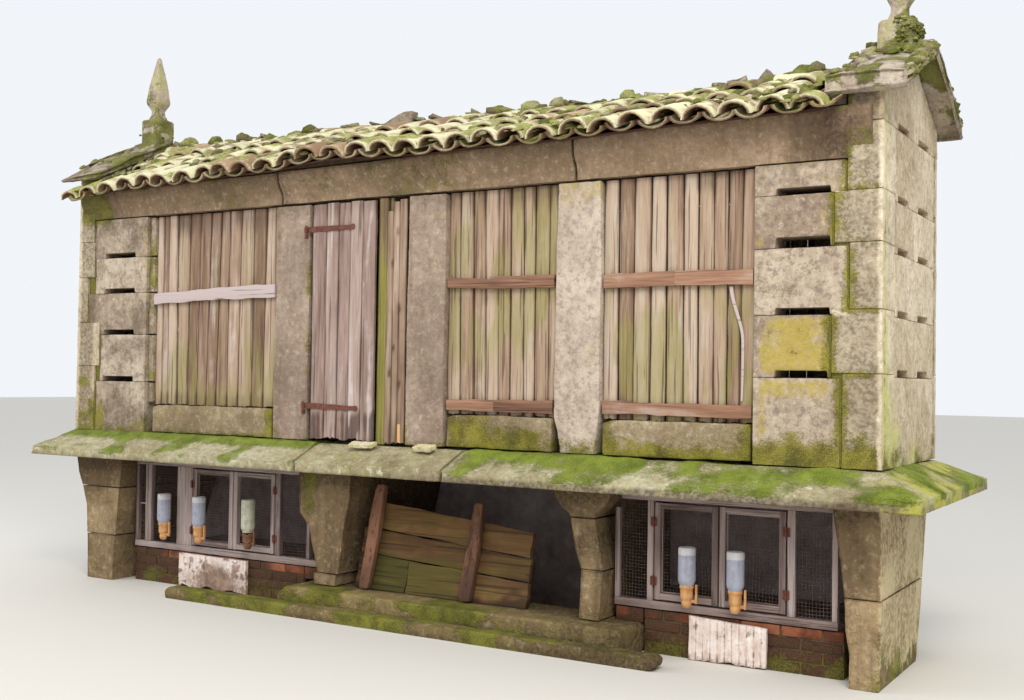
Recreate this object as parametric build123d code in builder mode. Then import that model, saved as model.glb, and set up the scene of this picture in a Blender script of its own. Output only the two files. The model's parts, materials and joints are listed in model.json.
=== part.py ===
from build123d import *
import os

os.makedirs("parts", exist_ok=True)

# ---------------------------------------------------------------------------
# Raised stone granary with timber slat bays, on piers over a low undercroft.
# Millimetres.  +X along the long front towards the right, +Y into depth,
# +Z up.  The origin is on the ground, below the middle of the ledge outline.
# ---------------------------------------------------------------------------

# plan
HALF_LENGTH = 3100.0      # half of the chamber's outside length
FRONT = -650.0            # front wall plane
REAR = 650.0              # rear wall plane
WALL = 200.0              # masonry thickness
SHIFT_X = -35.0           # moves the measured layout onto the origin

# ledge round the chamber
LEDGE_X0, LEDGE_X1 = -3290.0, 3360.0
LEDGE_Y = 920.0
LEDGE_BOTTOM, LEDGE_EDGE, LEDGE_TOP = 940.0, 1010.0, 1130.0

# levels
SILL_TOP = 1355.0
LINTEL_BOTTOM = 2750.0
LINTEL_TOP = 3000.0       # at mid length; it climbs to the right
CLIMB = 0.0113            # rise of lintels and roof per unit of length

# roof
EAVE_Y = 860.0
EAVE_BOTTOM, EAVE_TOP = 2930.0, 3010.0
RIDGE_BOTTOM, RIDGE_TOP = 3265.0, 3430.0
ROOF_HALF = 2800.0
COPING_X0, COPING_X1 = 2800.0, 3235.0
COPING_Y = 730.0
COPING_LOW, COPING_HIGH = 3090.0, 3430.0
COPING_THICK = 90.0

# bays of the front, left edge and right edge
BAY_1 = (-2270.0, -1060.0)
DOOR_BAY = (-740.0, 70.0)
BAY_3 = (380.0, 1160.0)
BAY_4 = (1480.0, 2400.0)
PANEL_LEFT = (-2900.0, -2270.0)
PANEL_RIGHT = (2400.0, 2900.0)
PILASTERS = ((-1060.0, -740.0), (70.0, 380.0), (1160.0, 1480.0))
PILASTER_DEPTH = 220.0

# slats
SLAT_RECESS = 45.0
SLAT_THICK = 26.0

# undercroft
HUTCH_Y = -500.0
HUTCH_FRAME = 40.0
SLAB_TOP = 170.0
BEAM_TOP = 85.0
REAR_BASE_Y = (430.0, 580.0)


def save(context, name):
    context.part.label = name
    export_step(context.part, f"parts/{name}.step")


def block(x0, x1, y0, y1, z0, z1, mode=Mode.ADD):
    """Upright box between two corners."""
    with Locations(
        ((x0 + x1) / 2 + SHIFT_X, (y0 + y1) / 2, (z0 + z1) / 2)
    ):
        return Box(abs(x1 - x0), abs(y1 - y0), abs(z1 - z0), mode=mode)


def along_y(points, y0, y1, mode=Mode.ADD):
    """Outline in X and Z, run from y0 back to y1."""
    plane = Plane(
        origin=(SHIFT_X, y0, 0), x_dir=(1, 0, 0), z_dir=(0, -1, 0)
    )
    with BuildSketch(plane) as outline:
        with BuildLine():
            Polyline(*points, close=True)
        make_face()
    extrude(outline.sketch, amount=-(y1 - y0), mode=mode)


def along_x(points, x0, x1, climb=0.0, mode=Mode.ADD):
    """Outline in Y and Z, run from x0 to x1, rising by climb."""
    plane = Plane(
        origin=(x0 + SHIFT_X, 0, climb * x0), x_dir=(0, 1, 0), z_dir=(1, 0, 0)
    )
    with BuildSketch(plane) as outline:
        with BuildLine():
            Polyline(*points, close=True)
        make_face()
    extrude(outline.sketch, amount=x1 - x0, dir=(1, 0, climb), mode=mode)


def frustum(x0, x1, y, z0, top_x0, top_x1, top_y, z1):
    """Tapered block between a lower and an upper rectangle."""
    with BuildSketch(Plane.XY.offset(z0)) as low:
        with Locations(((x0 + x1) / 2 + SHIFT_X, 0)):
            Rectangle(x1 - x0, 2 * y)
    with BuildSketch(Plane.XY.offset(z1)) as high:
        with Locations(((top_x0 + top_x1) / 2 + SHIFT_X, 0)):
            Rectangle(top_x1 - top_x0, 2 * top_y)
    loft([low.sketch, high.sketch])


# ---------------------------------------------------------------------------
# Base: front beam, sill slab, piers, rear wall, low hutch walls
# ---------------------------------------------------------------------------

with BuildPart() as front_step_beam:
    along_y(
        [
            (-1790, 0), (1930, 0), (1965, 22), (1972, 62), (1945, BEAM_TOP),
            (-1755, BEAM_TOP), (-1795, 55),
        ],
        -LEDGE_Y, -790,
    )
save(front_step_beam, "front_step_beam")

with BuildPart() as sill_slab:
    along_y(
        [
            (-870, 0), (1700, 0), (1700, SLAB_TOP - 25), (1680, SLAB_TOP),
            (-790, SLAB_TOP), (-860, SLAB_TOP - 55),
        ],
        -790, -300,
    )
save(sill_slab, "sill_slab")

PIER_BACK = 430.0

with BuildPart() as pier_left:
    along_y(
        [
            (-2930, 0), (-2650, 0), (-2650, 120), (-2600, 600), (-2570, 860),
            (-2570, LEDGE_BOTTOM), (-3090, LEDGE_BOTTOM), (-3060, 800),
            (-2960, 560),
        ],
        FRONT + 10, PIER_BACK,
    )
    # rear edge leans back towards the foot
    along_x(
        [(200, 0), (435, LEDGE_BOTTOM), (435, 0)],
        -3200, -2500, mode=Mode.SUBTRACT,
    )
save(pier_left, "pier_left")

with BuildPart() as pier_second:
    # bracket profile with a nose to the left, on a small pad stone
    along_y(
        [
            (-670, SLAB_TOP), (-480, SLAB_TOP), (-480, 245), (-455, 255),
            (-420, 550), (-370, 760), (-360, LEDGE_BOTTOM),
            (-820, LEDGE_BOTTOM), (-810, 780), (-805, 640), (-725, 560),
            (-690, 430), (-640, 255), (-670, 245),
        ],
        -640, -300,
    )
    # the pier runs on behind the slab, down to the ground
    along_y(
        [
            (-640, 0), (-455, 0), (-420, 550), (-370, 760),
            (-360, LEDGE_BOTTOM), (-720, LEDGE_BOTTOM), (-700, 600),
        ],
        -300, PIER_BACK,
    )
save(pier_second, "pier_second")

with BuildPart() as pier_third:
    # two rough blocks under a flared capital
    along_y(
        [
            (1350, SLAB_TOP), (1485, SLAB_TOP), (1510, 465), (1450, 765),
            (1455, 785), (1520, 845), (1550, 895), (1550, LEDGE_BOTTOM),
            (1170, LEDGE_BOTTOM), (1175, 885), (1225, 815), (1275, 785),
            (1280, 765), (1325, 560), (1360, 450),
        ],
        -640, -300,
    )
    along_y(
        [
            (1330, 0), (1480, 0), (1470, 765), (1520, LEDGE_BOTTOM),
            (1230, LEDGE_BOTTOM), (1290, 765),
        ],
        -300, PIER_BACK,
    )
save(pier_third, "pier_third")

with BuildPart() as pier_right:
    along_y(
        [
            (2930, 0), (3090, 0), (3100, 300), (3100, LEDGE_BOTTOM),
            (2835, LEDGE_BOTTOM), (2880, 660), (2905, 450), (2912, 290),
            (2935, 170),
        ],
        FRONT, PIER_BACK,
    )
    along_x(
        [(200, 0), (320, 550), (435, LEDGE_BOTTOM), (435, 0)],
        2800, 3200, mode=Mode.SUBTRACT,
    )
save(pier_right, "pier_right")

with BuildPart() as rear_base_wall:
    block(-2980, 3000, *REAR_BASE_Y, 0, LEDGE_BOTTOM)
save(rear_base_wall, "rear_base_wall")

with BuildPart() as hutch_low_walls:
    # brick upstands below the hutch frames, with the hutch floor on top
    block(-2560, -872, HUTCH_Y + 5, HUTCH_Y + 125, 0, 255)
    block(-872, -730, HUTCH_Y + 5, HUTCH_Y + 125, SLAB_TOP, 255)
    block(1702, 2870, HUTCH_Y + 5, HUTCH_Y + 125, 0, 255)
    block(1520, 1702, HUTCH_Y + 5, HUTCH_Y + 125, SLAB_TOP, 255)
save(hutch_low_walls, "hutch_low_walls")

# ---------------------------------------------------------------------------
# Ledge slabs: level underside, short upright edge, top falling outwards
# ---------------------------------------------------------------------------


def ledge_ring():
    block(LEDGE_X0, LEDGE_X1, -LEDGE_Y, LEDGE_Y, LEDGE_BOTTOM, LEDGE_EDGE)
    frustum(
        LEDGE_X0, LEDGE_X1, LEDGE_Y, LEDGE_EDGE,
        -HALF_LENGTH, HALF_LENGTH, REAR, LEDGE_TOP,
    )


LEDGE_IN = 400.0


def ledge_slab(name, x0, x1, y0, y1):
    with BuildPart() as slab:
        ledge_ring()
        block(x0, x1, y0, y1, 0, 2000, mode=Mode.INTERSECT)
    save(slab, name)


ledge_slab("ledge_front_left", -3400, -662, -1000, -LEDGE_IN)
ledge_slab("ledge_front_middle", -658, 528, -1000, -LEDGE_IN)
ledge_slab("ledge_front_right", 532, 3400, -1000, -LEDGE_IN)
ledge_slab("ledge_left_end", -3400, -2850, -LEDGE_IN, LEDGE_IN)
ledge_slab("ledge_right_end", 2850, 3400, -LEDGE_IN, LEDGE_IN)

with BuildPart() as ledge_back:
    ledge_ring()
    block(-3400, 3400, LEDGE_IN, 1000, 0, 2000, mode=Mode.INTERSECT)
    block(-902, -898, 0, 1000, 0, 2000, mode=Mode.SUBTRACT)
    block(1198, 1202, 0, 1000, 0, 2000, mode=Mode.SUBTRACT)
save(ledge_back, "ledge_back")

with BuildPart() as chamber_floor:
    block(-2850, 2850, -LEDGE_IN, LEDGE_IN, LEDGE_BOTTOM, LEDGE_TOP)
save(chamber_floor, "chamber_floor")

# ---------------------------------------------------------------------------
# Chamber walls
# ---------------------------------------------------------------------------

SILL_BAYS = (BAY_1, BAY_3, BAY_4)

with BuildPart() as sills_front:
    for x0, x1 in SILL_BAYS:
        block(x0, x1, FRONT + 5, FRONT + 195, LEDGE_TOP, SILL_TOP)
save(sills_front, "sills_front")

BACK_BAYS = (BAY_1, DOOR_BAY, BAY_3, BAY_4)

with BuildPart() as sills_back:
    for x0, x1 in BACK_BAYS:
        block(x0, x1, REAR - 195, REAR - 5, LEDGE_TOP, SILL_TOP)
save(sills_back, "sills_back")

with BuildPart() as pilasters_front:
    for x0, x1 in PILASTERS:
        block(x0, x1, FRONT, FRONT + PILASTER_DEPTH, LEDGE_TOP, LINTEL_BOTTOM)
    chamfer(pilasters_front.edges().filter_by(Axis.Z).group_by(Axis.Y)[0], 12)
save(pilasters_front, "pilasters_front")

with BuildPart() as pilasters_back:
    for x0, x1 in PILASTERS:
        block(x0, x1, REAR - PILASTER_DEPTH, REAR, LEDGE_TOP, LINTEL_BOTTOM)
    chamfer(pilasters_back.edges().filter_by(Axis.Z).group_by(Axis.Y)[-1], 12)
save(pilasters_back, "pilasters_back")

# vent slits, cut right through the masonry: (low edge, height) for each row
SLIT = 38.0
SLITS_RIGHT = ((2600, SLIT), (2325, 58), (1955, SLIT), (1620, SLIT))
SLITS_LEFT = ((2470, SLIT), (2200, SLIT), (1885, SLIT), (1530, SLIT))
SLITS_END = (2960, 2570, 2290, 1950, 1630)

with BuildPart() as front_panel_right:
    block(*PANEL_RIGHT, FRONT, FRONT + WALL, LEDGE_TOP, LINTEL_BOTTOM)
    for z, h in SLITS_RIGHT:
        block(2520, 2820, -700, -400, z - h / 2, z + h / 2, Mode.SUBTRACT)
save(front_panel_right, "front_panel_right")

with BuildPart() as front_panel_left:
    block(*PANEL_LEFT, FRONT, FRONT + WALL, LEDGE_TOP, LINTEL_BOTTOM)
    for z, h in SLITS_LEFT:
        block(-2800, -2465, -700, -400, z - h / 2, z + h / 2, Mode.SUBTRACT)
save(front_panel_left, "front_panel_left")

with BuildPart() as back_panels:
    block(*PANEL_RIGHT, REAR - WALL, REAR, LEDGE_TOP, LINTEL_BOTTOM)
    block(*PANEL_LEFT, REAR - WALL, REAR, LEDGE_TOP, LINTEL_BOTTOM)
    for z, h in SLITS_RIGHT:
        block(2520, 2820, 400, 700, z - h / 2, z + h / 2, Mode.SUBTRACT)
    for z, h in SLITS_LEFT:
        block(-2800, -2465, 400, 700, z - h / 2, z + h / 2, Mode.SUBTRACT)
save(back_panels, "back_panels")


def gable_z(y):
    """Underside of the coping at depth y."""
    return COPING_HIGH - (COPING_HIGH - COPING_LOW) * abs(y) / COPING_Y


def end_wall(side):
    """Masonry gable wall with five rows of slits; side is -1 or 1."""
    lift = CLIMB * side * 3000
    a, b = sorted((side * 2900, side * HALF_LENGTH))
    edge = gable_z(REAR) + lift
    along_x(
        [
            (FRONT, LEDGE_TOP), (REAR, LEDGE_TOP), (REAR, edge),
            (0, COPING_HIGH + lift), (FRONT, edge),
        ],
        a, b,
    )
    for row in SLITS_END:
        for y0, y1 in ((-330, -80), (150, 420)):
            block(
                side * 2800, side * 3200, y0, y1,
                row - SLIT / 2, row + SLIT / 2, Mode.SUBTRACT,
            )


with BuildPart() as end_wall_right:
    end_wall(1)
save(end_wall_right, "end_wall_right")

with BuildPart() as end_wall_left:
    end_wall(-1)
save(end_wall_left, "end_wall_left")

# ---------------------------------------------------------------------------
# Lintels with a projecting, weathered cornice band
# ---------------------------------------------------------------------------


def lintel(x0, x1, side, strip0, strip1):
    """Beam over the bays; side is -1 at the front and 1 at the rear."""
    f = side * REAR
    top0, top1 = LINTEL_TOP + CLIMB * x0, LINTEL_TOP + CLIMB * x1
    along_y(
        [(x0, LINTEL_BOTTOM), (x1, LINTEL_BOTTOM), (x1, top1), (x0, top0)],
        *sorted((f, side * 450.0)),
    )
    s0, s1 = LINTEL_TOP + CLIMB * strip0, LINTEL_TOP + CLIMB * strip1
    along_y(
        [
            (strip0, LINTEL_BOTTOM + 95), (strip1, LINTEL_BOTTOM + 95),
            (strip1, s1), (strip0, s0),
        ],
        *sorted((f + side * 55, f)),
    )


JOINT = 2.0
LINTEL_CUTS = ((-2900, -1000), (-1000, 1300), (1300, 2900))

with BuildPart() as lintels_front:
    lintel(-2900, -1000 - JOINT, -1, -3070, -1000 - JOINT)
    lintel(-1000 + JOINT, 1300 - JOINT, -1, -1000 + JOINT, 1300 - JOINT)
    lintel(1300 + JOINT, 2900, -1, 1300 + JOINT, 3070)
save(lintels_front, "lintels_front")

with BuildPart() as lintels_back:
    lintel(-2900, -1000 - JOINT, 1, -3070, -1000 - JOINT)
    lintel(-1000 + JOINT, 1300 - JOINT, 1, -1000 + JOINT, 1300 - JOINT)
    lintel(1300 + JOINT, 2900, 1, 1300 + JOINT, 3070)
save(lintels_back, "lintels_back")

# ---------------------------------------------------------------------------
# Roof: two slopes, ridge cap, copings on the gables, finials
# ---------------------------------------------------------------------------


def slope(side):
    along_x(
        [
            (side * EAVE_Y, EAVE_BOTTOM), (side * 705, LINTEL_TOP),
            (side * 450, LINTEL_TOP), (side * 2, RIDGE_BOTTOM),
            (side * 2, RIDGE_TOP - 40), (side * EAVE_Y, EAVE_TOP),
        ],
        -ROOF_HALF, ROOF_HALF, CLIMB,
    )


with BuildPart() as roof_front_slope:
    slope(-1)
save(roof_front_slope, "roof_front_slope")

with BuildPart() as roof_rear_slope:
    slope(1)
save(roof_rear_slope, "roof_rear_slope")

with BuildPart() as ridge_cap:
    # a run of ridge tiles, bedded on the two slopes
    roof_pitch = (RIDGE_TOP - 40 - EAVE_TOP) / (EAVE_Y - 2)
    along_x(
        [
            (-110, RIDGE_TOP - 40 - 108 * roof_pitch),
            (-80, RIDGE_TOP + 5), (0, RIDGE_TOP + 30), (80, RIDGE_TOP + 5),
            (110, RIDGE_TOP - 40 - 108 * roof_pitch),
            (2, RIDGE_TOP - 40), (-2, RIDGE_TOP - 40),
        ],
        -ROOF_HALF, ROOF_HALF, CLIMB,
    )
save(ridge_cap, "ridge_cap")


def coping(side):
    """Two sloping slabs that meet at the apex and shelter the gable wall."""
    lift = CLIMB * side * 3000
    a, b = sorted((side * COPING_X0, side * COPING_X1))
    for s in (-1, 1):
        along_x(
            [
                (s * COPING_Y, COPING_LOW + lift),
                (s * 2, gable_z(2) + lift),
                (s * 2, COPING_HIGH + COPING_THICK + lift),
                (s * (COPING_Y - 6), COPING_LOW + COPING_THICK + lift),
                (s * COPING_Y, COPING_LOW + COPING_THICK - 8 + lift),
            ],
            a, b,
        )
    # inner shoulder stones that close the gap above the lintels
    i, j = sorted((side * COPING_X0, side * 2900))
    seat = LINTEL_TOP + CLIMB * max(side * COPING_X0, side * 2900)
    for s in (-1, 1):
        along_x(
            [
                (s * 650, seat), (s * 450, seat),
                (s * 450, gable_z(450) + lift + 1), (s * 650, gable_z(650) + lift + 1),
            ],
            i, j,
        )


with BuildPart() as coping_left:
    coping(-1)
save(coping_left, "coping_left")

with BuildPart() as coping_right:
    coping(1)
save(coping_right, "coping_right")


def finial(x, bed, z0, z1, neck, wide, tip, half, neck_half, wide_half):
    """Square base block, inverted pyramid and tall spike, one stone each."""
    with BuildSketch(Plane.XY.offset(z0)) as s0:
        with Locations((x + SHIFT_X, 0)):
            Rectangle(2 * half, 2 * half)
    extrude(s0.sketch, amount=z1 - 35 - z0)
    with BuildSketch(Plane.XY.offset(z1 - 35)) as s1:
        with Locations((x + SHIFT_X, 0)):
            Rectangle(2 * half, 2 * half)
    with BuildSketch(Plane.XY.offset(z1)) as s2:
        with Locations((x + SHIFT_X, 0)):
            Rectangle(2 * half - 60, 2 * half - 60)
    loft([s1.sketch, s2.sketch])
    levels = (
        (z1, neck_half + 12), (neck, neck_half), (wide, wide_half),
        (wide + 25, wide_half), (tip - 18, 22),
    )
    for (za, ha), (zb, hb) in zip(levels, levels[1:]):
        with BuildSketch(Plane.XY.offset(za)) as a:
            with Locations((x + SHIFT_X, 0)):
                Rectangle(2 * ha, 2 * ha)
        with BuildSketch(Plane.XY.offset(zb)) as b:
            with Locations((x + SHIFT_X, 0)):
                Rectangle(2 * hb, 2 * hb)
        loft([a.sketch, b.sketch])
    with BuildSketch(Plane.XY.offset(tip - 18)) as a:
        with Locations((x + SHIFT_X, 0)):
            Rectangle(44, 44)
    extrude(a.sketch, amount=18, taper=30)
    # bed cut to the two coping slopes
    grade = (COPING_HIGH - COPING_LOW) / COPING_Y
    along_x(
        [
            (-300, bed - 300 * grade), (0, bed), (300, bed - 300 * grade),
            (300, bed - 600), (-300, bed - 600),
        ],
        x - 400, x + 400, mode=Mode.SUBTRACT,
    )


def coping_apex(side):
    return COPING_HIGH + COPING_THICK + CLIMB * side * 3000 + 2 * 0.4658


with BuildPart() as finial_left:
    finial(
        -2965, coping_apex(-1) + 1, 3380, 3665, 3735, 3800, 4190,
        105, 48, 80,
    )
save(finial_left, "finial_left")

with BuildPart() as finial_right:
    finial(
        3020, coping_apex(1) + 1, 3380, 3645, 3715, 3780, 4175,
        114, 48, 80,
    )
save(finial_right, "finial_right")

# ---------------------------------------------------------------------------
# Slatted bays: boards, with rails across them
# ---------------------------------------------------------------------------

SLAT_Y = FRONT + SLAT_RECESS

with BuildPart() as slats_front:
    for x0, x1 in SILL_BAYS:
        block(
            x0 + 4, x1 - 4, SLAT_Y, SLAT_Y + SLAT_THICK,
            SILL_TOP, LINTEL_BOTTOM,
        )
save(slats_front, "slats_front")

with BuildPart() as rails_front:
    block(-2262, -1068, SLAT_Y - 34, SLAT_Y, 2100, 2185)
    block(388, 1152, SLAT_Y - 34, SLAT_Y, 2130, 2210)
    block(388, 1152, SLAT_Y - 34, SLAT_Y, 1372, 1440)
    block(1488, 2392, SLAT_Y - 34, SLAT_Y, 2105, 2195)
    block(1488, 2392, SLAT_Y - 34, SLAT_Y, 1378, 1455)
save(rails_front, "rails_front")

with BuildPart() as slats_back:
    for x0, x1 in BACK_BAYS:
        block(
            x0 + 4, x1 - 4, -SLAT_Y - SLAT_THICK, -SLAT_Y,
            SILL_TOP, LINTEL_BOTTOM,
        )
        block(x0 + 8, x1 - 8, -SLAT_Y, -SLAT_Y + 34, 2110, 2190)
save(slats_back, "slats_back")

# ---------------------------------------------------------------------------
# Plank door on two long strap hinges, and the fixed plank beside it
# ---------------------------------------------------------------------------

HINGE_X, HINGE_Y = -762.0, -668.0
DOOR_Y0, DOOR_Y1 = -655.0, -627.0
DOOR_X0, DOOR_X1 = -715.0, -178.0
DOOR_Z0, DOOR_Z1 = 1150.0, 2738.0
STRAPS = (2565.0, 1372.0)
PIN_R, EYE_IN, EYE_OUT = 6.0, 6.5, 12.5

with BuildPart() as door_leaf:
    block(DOOR_X0, DOOR_X1, DOOR_Y0, DOOR_Y1, DOOR_Z0, DOOR_Z1)
    # two ledges across the back of the planks
    for z in STRAPS:
        block(DOOR_X0 + 20, DOOR_X1 - 20, DOOR_Y1, DOOR_Y1 + 26, z - 55, z + 55)
save(door_leaf, "door_leaf")

with BuildPart() as door_straps:
    for z, reach in zip(STRAPS, (-350.0, -300.0)):
        block(HINGE_X, reach, DOOR_Y0 - 6, DOOR_Y0, z - 20, z + 20)
        with Locations((HINGE_X + SHIFT_X, HINGE_Y, z)):
            Cylinder(EYE_OUT, 44)
        with Locations((HINGE_X + SHIFT_X, HINGE_Y, z)):
            Cylinder(EYE_IN, 60, mode=Mode.SUBTRACT)
save(door_straps, "door_straps")

with BuildPart() as door_pintles:
    # upright pin, on a spike let into the pilaster below each eye
    for z in STRAPS:
        with Locations((HINGE_X + SHIFT_X, HINGE_Y, z - 4)):
            Cylinder(PIN_R, 72)
        block(
            HINGE_X - 8, HINGE_X + 8, HINGE_Y - 8, FRONT, z - 60, z - 26,
        )
save(door_pintles, "door_pintles")

with BuildPart() as door_side_plank:
    block(-98, 62, -640, -612, LEDGE_TOP, 2735)
    # jamb post beside the leaf
    block(-171, -98, -628, -612, LEDGE_TOP, LINTEL_BOTTOM)
    block(-171, -60, -612, -540, LEDGE_TOP, LINTEL_BOTTOM)
save(door_side_plank, "door_side_plank")

# ---------------------------------------------------------------------------
# Hutches in the outer undercroft bays
# ---------------------------------------------------------------------------

HZ0, HZ1 = 255.0, LEDGE_BOTTOM      # bottom of the sill rail, top of the head
DOOR_LOW, DOOR_UP = 312.0, 872.0
HY0, HY1 = HUTCH_Y, HUTCH_Y + HUTCH_FRAME
MESH_Y0, MESH_Y1 = HUTCH_Y + 16, HUTCH_Y + 20
BARREL_R, BARREL_PIN, BARREL_IN = 5.5, 3.0, 3.4
GAP = 6.0


def leaf_hinge(x, z, toward):
    """Moving leaf: middle knuckle and its wing; toward is the door side."""
    with Locations((x + SHIFT_X, HUTCH_Y - 6.5, z)):
        Cylinder(BARREL_R, 24)
    x1 = x + toward * 34
    block(min(x, x1), max(x, x1), HUTCH_Y - 3, HUTCH_Y, z - 12, z + 12)
    x0 = x + toward * 8
    block(min(x0, x1), max(x0, x1), HUTCH_Y - 3, HUTCH_Y, z - 30, z + 30)
    with Locations((x + SHIFT_X, HUTCH_Y - 6.5, z)):
        Cylinder(BARREL_IN, 60, mode=Mode.SUBTRACT)


def post_hinge(x, z, toward):
    """Fixed leaf: outer knuckles, wing and the pin."""
    x1 = x - toward * 30
    x0 = x - toward * 8
    for s in (-1, 1):
        with Locations((x + SHIFT_X, HUTCH_Y - 6.5, z + s * 21.5)):
            Cylinder(BARREL_R, 17)
        block(
            min(x, x1), max(x, x1), HUTCH_Y - 3, HUTCH_Y,
            z + s * 21.5 - 8.5, z + s * 21.5 + 8.5,
        )
    block(min(x0, x1), max(x0, x1), HUTCH_Y - 3, HUTCH_Y, z - 30, z + 30)
    with Locations((x + SHIFT_X, HUTCH_Y - 6.5, z)):
        Cylinder(BARREL_PIN, 60)


def hutch_frame(name, left, right, posts, panels, hinges, notch):
    """Fixed timber frame of one bay with its fixed mesh panels."""
    with BuildPart() as frame:
        block(left, right, HY0, HY1, HZ0, DOOR_LOW - GAP)
        block(left, right, HY0, HY1, DOOR_UP + GAP, HZ1)
        for x0, x1 in posts:
            block(x0, x1, HY0, HY1, HZ0, HZ1)
        for x0, x1 in panels:
            block(x0, x1, MESH_Y0, MESH_Y1, HZ0 + 20, HZ1 - 20)
        for x, z, toward in hinges:
            post_hinge(x, z, toward)
        # notched round the stone beside it
        block(*notch, Mode.SUBTRACT)
    save(frame, name)


def hutch_door(name, x0, x1, hinge_x, toward, heights):
    """Mesh door: four bars round a thin mesh panel, with hinge leaves."""
    with BuildPart() as door:
        block(x0, x1, HY0, HY1, DOOR_LOW, DOOR_UP)
        block(
            x0 + 38, x1 - 38, HY0 - 5, HY1 + 5, DOOR_LOW + 40, DOOR_UP - 32,
            Mode.SUBTRACT,
        )
        block(x0 + 30, x1 - 30, MESH_Y0, MESH_Y1, DOOR_LOW + 30, DOOR_UP - 25)
        for z in heights:
            leaf_hinge(hinge_x, z, toward)
    save(door, name)


HINGE_Z = (420.0, 760.0)

# right bay: narrow fixed field, two doors, fixed field
RA0, RA1 = 1768.0, 2157.0
RB0, RB1 = 2163.0, 2548.0
hutch_frame(
    "hutch_frame_right", 1516, 2834,
    ((1516, 1546), (1722, RA0 - GAP), (RB1 + GAP, 2600), (2800, 2834)),
    ((1540, 1730), (2590, 2810)),
    [(RA0 - GAP / 2, z, 1) for z in HINGE_Z]
    + [(RB1 + GAP / 2, z, -1) for z in HINGE_Z],
    (1400, 1556, -600, -400, 830, 1000),
)
hutch_door("hutch_door_right_a", RA0, RA1, RA0 - GAP / 2, 1, HINGE_Z)
hutch_door("hutch_door_right_b", RB0, RB1, RB1 + GAP / 2, -1, HINGE_Z)

# left bay: fixed field, fixed field, two doors, fixed field
LA0, LA1 = -1956.0, -1553.0
LB0, LB1 = -1547.0, -1150.0
hutch_frame(
    "hutch_frame_left", -2560, -745,
    (
        (-2560, -2530), (-2459, -2392), (-2120, LA0 - GAP),
        (LB1 + GAP, -1100), (-856, -826), (-775, -745),
    ),
    ((-2540, -2440), (-2410, -2100), (-1110, -760)),
    [(LA0 - GAP / 2, z, 1) for z in HINGE_Z]
    + [(LB1 + GAP / 2, z, -1) for z in HINGE_Z],
    (-826, -700, -600, -400, 540, 1000),
)
hutch_door("hutch_door_left_a", LA0, LA1, LA0 - GAP / 2, 1, HINGE_Z)
hutch_door("hutch_door_left_b", LB0, LB1, LB1 + GAP / 2, -1, HINGE_Z)

with BuildPart() as hutch_floors:
    block(-2560, -730, HUTCH_Y + 125, 430, 215, 245)
    block(1520, 2870, HUTCH_Y + 125, 430, 215, 245)
save(hutch_floors, "hutch_floors")


def drinker(name, x, z, top):
    """Upturned bottle in a cup holder, hooked over the mesh by an arm."""
    y = HUTCH_Y - 62
    with BuildPart() as bottle:
        with Locations((x + SHIFT_X, y, (z + top) / 2)):
            Cylinder(50, top - z)
        with Locations((x + SHIFT_X, y, z - 20)):
            Cone(28, 42, 40)
        with Locations((x + SHIFT_X, y, z - 75)):
            Cylinder(34, 70)
        with Locations((x + SHIFT_X, y, z - 122)):
            Cone(18, 28, 24)
        block(x - 10, x + 10, y + 30, HUTCH_Y, z - 90, z - 60)
    save(bottle, name)


drinker("drinker_left_a", -2185, 470, 680)
drinker("drinker_left_b", -1825, 470, 680)
drinker("drinker_left_c", -1340, 470, 690)
drinker("drinker_right_a", 1998, 430, 640)
drinker("drinker_right_b", 2285, 430, 640)

with BuildPart() as apron_boards:
    # limewashed board and a ribbed board against the low brick walls
    block(-2060, -1390, HUTCH_Y - 25, HUTCH_Y + 5, 0, 250)
    block(1995, 2470, HUTCH_Y - 20, HUTCH_Y + 5, 0, 250)
save(apron_boards, "apron_boards")

# ---------------------------------------------------------------------------
# Middle bay: leaning plank screen held by two stakes
# ---------------------------------------------------------------------------

screen_plane = Plane(
    origin=(SHIFT_X, -560, SLAB_TOP), x_dir=(1, 0, 0), z_dir=(0, -1, 0.24)
)
with BuildPart() as plank_screen:
    with BuildSketch(screen_plane) as outline:
        with BuildLine():
            Polyline(
                (-380, 0), (940, 0), (945, 120), (935, 465), (-170, 590),
                (-345, 590), (-375, 480), close=True,
            )
        make_face()
    extrude(outline.sketch, amount=-38)
    block(-500, 1000, -700, -300, -100, SLAB_TOP, Mode.SUBTRACT)
save(plank_screen, "plank_screen")

stake_plane = Plane(
    origin=(SHIFT_X, -563, SLAB_TOP), x_dir=(1, 0, 0), z_dir=(0, -1, 0.24)
)
with BuildPart() as screen_stakes:
    for x, top in ((-256, 700), (537, 630)):
        with BuildSketch(stake_plane) as outline:
            with BuildLine():
                Polyline(
                    (x - 56, -30), (x + 34, -30), (x + 46, 360), (x + 34, top),
                    (x - 35, top), (x - 44, 360), close=True,
                )
            make_face()
        extrude(outline.sketch, amount=55)
    block(-900, 1300, -900, -300, -100, SLAB_TOP, Mode.SUBTRACT)
save(screen_stakes, "screen_stakes")
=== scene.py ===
import json
import math
import bpy
import numpy as np
from mathutils import Matrix, Vector
from mathutils.geometry import delaunay_2d_cdt

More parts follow.
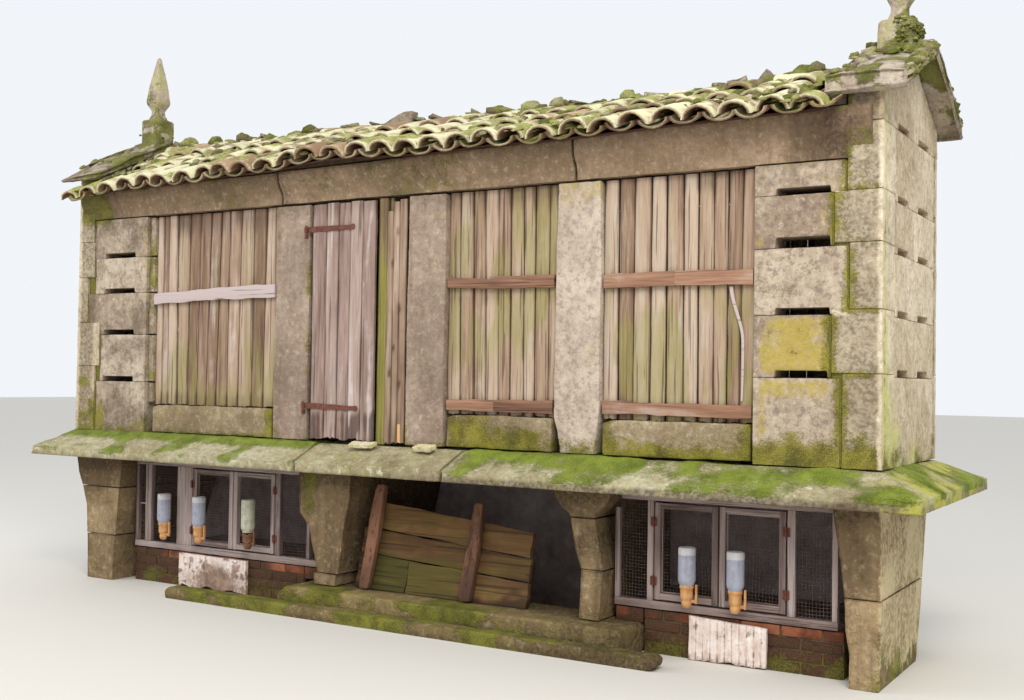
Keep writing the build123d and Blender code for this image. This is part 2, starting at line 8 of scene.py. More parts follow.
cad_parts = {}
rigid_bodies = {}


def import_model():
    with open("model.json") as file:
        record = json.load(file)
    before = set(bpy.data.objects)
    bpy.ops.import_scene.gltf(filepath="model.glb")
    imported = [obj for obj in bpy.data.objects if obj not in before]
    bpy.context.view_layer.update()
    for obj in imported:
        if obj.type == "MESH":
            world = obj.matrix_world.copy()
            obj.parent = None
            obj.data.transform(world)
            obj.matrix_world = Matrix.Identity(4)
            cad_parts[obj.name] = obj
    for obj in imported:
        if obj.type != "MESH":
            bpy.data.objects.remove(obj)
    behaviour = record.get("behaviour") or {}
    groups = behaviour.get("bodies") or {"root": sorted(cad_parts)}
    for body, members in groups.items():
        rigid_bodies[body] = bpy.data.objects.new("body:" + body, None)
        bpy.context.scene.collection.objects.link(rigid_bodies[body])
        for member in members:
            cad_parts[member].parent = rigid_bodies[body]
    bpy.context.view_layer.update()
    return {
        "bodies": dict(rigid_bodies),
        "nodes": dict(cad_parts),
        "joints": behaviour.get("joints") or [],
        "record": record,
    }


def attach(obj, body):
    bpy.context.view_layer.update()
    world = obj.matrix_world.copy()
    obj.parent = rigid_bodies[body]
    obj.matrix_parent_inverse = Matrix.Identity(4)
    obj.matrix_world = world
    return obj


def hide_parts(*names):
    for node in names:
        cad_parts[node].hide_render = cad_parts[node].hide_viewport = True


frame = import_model()

# The layout below is measured from the middle of the front wall.
# SHIFT_X moves it onto the frame's origin. Metres.
SHIFT_X = -0.035
CLIMB = 0.0113
RNG = np.random.default_rng(4317)

# ---------------------------------------------------------------------------
# Noise
# ---------------------------------------------------------------------------


def hash3(ix, iy, iz, seed):
    h = (ix * 374761393 + iy * 668265263 + iz * 1440662683 + seed * 974634777) & 0xFFFFFFFF
    h = ((h ^ (h >> 13)) * 1274126177) & 0xFFFFFFFF
    h = ((h ^ (h >> 15)) * 2246822519) & 0xFFFFFFFF
    return ((h ^ (h >> 16)) & 0xFFFF) / 65535.0


def noise(p, seed=0):
    p = np.asarray(p, float)
    i = np.floor(p).astype(np.int64)
    f = p - i
    u = f * f * (3 - 2 * f)
    out = 0.0
    for dx in (0, 1):
        wx = u[:, 0] if dx else 1 - u[:, 0]
        for dy in (0, 1):
            wy = u[:, 1] if dy else 1 - u[:, 1]
            for dz in (0, 1):
                wz = u[:, 2] if dz else 1 - u[:, 2]
                out = out + wx * wy * wz * hash3(i[:, 0] + dx, i[:, 1] + dy, i[:, 2] + dz, seed)
    return out


def fbm(p, seed=0, octaves=4, gain=0.5):
    p = np.asarray(p, float)
    total, amp, norm = 0.0, 1.0, 0.0
    for k in range(octaves):
        total = total + amp * noise(p * (2.03 ** k) + 13.7 * k, seed + 17 * k)
        norm += amp
        amp *= gain
    return total / norm


def smooth(a, b, x):
    t = np.clip((np.asarray(x, float) - a) / (b - a), 0, 1)
    return t * t * (3 - 2 * t)


# ---------------------------------------------------------------------------
# Mesh building
# ---------------------------------------------------------------------------


def normals_of(v, faces):
    n = np.zeros_like(v)
    for f in faces:
        if len(f) == 0:
            continue
        a, b, c = v[f[:, 0]], v[f[:, 1]], v[f[:, 2]]
        if f.shape[1] == 4:
            d = v[f[:, 3]]
            fn = np.cross(c - a, d - b)
        else:
            fn = np.cross(b - a, c - a)
        for k in range(f.shape[1]):
            for j in range(3):
                n[:, j] += np.bincount(f[:, k], fn[:, j], len(v))
    return n / (np.linalg.norm(n, axis=1, keepdims=True) + 1e-12)


class Solid:
    """Vertices, quads and triangles of one closed body."""

    def __init__(self, v, quads=None, tris=None):
        self.v = np.asarray(v, float)
        self.q = np.zeros((0, 4), int) if quads is None else np.asarray(quads, int).reshape(-1, 4)
        self.t = np.zeros((0, 3), int) if tris is None else np.asarray(tris, int).reshape(-1, 3)
        self.rest = self.v.copy()

    def normals(self):
        return normals_of(self.v, (self.q, self.t))

    def rough(self, amp, freq, seed=0, octaves=3, power=1.0, along=(1, 1, 1)):
        """Pushes the surface inwards by noise, up to amp; along scales each axis."""
        n = self.normals()
        h = fbm(self.v * freq, seed, octaves) ** power
        self.v = self.v - n * (amp * h)[:, None] * np.asarray(along, float)
        return self

    def raise_by(self, h):
        self.v = self.v + self.normals() * np.asarray(h)[:, None]
        return self

    def turn(self, axis, angle, about):
        m = np.array(Matrix.Rotation(angle, 3, axis))
        a = np.asarray(about, float)
        self.v = (self.v - a) @ m.T + a
        return self

    def move(self, d):
        self.v = self.v + np.asarray(d, float)
        return self


class Bag:
    """Collects solids, with one mask colour per vertex and one material index per solid."""

    def __init__(self):
        self.v, self.q, self.t, self.m, self.qm, self.tm, self.n = [], [], [], [], [], [], 0

    def add(self, s, mask=(0, 0, 0, 0.5), mat=0):
        k = len(s.v)
        m = np.broadcast_to(np.asarray(mask, float), (k, 4)) if not callable(mask) else mask(s.v)
        self.v.append(s.v)
        self.m.append(np.clip(m, 0, 1))
        self.q.append(s.q + self.n)
        self.t.append(s.t + self.n)
        self.qm.append(np.full(len(s.q), mat))
        self.tm.append(np.full(len(s.t), mat))
        self.n += k
        return s


def piece(name, bag, mats, body="granary", replaces=(), angle=42.0, uv=None):
    """Turns a bag into one object that rides on a body."""
    v = np.concatenate(bag.v)
    v[:, 0] += SHIFT_X
    q, t = np.concatenate(bag.q), np.concatenate(bag.t)
    me = bpy.data.meshes.new(name)
    me.vertices.add(len(v))
    me.vertices.foreach_set("co", v.astype(np.float32).ravel())
    me.loops.add(4 * len(q) + 3 * len(t))
    me.loops.foreach_set("vertex_index", np.concatenate([q.ravel(), t.ravel()]).astype(np.int32))
    me.polygons.add(len(q) + len(t))
    starts = np.concatenate([np.arange(len(q)) * 4, 4 * len(q) + np.arange(len(t)) * 3])
    me.polygons.foreach_set("loop_start", starts.astype(np.int32))
    me.polygons.foreach_set("material_index", np.concatenate(bag.qm + bag.tm).astype(np.int32))
    a = me.attributes.new("mask", "FLOAT_COLOR", "POINT")
    a.data.foreach_set("color", np.concatenate(bag.m).astype(np.float32).ravel())
    me.update(calc_edges=True)
    me.validate()
    me.shade_smooth()
    me.set_sharp_from_angle(angle=math.radians(angle))
    for m in mats if isinstance(mats, (list, tuple)) else [mats]:
        me.materials.append(m)
    o = bpy.data.objects.new(name, me)
    bpy.context.scene.collection.objects.link(o)
    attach(o, body)
    if replaces:
        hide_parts(*replaces)
    return o


def stops(a, b, cell, r):
    """Positions from a to b: close near both ends, even between."""
    length = b - a
    r = min(r, length * 0.3)
    n = max(1, int(round((length - 2 * r) / cell)))
    mid = np.linspace(a + r, b - r, n + 1)
    return np.concatenate([[a, a + 0.35 * r], mid, [b - 0.35 * r, b]])


def lattice(lo, hi, cell=0.03, r=0.01, cells=None):
    """Box surface with rounded edges, as one closed lattice of quads."""
    c = (cell, cell, cell) if cells is None else cells
    ax = [stops(lo[k], hi[k], c[k], r) for k in range(3)]
    n = [len(a) for a in ax]
    pts, quads, index = [], [], {}

    def vid(i, j, k):
        key = (i * n[1] + j) * n[2] + k
        return key

    faces = []
    for axis in range(3):
        u, w = [a for a in range(3) if a != axis]
        iu, iw = np.meshgrid(np.arange(n[u] - 1), np.arange(n[w] - 1), indexing="ij")
        iu, iw = iu.ravel(), iw.ravel()
        for side in (0, 1):
            fixed = np.full(len(iu), 0 if side == 0 else n[axis] - 1)
            corner = []
            for du, dw in ((0, 0), (1, 0), (1, 1), (0, 1)):
                idx = [None] * 3
                idx[axis], idx[u], idx[w] = fixed, iu + du, iw + dw
                corner.append(vid(*idx))
            f = np.stack(corner, 1)
            flip = (side == 0) != (axis == 1)
            faces.append(f[:, ::-1] if flip else f)
    f = np.concatenate(faces)
    used, inv = np.unique(f.ravel(), return_inverse=True)
    i, j, k = used // (n[1] * n[2]), (used // n[2]) % n[1], used % n[2]
    v = np.stack([ax[0][i], ax[1][j], ax[2][k]], 1)
    lo, hi = np.asarray(lo, float), np.asarray(hi, float)
    rr = np.minimum(r, (hi - lo) * 0.3)
    inner = np.clip(v, lo + rr, hi - rr)
    d = (v - inner) / rr
    ln = np.linalg.norm(d, axis=1, keepdims=True)
    big = np.abs(d).max(axis=1, keepdims=True)
    d = np.where(ln > 0, d / np.maximum(ln, 1e-9) * big, d)
    v = inner + d * rr
    s = Solid(v, inv.reshape(-1, 4))
    s.rest = v.copy()
    return s


def resample(points, cell, r):
    """Closed outline with cut corners, points about a cell apart."""
    p = np.asarray(points, float)
    out = []
    k = len(p)
    for i in range(k):
        a, b, c = p[i - 1], p[i], p[(i + 1) % k]
        la, lc = np.linalg.norm(a - b), np.linalg.norm(c - b)
        rr = min(r, 0.3 * la, 0.3 * lc)
        s, e = b + (a - b) / la * rr, b + (c - b) / lc * rr
        out.append(s)
        out.append(0.25 * s + 0.5 * b + 0.25 * e)
        out.append(e)
        lr = min(r, 0.3 * np.linalg.norm(p[(i + 2) % k] - c), 0.3 * lc)
        nxt = c + (b - c) / lc * lr
        gap = np.linalg.norm(nxt - e)
        m = int(gap // cell)
        for j in range(1, m + 1):
            out.append(e + (nxt - e) * j / (m + 1))
    return np.array(out)


def area2(p):
    x, y = p[:, 0], p[:, 1]
    return np.sum(x * np.roll(y, -1) - np.roll(x, -1) * y)


def extr(points, axis, a, b, cell=0.03, r=0.01, skew=None):
    """Closed outline run along an axis from a to b, with rounded edges and meshed ends.
    axis 'x': outline in (Y, Z); 'y': in (X, Z); 'z': in (X, Y)."""
    ring = resample(points, cell, r)
    if area2(ring) < 0:
        ring = ring[::-1]
    k = len(ring)
    t = np.roll(ring, -1, 0) - np.roll(ring, 1, 0)
    t /= np.linalg.norm(t, axis=1, keepdims=True) + 1e-12
    inward = np.stack([-t[:, 1], t[:, 0]], 1)
    zs = stops(a, b, cell, r)
    rr = min(r, (b - a) * 0.3)
    rings, pos = [], []
    for z in zs:
        e = min(z - a, b - z)
        back = 0.0 if e >= rr else rr - math.sqrt(max(0.0, rr * rr - (rr - e) ** 2))
        rings.append(ring + inward * back)
        pos.append(z)
    n = len(zs)
    flat = np.concatenate(rings)
    depth = np.repeat(pos, k)
    i, j = np.meshgrid(np.arange(n - 1), np.arange(k), indexing="ij")
    i, j = i.ravel(), j.ravel()
    j2 = (j + 1) % k
    quads = np.stack([i * k + j, i * k + j2, (i + 1) * k + j2, (i + 1) * k + j], 1)
    # ends
    end = rings[0]
    lo, hi = end.min(0), end.max(0)
    gx = np.arange(lo[0] + cell / 2, hi[0], cell)
    gy = np.arange(lo[1] + cell / 2, hi[1], cell)
    g = np.stack([m.ravel() for m in np.meshgrid(gx, gy)], 1)
    if len(g):
        g = g + (np.stack([hash3(np.arange(len(g)), np.arange(len(g)) * 7, np.arange(len(g)) * 3, 5), hash3(np.arange(len(g)) * 5, np.arange(len(g)), np.arange(len(g)) * 11, 9)], 1) - 0.5) * cell * 0.35
        near = np.full(len(g), 9.0)
        e0, e1 = end, np.roll(end, -1, 0)
        for s0 in range(0, k):
            d = e1[s0] - e0[s0]
            w = np.clip(((g - e0[s0]) @ d) / max(d @ d, 1e-12), 0, 1)
            near = np.minimum(near, np.linalg.norm(g - e0[s0] - w[:, None] * d, axis=1))
        inside = np.zeros(len(g), bool)
        for s0 in range(0, k):
            y0, y1 = e0[s0][1], e1[s0][1]
            cross = (y0 > g[:, 1]) != (y1 > g[:, 1])
            xi = e0[s0][0] + (g[:, 1] - y0) / (y1 - y0 if y1 != y0 else 1e-12) * (e1[s0][0] - e0[s0][0])
            inside ^= cross & (g[:, 0] < xi)
        g = g[inside & (near > cell * 0.45)]
    pts = [Vector(p) for p in end] + [Vector(p) for p in g]
    res = delaunay_2d_cdt(pts, [], [list(range(k))], 1, 1e-6)
    verts2, tris2, orig = res[0], res[2], res[3]
    back_to = np.array([o[0] if len(o) else -1 for o in orig])
    tri = []
    for f in tris2:
        if len(f) == 3:
            tri.append(f)
        else:
            for m in range(1, len(f) - 1):
                tri.append([f[0], f[m], f[m + 1]])
    tri = np.array(tri, int)
    cap = np.array([[p.x, p.y] for p in verts2])
    # orient all cap triangles anticlockwise in the outline's plane
    o2 = cap[tri]
    sgn = (o2[:, 1, 0] - o2[:, 0, 0]) * (o2[:, 2, 1] - o2[:, 0, 1]) - (o2[:, 2, 0] - o2[:, 0, 0]) * (o2[:, 1, 1] - o2[:, 0, 1])
    tri[sgn < 0] = tri[sgn < 0][:, ::-1]
    total = len(flat)
    extra = [m for m in range(len(cap)) if not (0 <= back_to[m] < k)]
    tris = []
    add_v, add_d = [], []
    for endi, z in ((0, a), (n - 1, b)):
        remap = np.empty(len(cap), int)
        for m in range(len(cap)):
            if 0 <= back_to[m] < k:
                remap[m] = endi * k + back_to[m]
        for m in extra:
            remap[m] = total
            total += 1
            add_v.append(cap[m])
            add_d.append(z)
        tt = remap[tri]
        tris.append(tt[:, ::-1] if endi == 0 else tt)
    if add_v:
        flat = np.concatenate([flat, np.array(add_v)])
        depth = np.concatenate([depth, np.array(add_d)])
    tris = np.concatenate(tris)
    if axis == "x":
        v = np.stack([depth, flat[:, 0], flat[:, 1]], 1)
    elif axis == "y":
        v = np.stack([flat[:, 0], depth, flat[:, 1]], 1)
        quads, tris = quads[:, ::-1], tris[:, ::-1]
    else:
        v = np.stack([flat[:, 0], flat[:, 1], depth], 1)
    return Solid(v, quads, tris)


def lathe(profile, centre, n=20, close=True):
    """Revolved profile of (radius, z) about an upright axis."""
    p = np.asarray(profile, float)
    k = len(p)
    ang = np.arange(n) / n * 2 * math.pi
    v = []
    for r, z in p:
        v.append(np.stack([centre[0] + r * np.cos(ang), centre[1] + r * np.sin(ang), np.full(n, centre[2] + z)], 1))
    v = np.concatenate(v)
    i, j = np.meshgrid(np.arange(k - 1), np.arange(n), indexing="ij")
    i, j = i.ravel(), j.ravel()
    j2 = (j + 1) % n
    q = np.stack([i * n + j, i * n + j2, (i + 1) * n + j2, (i + 1) * n + j], 1)
    t = []
    if close:
        b = len(v)
        v = np.concatenate([v, [[centre[0], centre[1], centre[2] + p[0, 1]], [centre[0], centre[1], centre[2] + p[-1, 1]]]])
        for m in range(n):
            m2 = (m + 1) % n
            t.append([b, m2, m])
            t.append([b + 1, (k - 1) * n + m, (k - 1) * n + m2])
    return Solid(v, q, t)


def tube(path, radius, sides=4):
    """Thin wire along points, open at its ends."""
    p = np.asarray(path, float)
    d = np.gradient(p, axis=0)
    d /= np.linalg.norm(d, axis=1, keepdims=True) + 1e-12
    ref = np.array([0.0, 1.0, 0.0]) if abs(d[0, 1]) < 0.8 else np.array([1.0, 0.0, 0.0])
    u = np.cross(d, ref)
    u /= np.linalg.norm(u, axis=1, keepdims=True) + 1e-12
    w = np.cross(d, u)
    ang = np.arange(sides) / sides * 2 * math.pi
    rad = np.broadcast_to(np.asarray(radius, float), (len(p),))
    v = p[:, None, :] + rad[:, None, None] * (u[:, None, :] * np.cos(ang)[None, :, None] + w[:, None, :] * np.sin(ang)[None, :, None])
    v = v.reshape(-1, 3)
    n = len(p)
    i, j = np.meshgrid(np.arange(n - 1), np.arange(sides), indexing="ij")
    i, j = i.ravel(), j.ravel()
    j2 = (j + 1) % sides
    q = np.stack([i * sides + j, (i + 1) * sides + j, (i + 1) * sides + j2, i * sides + j2], 1)
    t = []
    for m in range(1, sides - 1):
        t.append([0, m, m + 1])
        t.append([(n - 1) * sides, (n - 1) * sides + m + 1, (n - 1) * sides + m])
    return Solid(v, q, t)


# ---------------------------------------------------------------------------
# Materials
# ---------------------------------------------------------------------------


def srgb(r, g, b):
    out = []
    for v in (r, g, b):
        v = v / 255.0
        out.append(v / 12.92 if v <= 0.04045 else ((v + 0.055) / 1.055) ** 2.4)
    return (*out, 1.0)


class Nodes:
    """Short way of writing a procedural surface."""

    def __init__(self, name):
        self.mat = bpy.data.materials.new(name)
        self.mat.use_nodes = True
        self.tree = self.mat.node_tree
        self.tree.nodes.clear()
        self.out = self.tree.nodes.new("ShaderNodeOutputMaterial")
        self.bsdf = self.tree.nodes.new("ShaderNodeBsdfPrincipled")
        self.tree.links.new(self.bsdf.outputs[0], self.out.inputs[0])
        self.pos = self.tree.nodes.new("ShaderNodeTexCoord").outputs["Object"]
        at = self.tree.nodes.new("ShaderNodeAttribute")
        at.attribute_name = "mask"
        sep = self.tree.nodes.new("ShaderNodeSeparateColor")
        self.tree.links.new(at.outputs["Color"], sep.inputs[0])
        self.moss, self.yellow, self.dark = sep.outputs[0], sep.outputs[1], sep.outputs[2]
        self.rnd = at.outputs["Alpha"]

    def put(self, socket, value):
        if isinstance(value, bpy.types.NodeSocket):
            self.tree.links.new(value, socket)
        else:
            socket.default_value = value

    def vec(self, scale=(1, 1, 1), shift=None):
        m = self.tree.nodes.new("ShaderNodeMapping")
        self.put(m.inputs[0], self.pos)
        m.inputs["Scale"].default_value = scale
        if shift is not None:
            cmb = self.tree.nodes.new("ShaderNodeCombineXYZ")
            for k in range(3):
                self.put(cmb.inputs[k], shift)
            self.put(m.inputs["Location"], cmb.outputs[0])
        return m.outputs[0]

    def noise(self, scale, detail=4.0, rough=0.55, vec=None, warp=0.0):
        n = self.tree.nodes.new("ShaderNodeTexNoise")
        self.put(n.inputs["Vector"], self.pos if vec is None else vec)
        n.inputs["Scale"].default_value = scale
        n.inputs["Detail"].default_value = detail
        n.inputs["Roughness"].default_value = rough
        n.inputs["Distortion"].default_value = warp
        return n.outputs[0]

    def voronoi(self, scale, vec=None, feature="F1", out="Distance", rand=1.0):
        n = self.tree.nodes.new("ShaderNodeTexVoronoi")
        n.feature = feature
        self.put(n.inputs["Vector"], self.pos if vec is None else vec)
        n.inputs["Scale"].default_value = scale
        n.inputs["Randomness"].default_value = rand
        return n.outputs[out]

    def math(self, op, a, b=0.0, clamp=False):
        n = self.tree.nodes.new("ShaderNodeMath")
        n.operation = op
        n.use_clamp = clamp
        self.put(n.inputs[0], a)
        self.put(n.inputs[1], b)
        return n.outputs[0]

    def step(self, x, lo, hi, a=0.0, b=1.0):
        n = self.tree.nodes.new("ShaderNodeMapRange")
        n.interpolation_type = "SMOOTHSTEP"
        self.put(n.inputs["Value"], x)
        n.inputs["From Min"].default_value = lo
        n.inputs["From Max"].default_value = hi
        n.inputs["To Min"].default_value = a
        n.inputs["To Max"].default_value = b
        return n.outputs[0]

    def ramp(self, x, *stops):
        n = self.tree.nodes.new("ShaderNodeValToRGB")
        self.put(n.inputs[0], x)
        e = n.color_ramp.elements
        e[0].position, e[0].color = stops[0]
        e[1].position, e[1].color = stops[-1]
        for p, c in stops[1:-1]:
            k = e.new(p)
            k.color = c
        return n.outputs[0]

    def mix(self, f, a, b, mode="MIX"):
        n = self.tree.nodes.new("ShaderNodeMix")
        n.data_type = "RGBA"
        n.blend_type = mode
        n.clamp_factor = True
        self.put(n.inputs[0], f)
        self.put(n.inputs[6], a)
        self.put(n.inputs[7], b)
        return n.outputs[2]

    def spread(self, mask, grain, amount=0.5, soft=0.12):
        """Mask with a broken edge: high where the mask beats the grain."""
        s = self.math("ADD", mask, self.math("MULTIPLY", self.math("SUBTRACT", grain, 0.5), amount))
        return self.step(s, 0.5 - soft, 0.5 + soft)

    def finish(self, color, rough, height=None, strength=0.5, distance=0.01, heights=()):
        self.put(self.bsdf.inputs["Base Color"], color)
        self.put(self.bsdf.inputs["Roughness"], rough)
        self.bsdf.inputs["Specular IOR Level"].default_value = 0.3
        last = None
        for h, s, d in ([(height, strength, distance)] if height is not None else []) + list(heights):
            b = self.tree.nodes.new("ShaderNodeBump")
            b.inputs["Strength"].default_value = s
            b.inputs["Distance"].default_value = d
            self.put(b.inputs["Height"], h)
            if last is not None:
                self.put(b.inputs["Normal"], last)
            last = b.outputs[0]
        if last is not None:
            self.put(self.bsdf.inputs["Normal"], last)
        return self.mat


MOSS_DARK = srgb(84, 80, 22)
MOSS_BRIGHT = srgb(150, 142, 52)
MOSS_OLIVE = srgb(112, 108, 32)


def granite(name, light, mid, deep, speck=0.55, moss_dark=MOSS_DARK, moss_bright=MOSS_BRIGHT,
            yellow=srgb(188, 166, 70), damp_and_shade=srgb(92, 78, 58), pale=srgb(216, 208, 188), pale_amount=0.35,
            stains=0.5, bump=0.6, mottle=0.75, blotch=srgb(118, 98, 84), run=0.6):
    """Weathered granite: two tones, mineral grains, pale lichen, stains, yellow lichen, moss."""
    n = Nodes(name)
    broad = n.noise(1.7, 3, 0.5, n.vec((1, 1, 1), n.math("MULTIPLY", n.rnd, 37.0)))
    patch = n.noise(7.5, 5, 0.62, warp=0.4)
    fine = n.noise(46, 4, 0.6)
    grain = n.voronoi(210)
    grit = n.noise(330, 2, 0.5)
    f = n.math("ADD", n.math("MULTIPLY", broad, 0.55), n.math("MULTIPLY", patch, 0.45))
    f = n.math("ADD", f, n.math("MULTIPLY", n.math("SUBTRACT", n.rnd, 0.5), 0.30))
    col = n.ramp(f, (0.32, deep), (0.50, mid), (0.68, light))
    # mineral grains
    col = n.mix(n.math("MULTIPLY", n.step(grit, 0.52, 0.66), speck), col, n.mix(0.62, col, srgb(70, 60, 52), "MIX"))
    col = n.mix(n.math("MULTIPLY", n.step(grain, 0.30, 0.12), speck * 0.75), col, n.mix(0.6, col, srgb(238, 228, 214)))
    col = n.mix(n.math("MULTIPLY", n.step(fine, 0.50, 0.70), 0.45), col, n.mix(0.45, col, srgb(96, 78, 60)))
    # vertical weather streaks
    streak = n.noise(1.0, 4, 0.6, n.vec((17, 17, 1.6)))
    col = n.mix(n.math("MULTIPLY", n.step(streak, 0.52, 0.72), stains), col, n.mix(0.5, col, srgb(112, 92, 64)))
    # blotches a few centimetres wide
    mott = n.noise(26, 5, 0.72, warp=0.15)
    wide = n.noise(9.0, 4, 0.6, n.vec((1, 1, 1), n.math("MULTIPLY", n.rnd, 19.0)))
    col = n.mix(n.math("MULTIPLY", n.step(mott, 0.50, 0.62), mottle), col, n.mix(0.55, col, blotch))
    col = n.mix(n.math("MULTIPLY", n.step(mott, 0.46, 0.34), mottle * 0.8), col, n.mix(0.45, col, pale))
    col = n.mix(n.math("MULTIPLY", n.step(wide, 0.52, 0.66), mottle * 0.6), col, n.mix(0.5, col, blotch))
    # pale crust lichen
    crust = n.noise(17, 6, 0.70, warp=0.12)
    blot = n.step(crust, 0.58, 0.68)
    col = n.mix(n.math("MULTIPLY", blot, pale_amount), col, pale)
    # damp, dark run-off, and painted shade where a mask lays dark under overhangs and on faces turned down
    d = n.spread(n.dark, n.math("ADD", n.math("MULTIPLY", streak, run), n.math("MULTIPLY", patch, 1.0 - run)), 1.1, 0.30)
    col = n.mix(n.math("MULTIPLY", d, 0.80), col, n.mix(n.step(fine, 0.35, 0.65), damp_and_shade, n.mix(0.5, damp_and_shade, col)))
    # yellow lichen; the same channel also paints light where a mask lays a pale colour on a lit side
    y = n.spread(n.yellow, n.noise(30, 6, 0.75, warp=0.3), 1.6, 0.24)
    ycol = n.mix(n.noise(60, 3, 0.6), yellow, n.mix(0.6, yellow, srgb(140, 124, 68)))
    col = n.mix(n.math("MULTIPLY", y, 0.84), col, ycol)
    # moss
    mg = n.math("ADD", n.math("MULTIPLY", n.noise(11, 5, 0.65), 0.6), n.math("MULTIPLY", n.noise(70, 3, 0.6), 0.4))
    m = n.spread(n.moss, mg, 1.5, 0.16)
    tuft = n.noise(150, 4, 0.6)
    mcol = n.mix(n.step(n.math("ADD", n.math("MULTIPLY", tuft, 0.5), n.math("MULTIPLY", patch, 0.5)), 0.38, 0.62), moss_dark, moss_bright)
    col = n.mix(n.math("MULTIPLY", m, 0.93), col, mcol)
    h = n.math("ADD", n.math("MULTIPLY", grit, 0.30), n.math("MULTIPLY", fine, 0.9))
    h = n.math("ADD", h, n.math("MULTIPLY", patch, 1.0))
    h = n.math("SUBTRACT", h, n.math("MULTIPLY", mott, 0.7))
    h = n.math("ADD", h, n.math("MULTIPLY", m, n.math("ADD", n.math("MULTIPLY", tuft, 1.6), 0.5)))
    return n.finish(col, n.step(fine, 0.2, 0.8, 0.82, 0.96), h, bump, 0.012)


def timber(name, light, mid, deep, axis="z", algae=srgb(122, 124, 40), silver=srgb(214, 204, 196), silver_amount=0.5,
           damp_and_shade=srgb(70, 48, 38), scale=1.0, bump=0.6, paint=None, paint_amount=0.0, cracks=0.75):
    """Weathered board: long grain, silver streaks, green algae, dark damp ends, and painted shade at heads under
    lintels and ledges.
    """
    n = Nodes(name)
    shift = n.math("MULTIPLY", n.rnd, 61.0)
    a, b = 42.0 * scale, 1.9 * scale
    s1 = {"z": (a, a, b), "x": (b, a, a), "y": (a, b, a)}[axis]
    s2 = {"z": (a * 4.3, a * 4.3, b * 2.2), "x": (b * 2.2, a * 4.3, a * 4.3), "y": (a * 4.3, b * 2.2, a * 4.3)}[axis]
    s3 = {"z": (9, 9, 1.1), "x": (1.1, 9, 9), "y": (9, 1.1, 9)}[axis]
    grain = n.noise(1.0, 5, 0.62, n.vec(s1, shift), 0.7)
    fibre = n.noise(1.0, 3, 0.6, n.vec(s2, shift))
    broad = n.noise(1.0, 3, 0.55, n.vec(s3, shift))
    blot = n.noise(6.5, 5, 0.6, n.vec((1, 1, 1), shift))
    f = n.math("ADD", n.math("MULTIPLY", grain, 0.55), n.math("MULTIPLY", broad, 0.45))
    f = n.math("ADD", f, n.math("MULTIPLY", n.math("SUBTRACT", n.rnd, 0.5), 0.34))
    col = n.ramp(f, (0.30, deep), (0.47, mid), (0.66, light))
    col = n.mix(n.math("MULTIPLY", n.step(fibre, 0.52, 0.72), 0.55), col, n.mix(0.6, col, srgb(64, 44, 34)))
    rift = n.noise(1.0, 2, 0.5, n.vec({"z": (a * 1.6, a * 1.6, b * 0.7), "x": (b * 0.7, a * 1.6, a * 1.6), "y": (a * 1.6, b * 0.7, a * 1.6)}[axis], shift), 0.35)
    rift = n.step(rift, 0.615, 0.66)
    sv = n.step(n.math("ADD", n.math("MULTIPLY", broad, 0.6), n.math("MULTIPLY", blot, 0.4)), 0.50, 0.64)
    col = n.mix(n.math("MULTIPLY", n.math("MULTIPLY", sv, n.step(grain, 0.36, 0.58)), silver_amount), col, silver)
    g = n.spread(n.moss, n.math("ADD", n.math("MULTIPLY", broad, 0.6), n.math("MULTIPLY", grain, 0.4)), 1.3, 0.28)
    col = n.mix(n.math("MULTIPLY", g, 0.72), col, n.mix(0.35, algae, col))
    # dark mask: damp, and painted shade where it darkens heads under lintels and ledges
    d = n.spread(n.dark, n.math("ADD", n.math("MULTIPLY", grain, 0.5), n.math("MULTIPLY", blot, 0.5)), 1.0, 0.30)
    col = n.mix(n.math("MULTIPLY", d, 0.78), col, damp_and_shade)
    if paint is not None:
        p = n.spread(n.yellow, n.math("ADD", n.math("MULTIPLY", grain, 0.55), n.math("MULTIPLY", blot, 0.45)), 1.2, 0.10)
        col = n.mix(n.math("MULTIPLY", p, paint_amount), col, paint)
    col = n.mix(n.math("MULTIPLY", rift, cracks), col, n.mix(0.75, col, srgb(46, 32, 26)))
    h = n.math("ADD", n.math("MULTIPLY", grain, 1.0), n.math("MULTIPLY", fibre, 0.55))
    h = n.math("SUBTRACT", h, n.math("MULTIPLY", rift, 1.2))
    return n.finish(col, n.step(grain, 0.2, 0.8, 0.72, 0.92), h, bump, 0.004)


GRANITE_WALL = granite("granite_wall", srgb(206, 190, 168), srgb(180, 162, 140), srgb(142, 122, 102), pale_amount=0.38, mottle=1.0, blotch=srgb(112, 94, 88))
GRANITE_POST = granite("granite_post", srgb(206, 190, 173), srgb(186, 168, 151), srgb(158, 138, 119), stains=0.25, pale_amount=0.30)
GRANITE_DULL = granite("granite_dull", srgb(186, 166, 148), srgb(164, 143, 126), srgb(134, 112, 98), stains=0.35, pale_amount=0.34, mottle=0.7, pale=srgb(206, 198, 178), yellow=srgb(210, 202, 156))
GRANITE_SILL = granite("granite_sill", srgb(178, 162, 130), srgb(150, 132, 100), srgb(112, 96, 66), pale_amount=0.26, stains=0.5, bump=0.7)
# end walls: the wall granite with more pale lichen and fewer streaks, and lighter base tones as painted light
GRANITE_END_LIT = granite("granite_end_lit", srgb(232, 218, 190), srgb(214, 198, 168), srgb(186, 166, 134), pale=srgb(244, 240, 222),
                      pale_amount=0.45, yellow=srgb(214, 220, 128), stains=0.05, blotch=srgb(128, 108, 96), run=0.12)
GRANITE_LINTEL = granite("granite_lintel", srgb(172, 146, 121), srgb(145, 121, 94), srgb(110, 92, 64), pale_amount=0.05,
                         moss_dark=srgb(78, 76, 34), moss_bright=srgb(136, 128, 62), damp_and_shade=srgb(62, 46, 38), speck=0.35, stains=0.6)
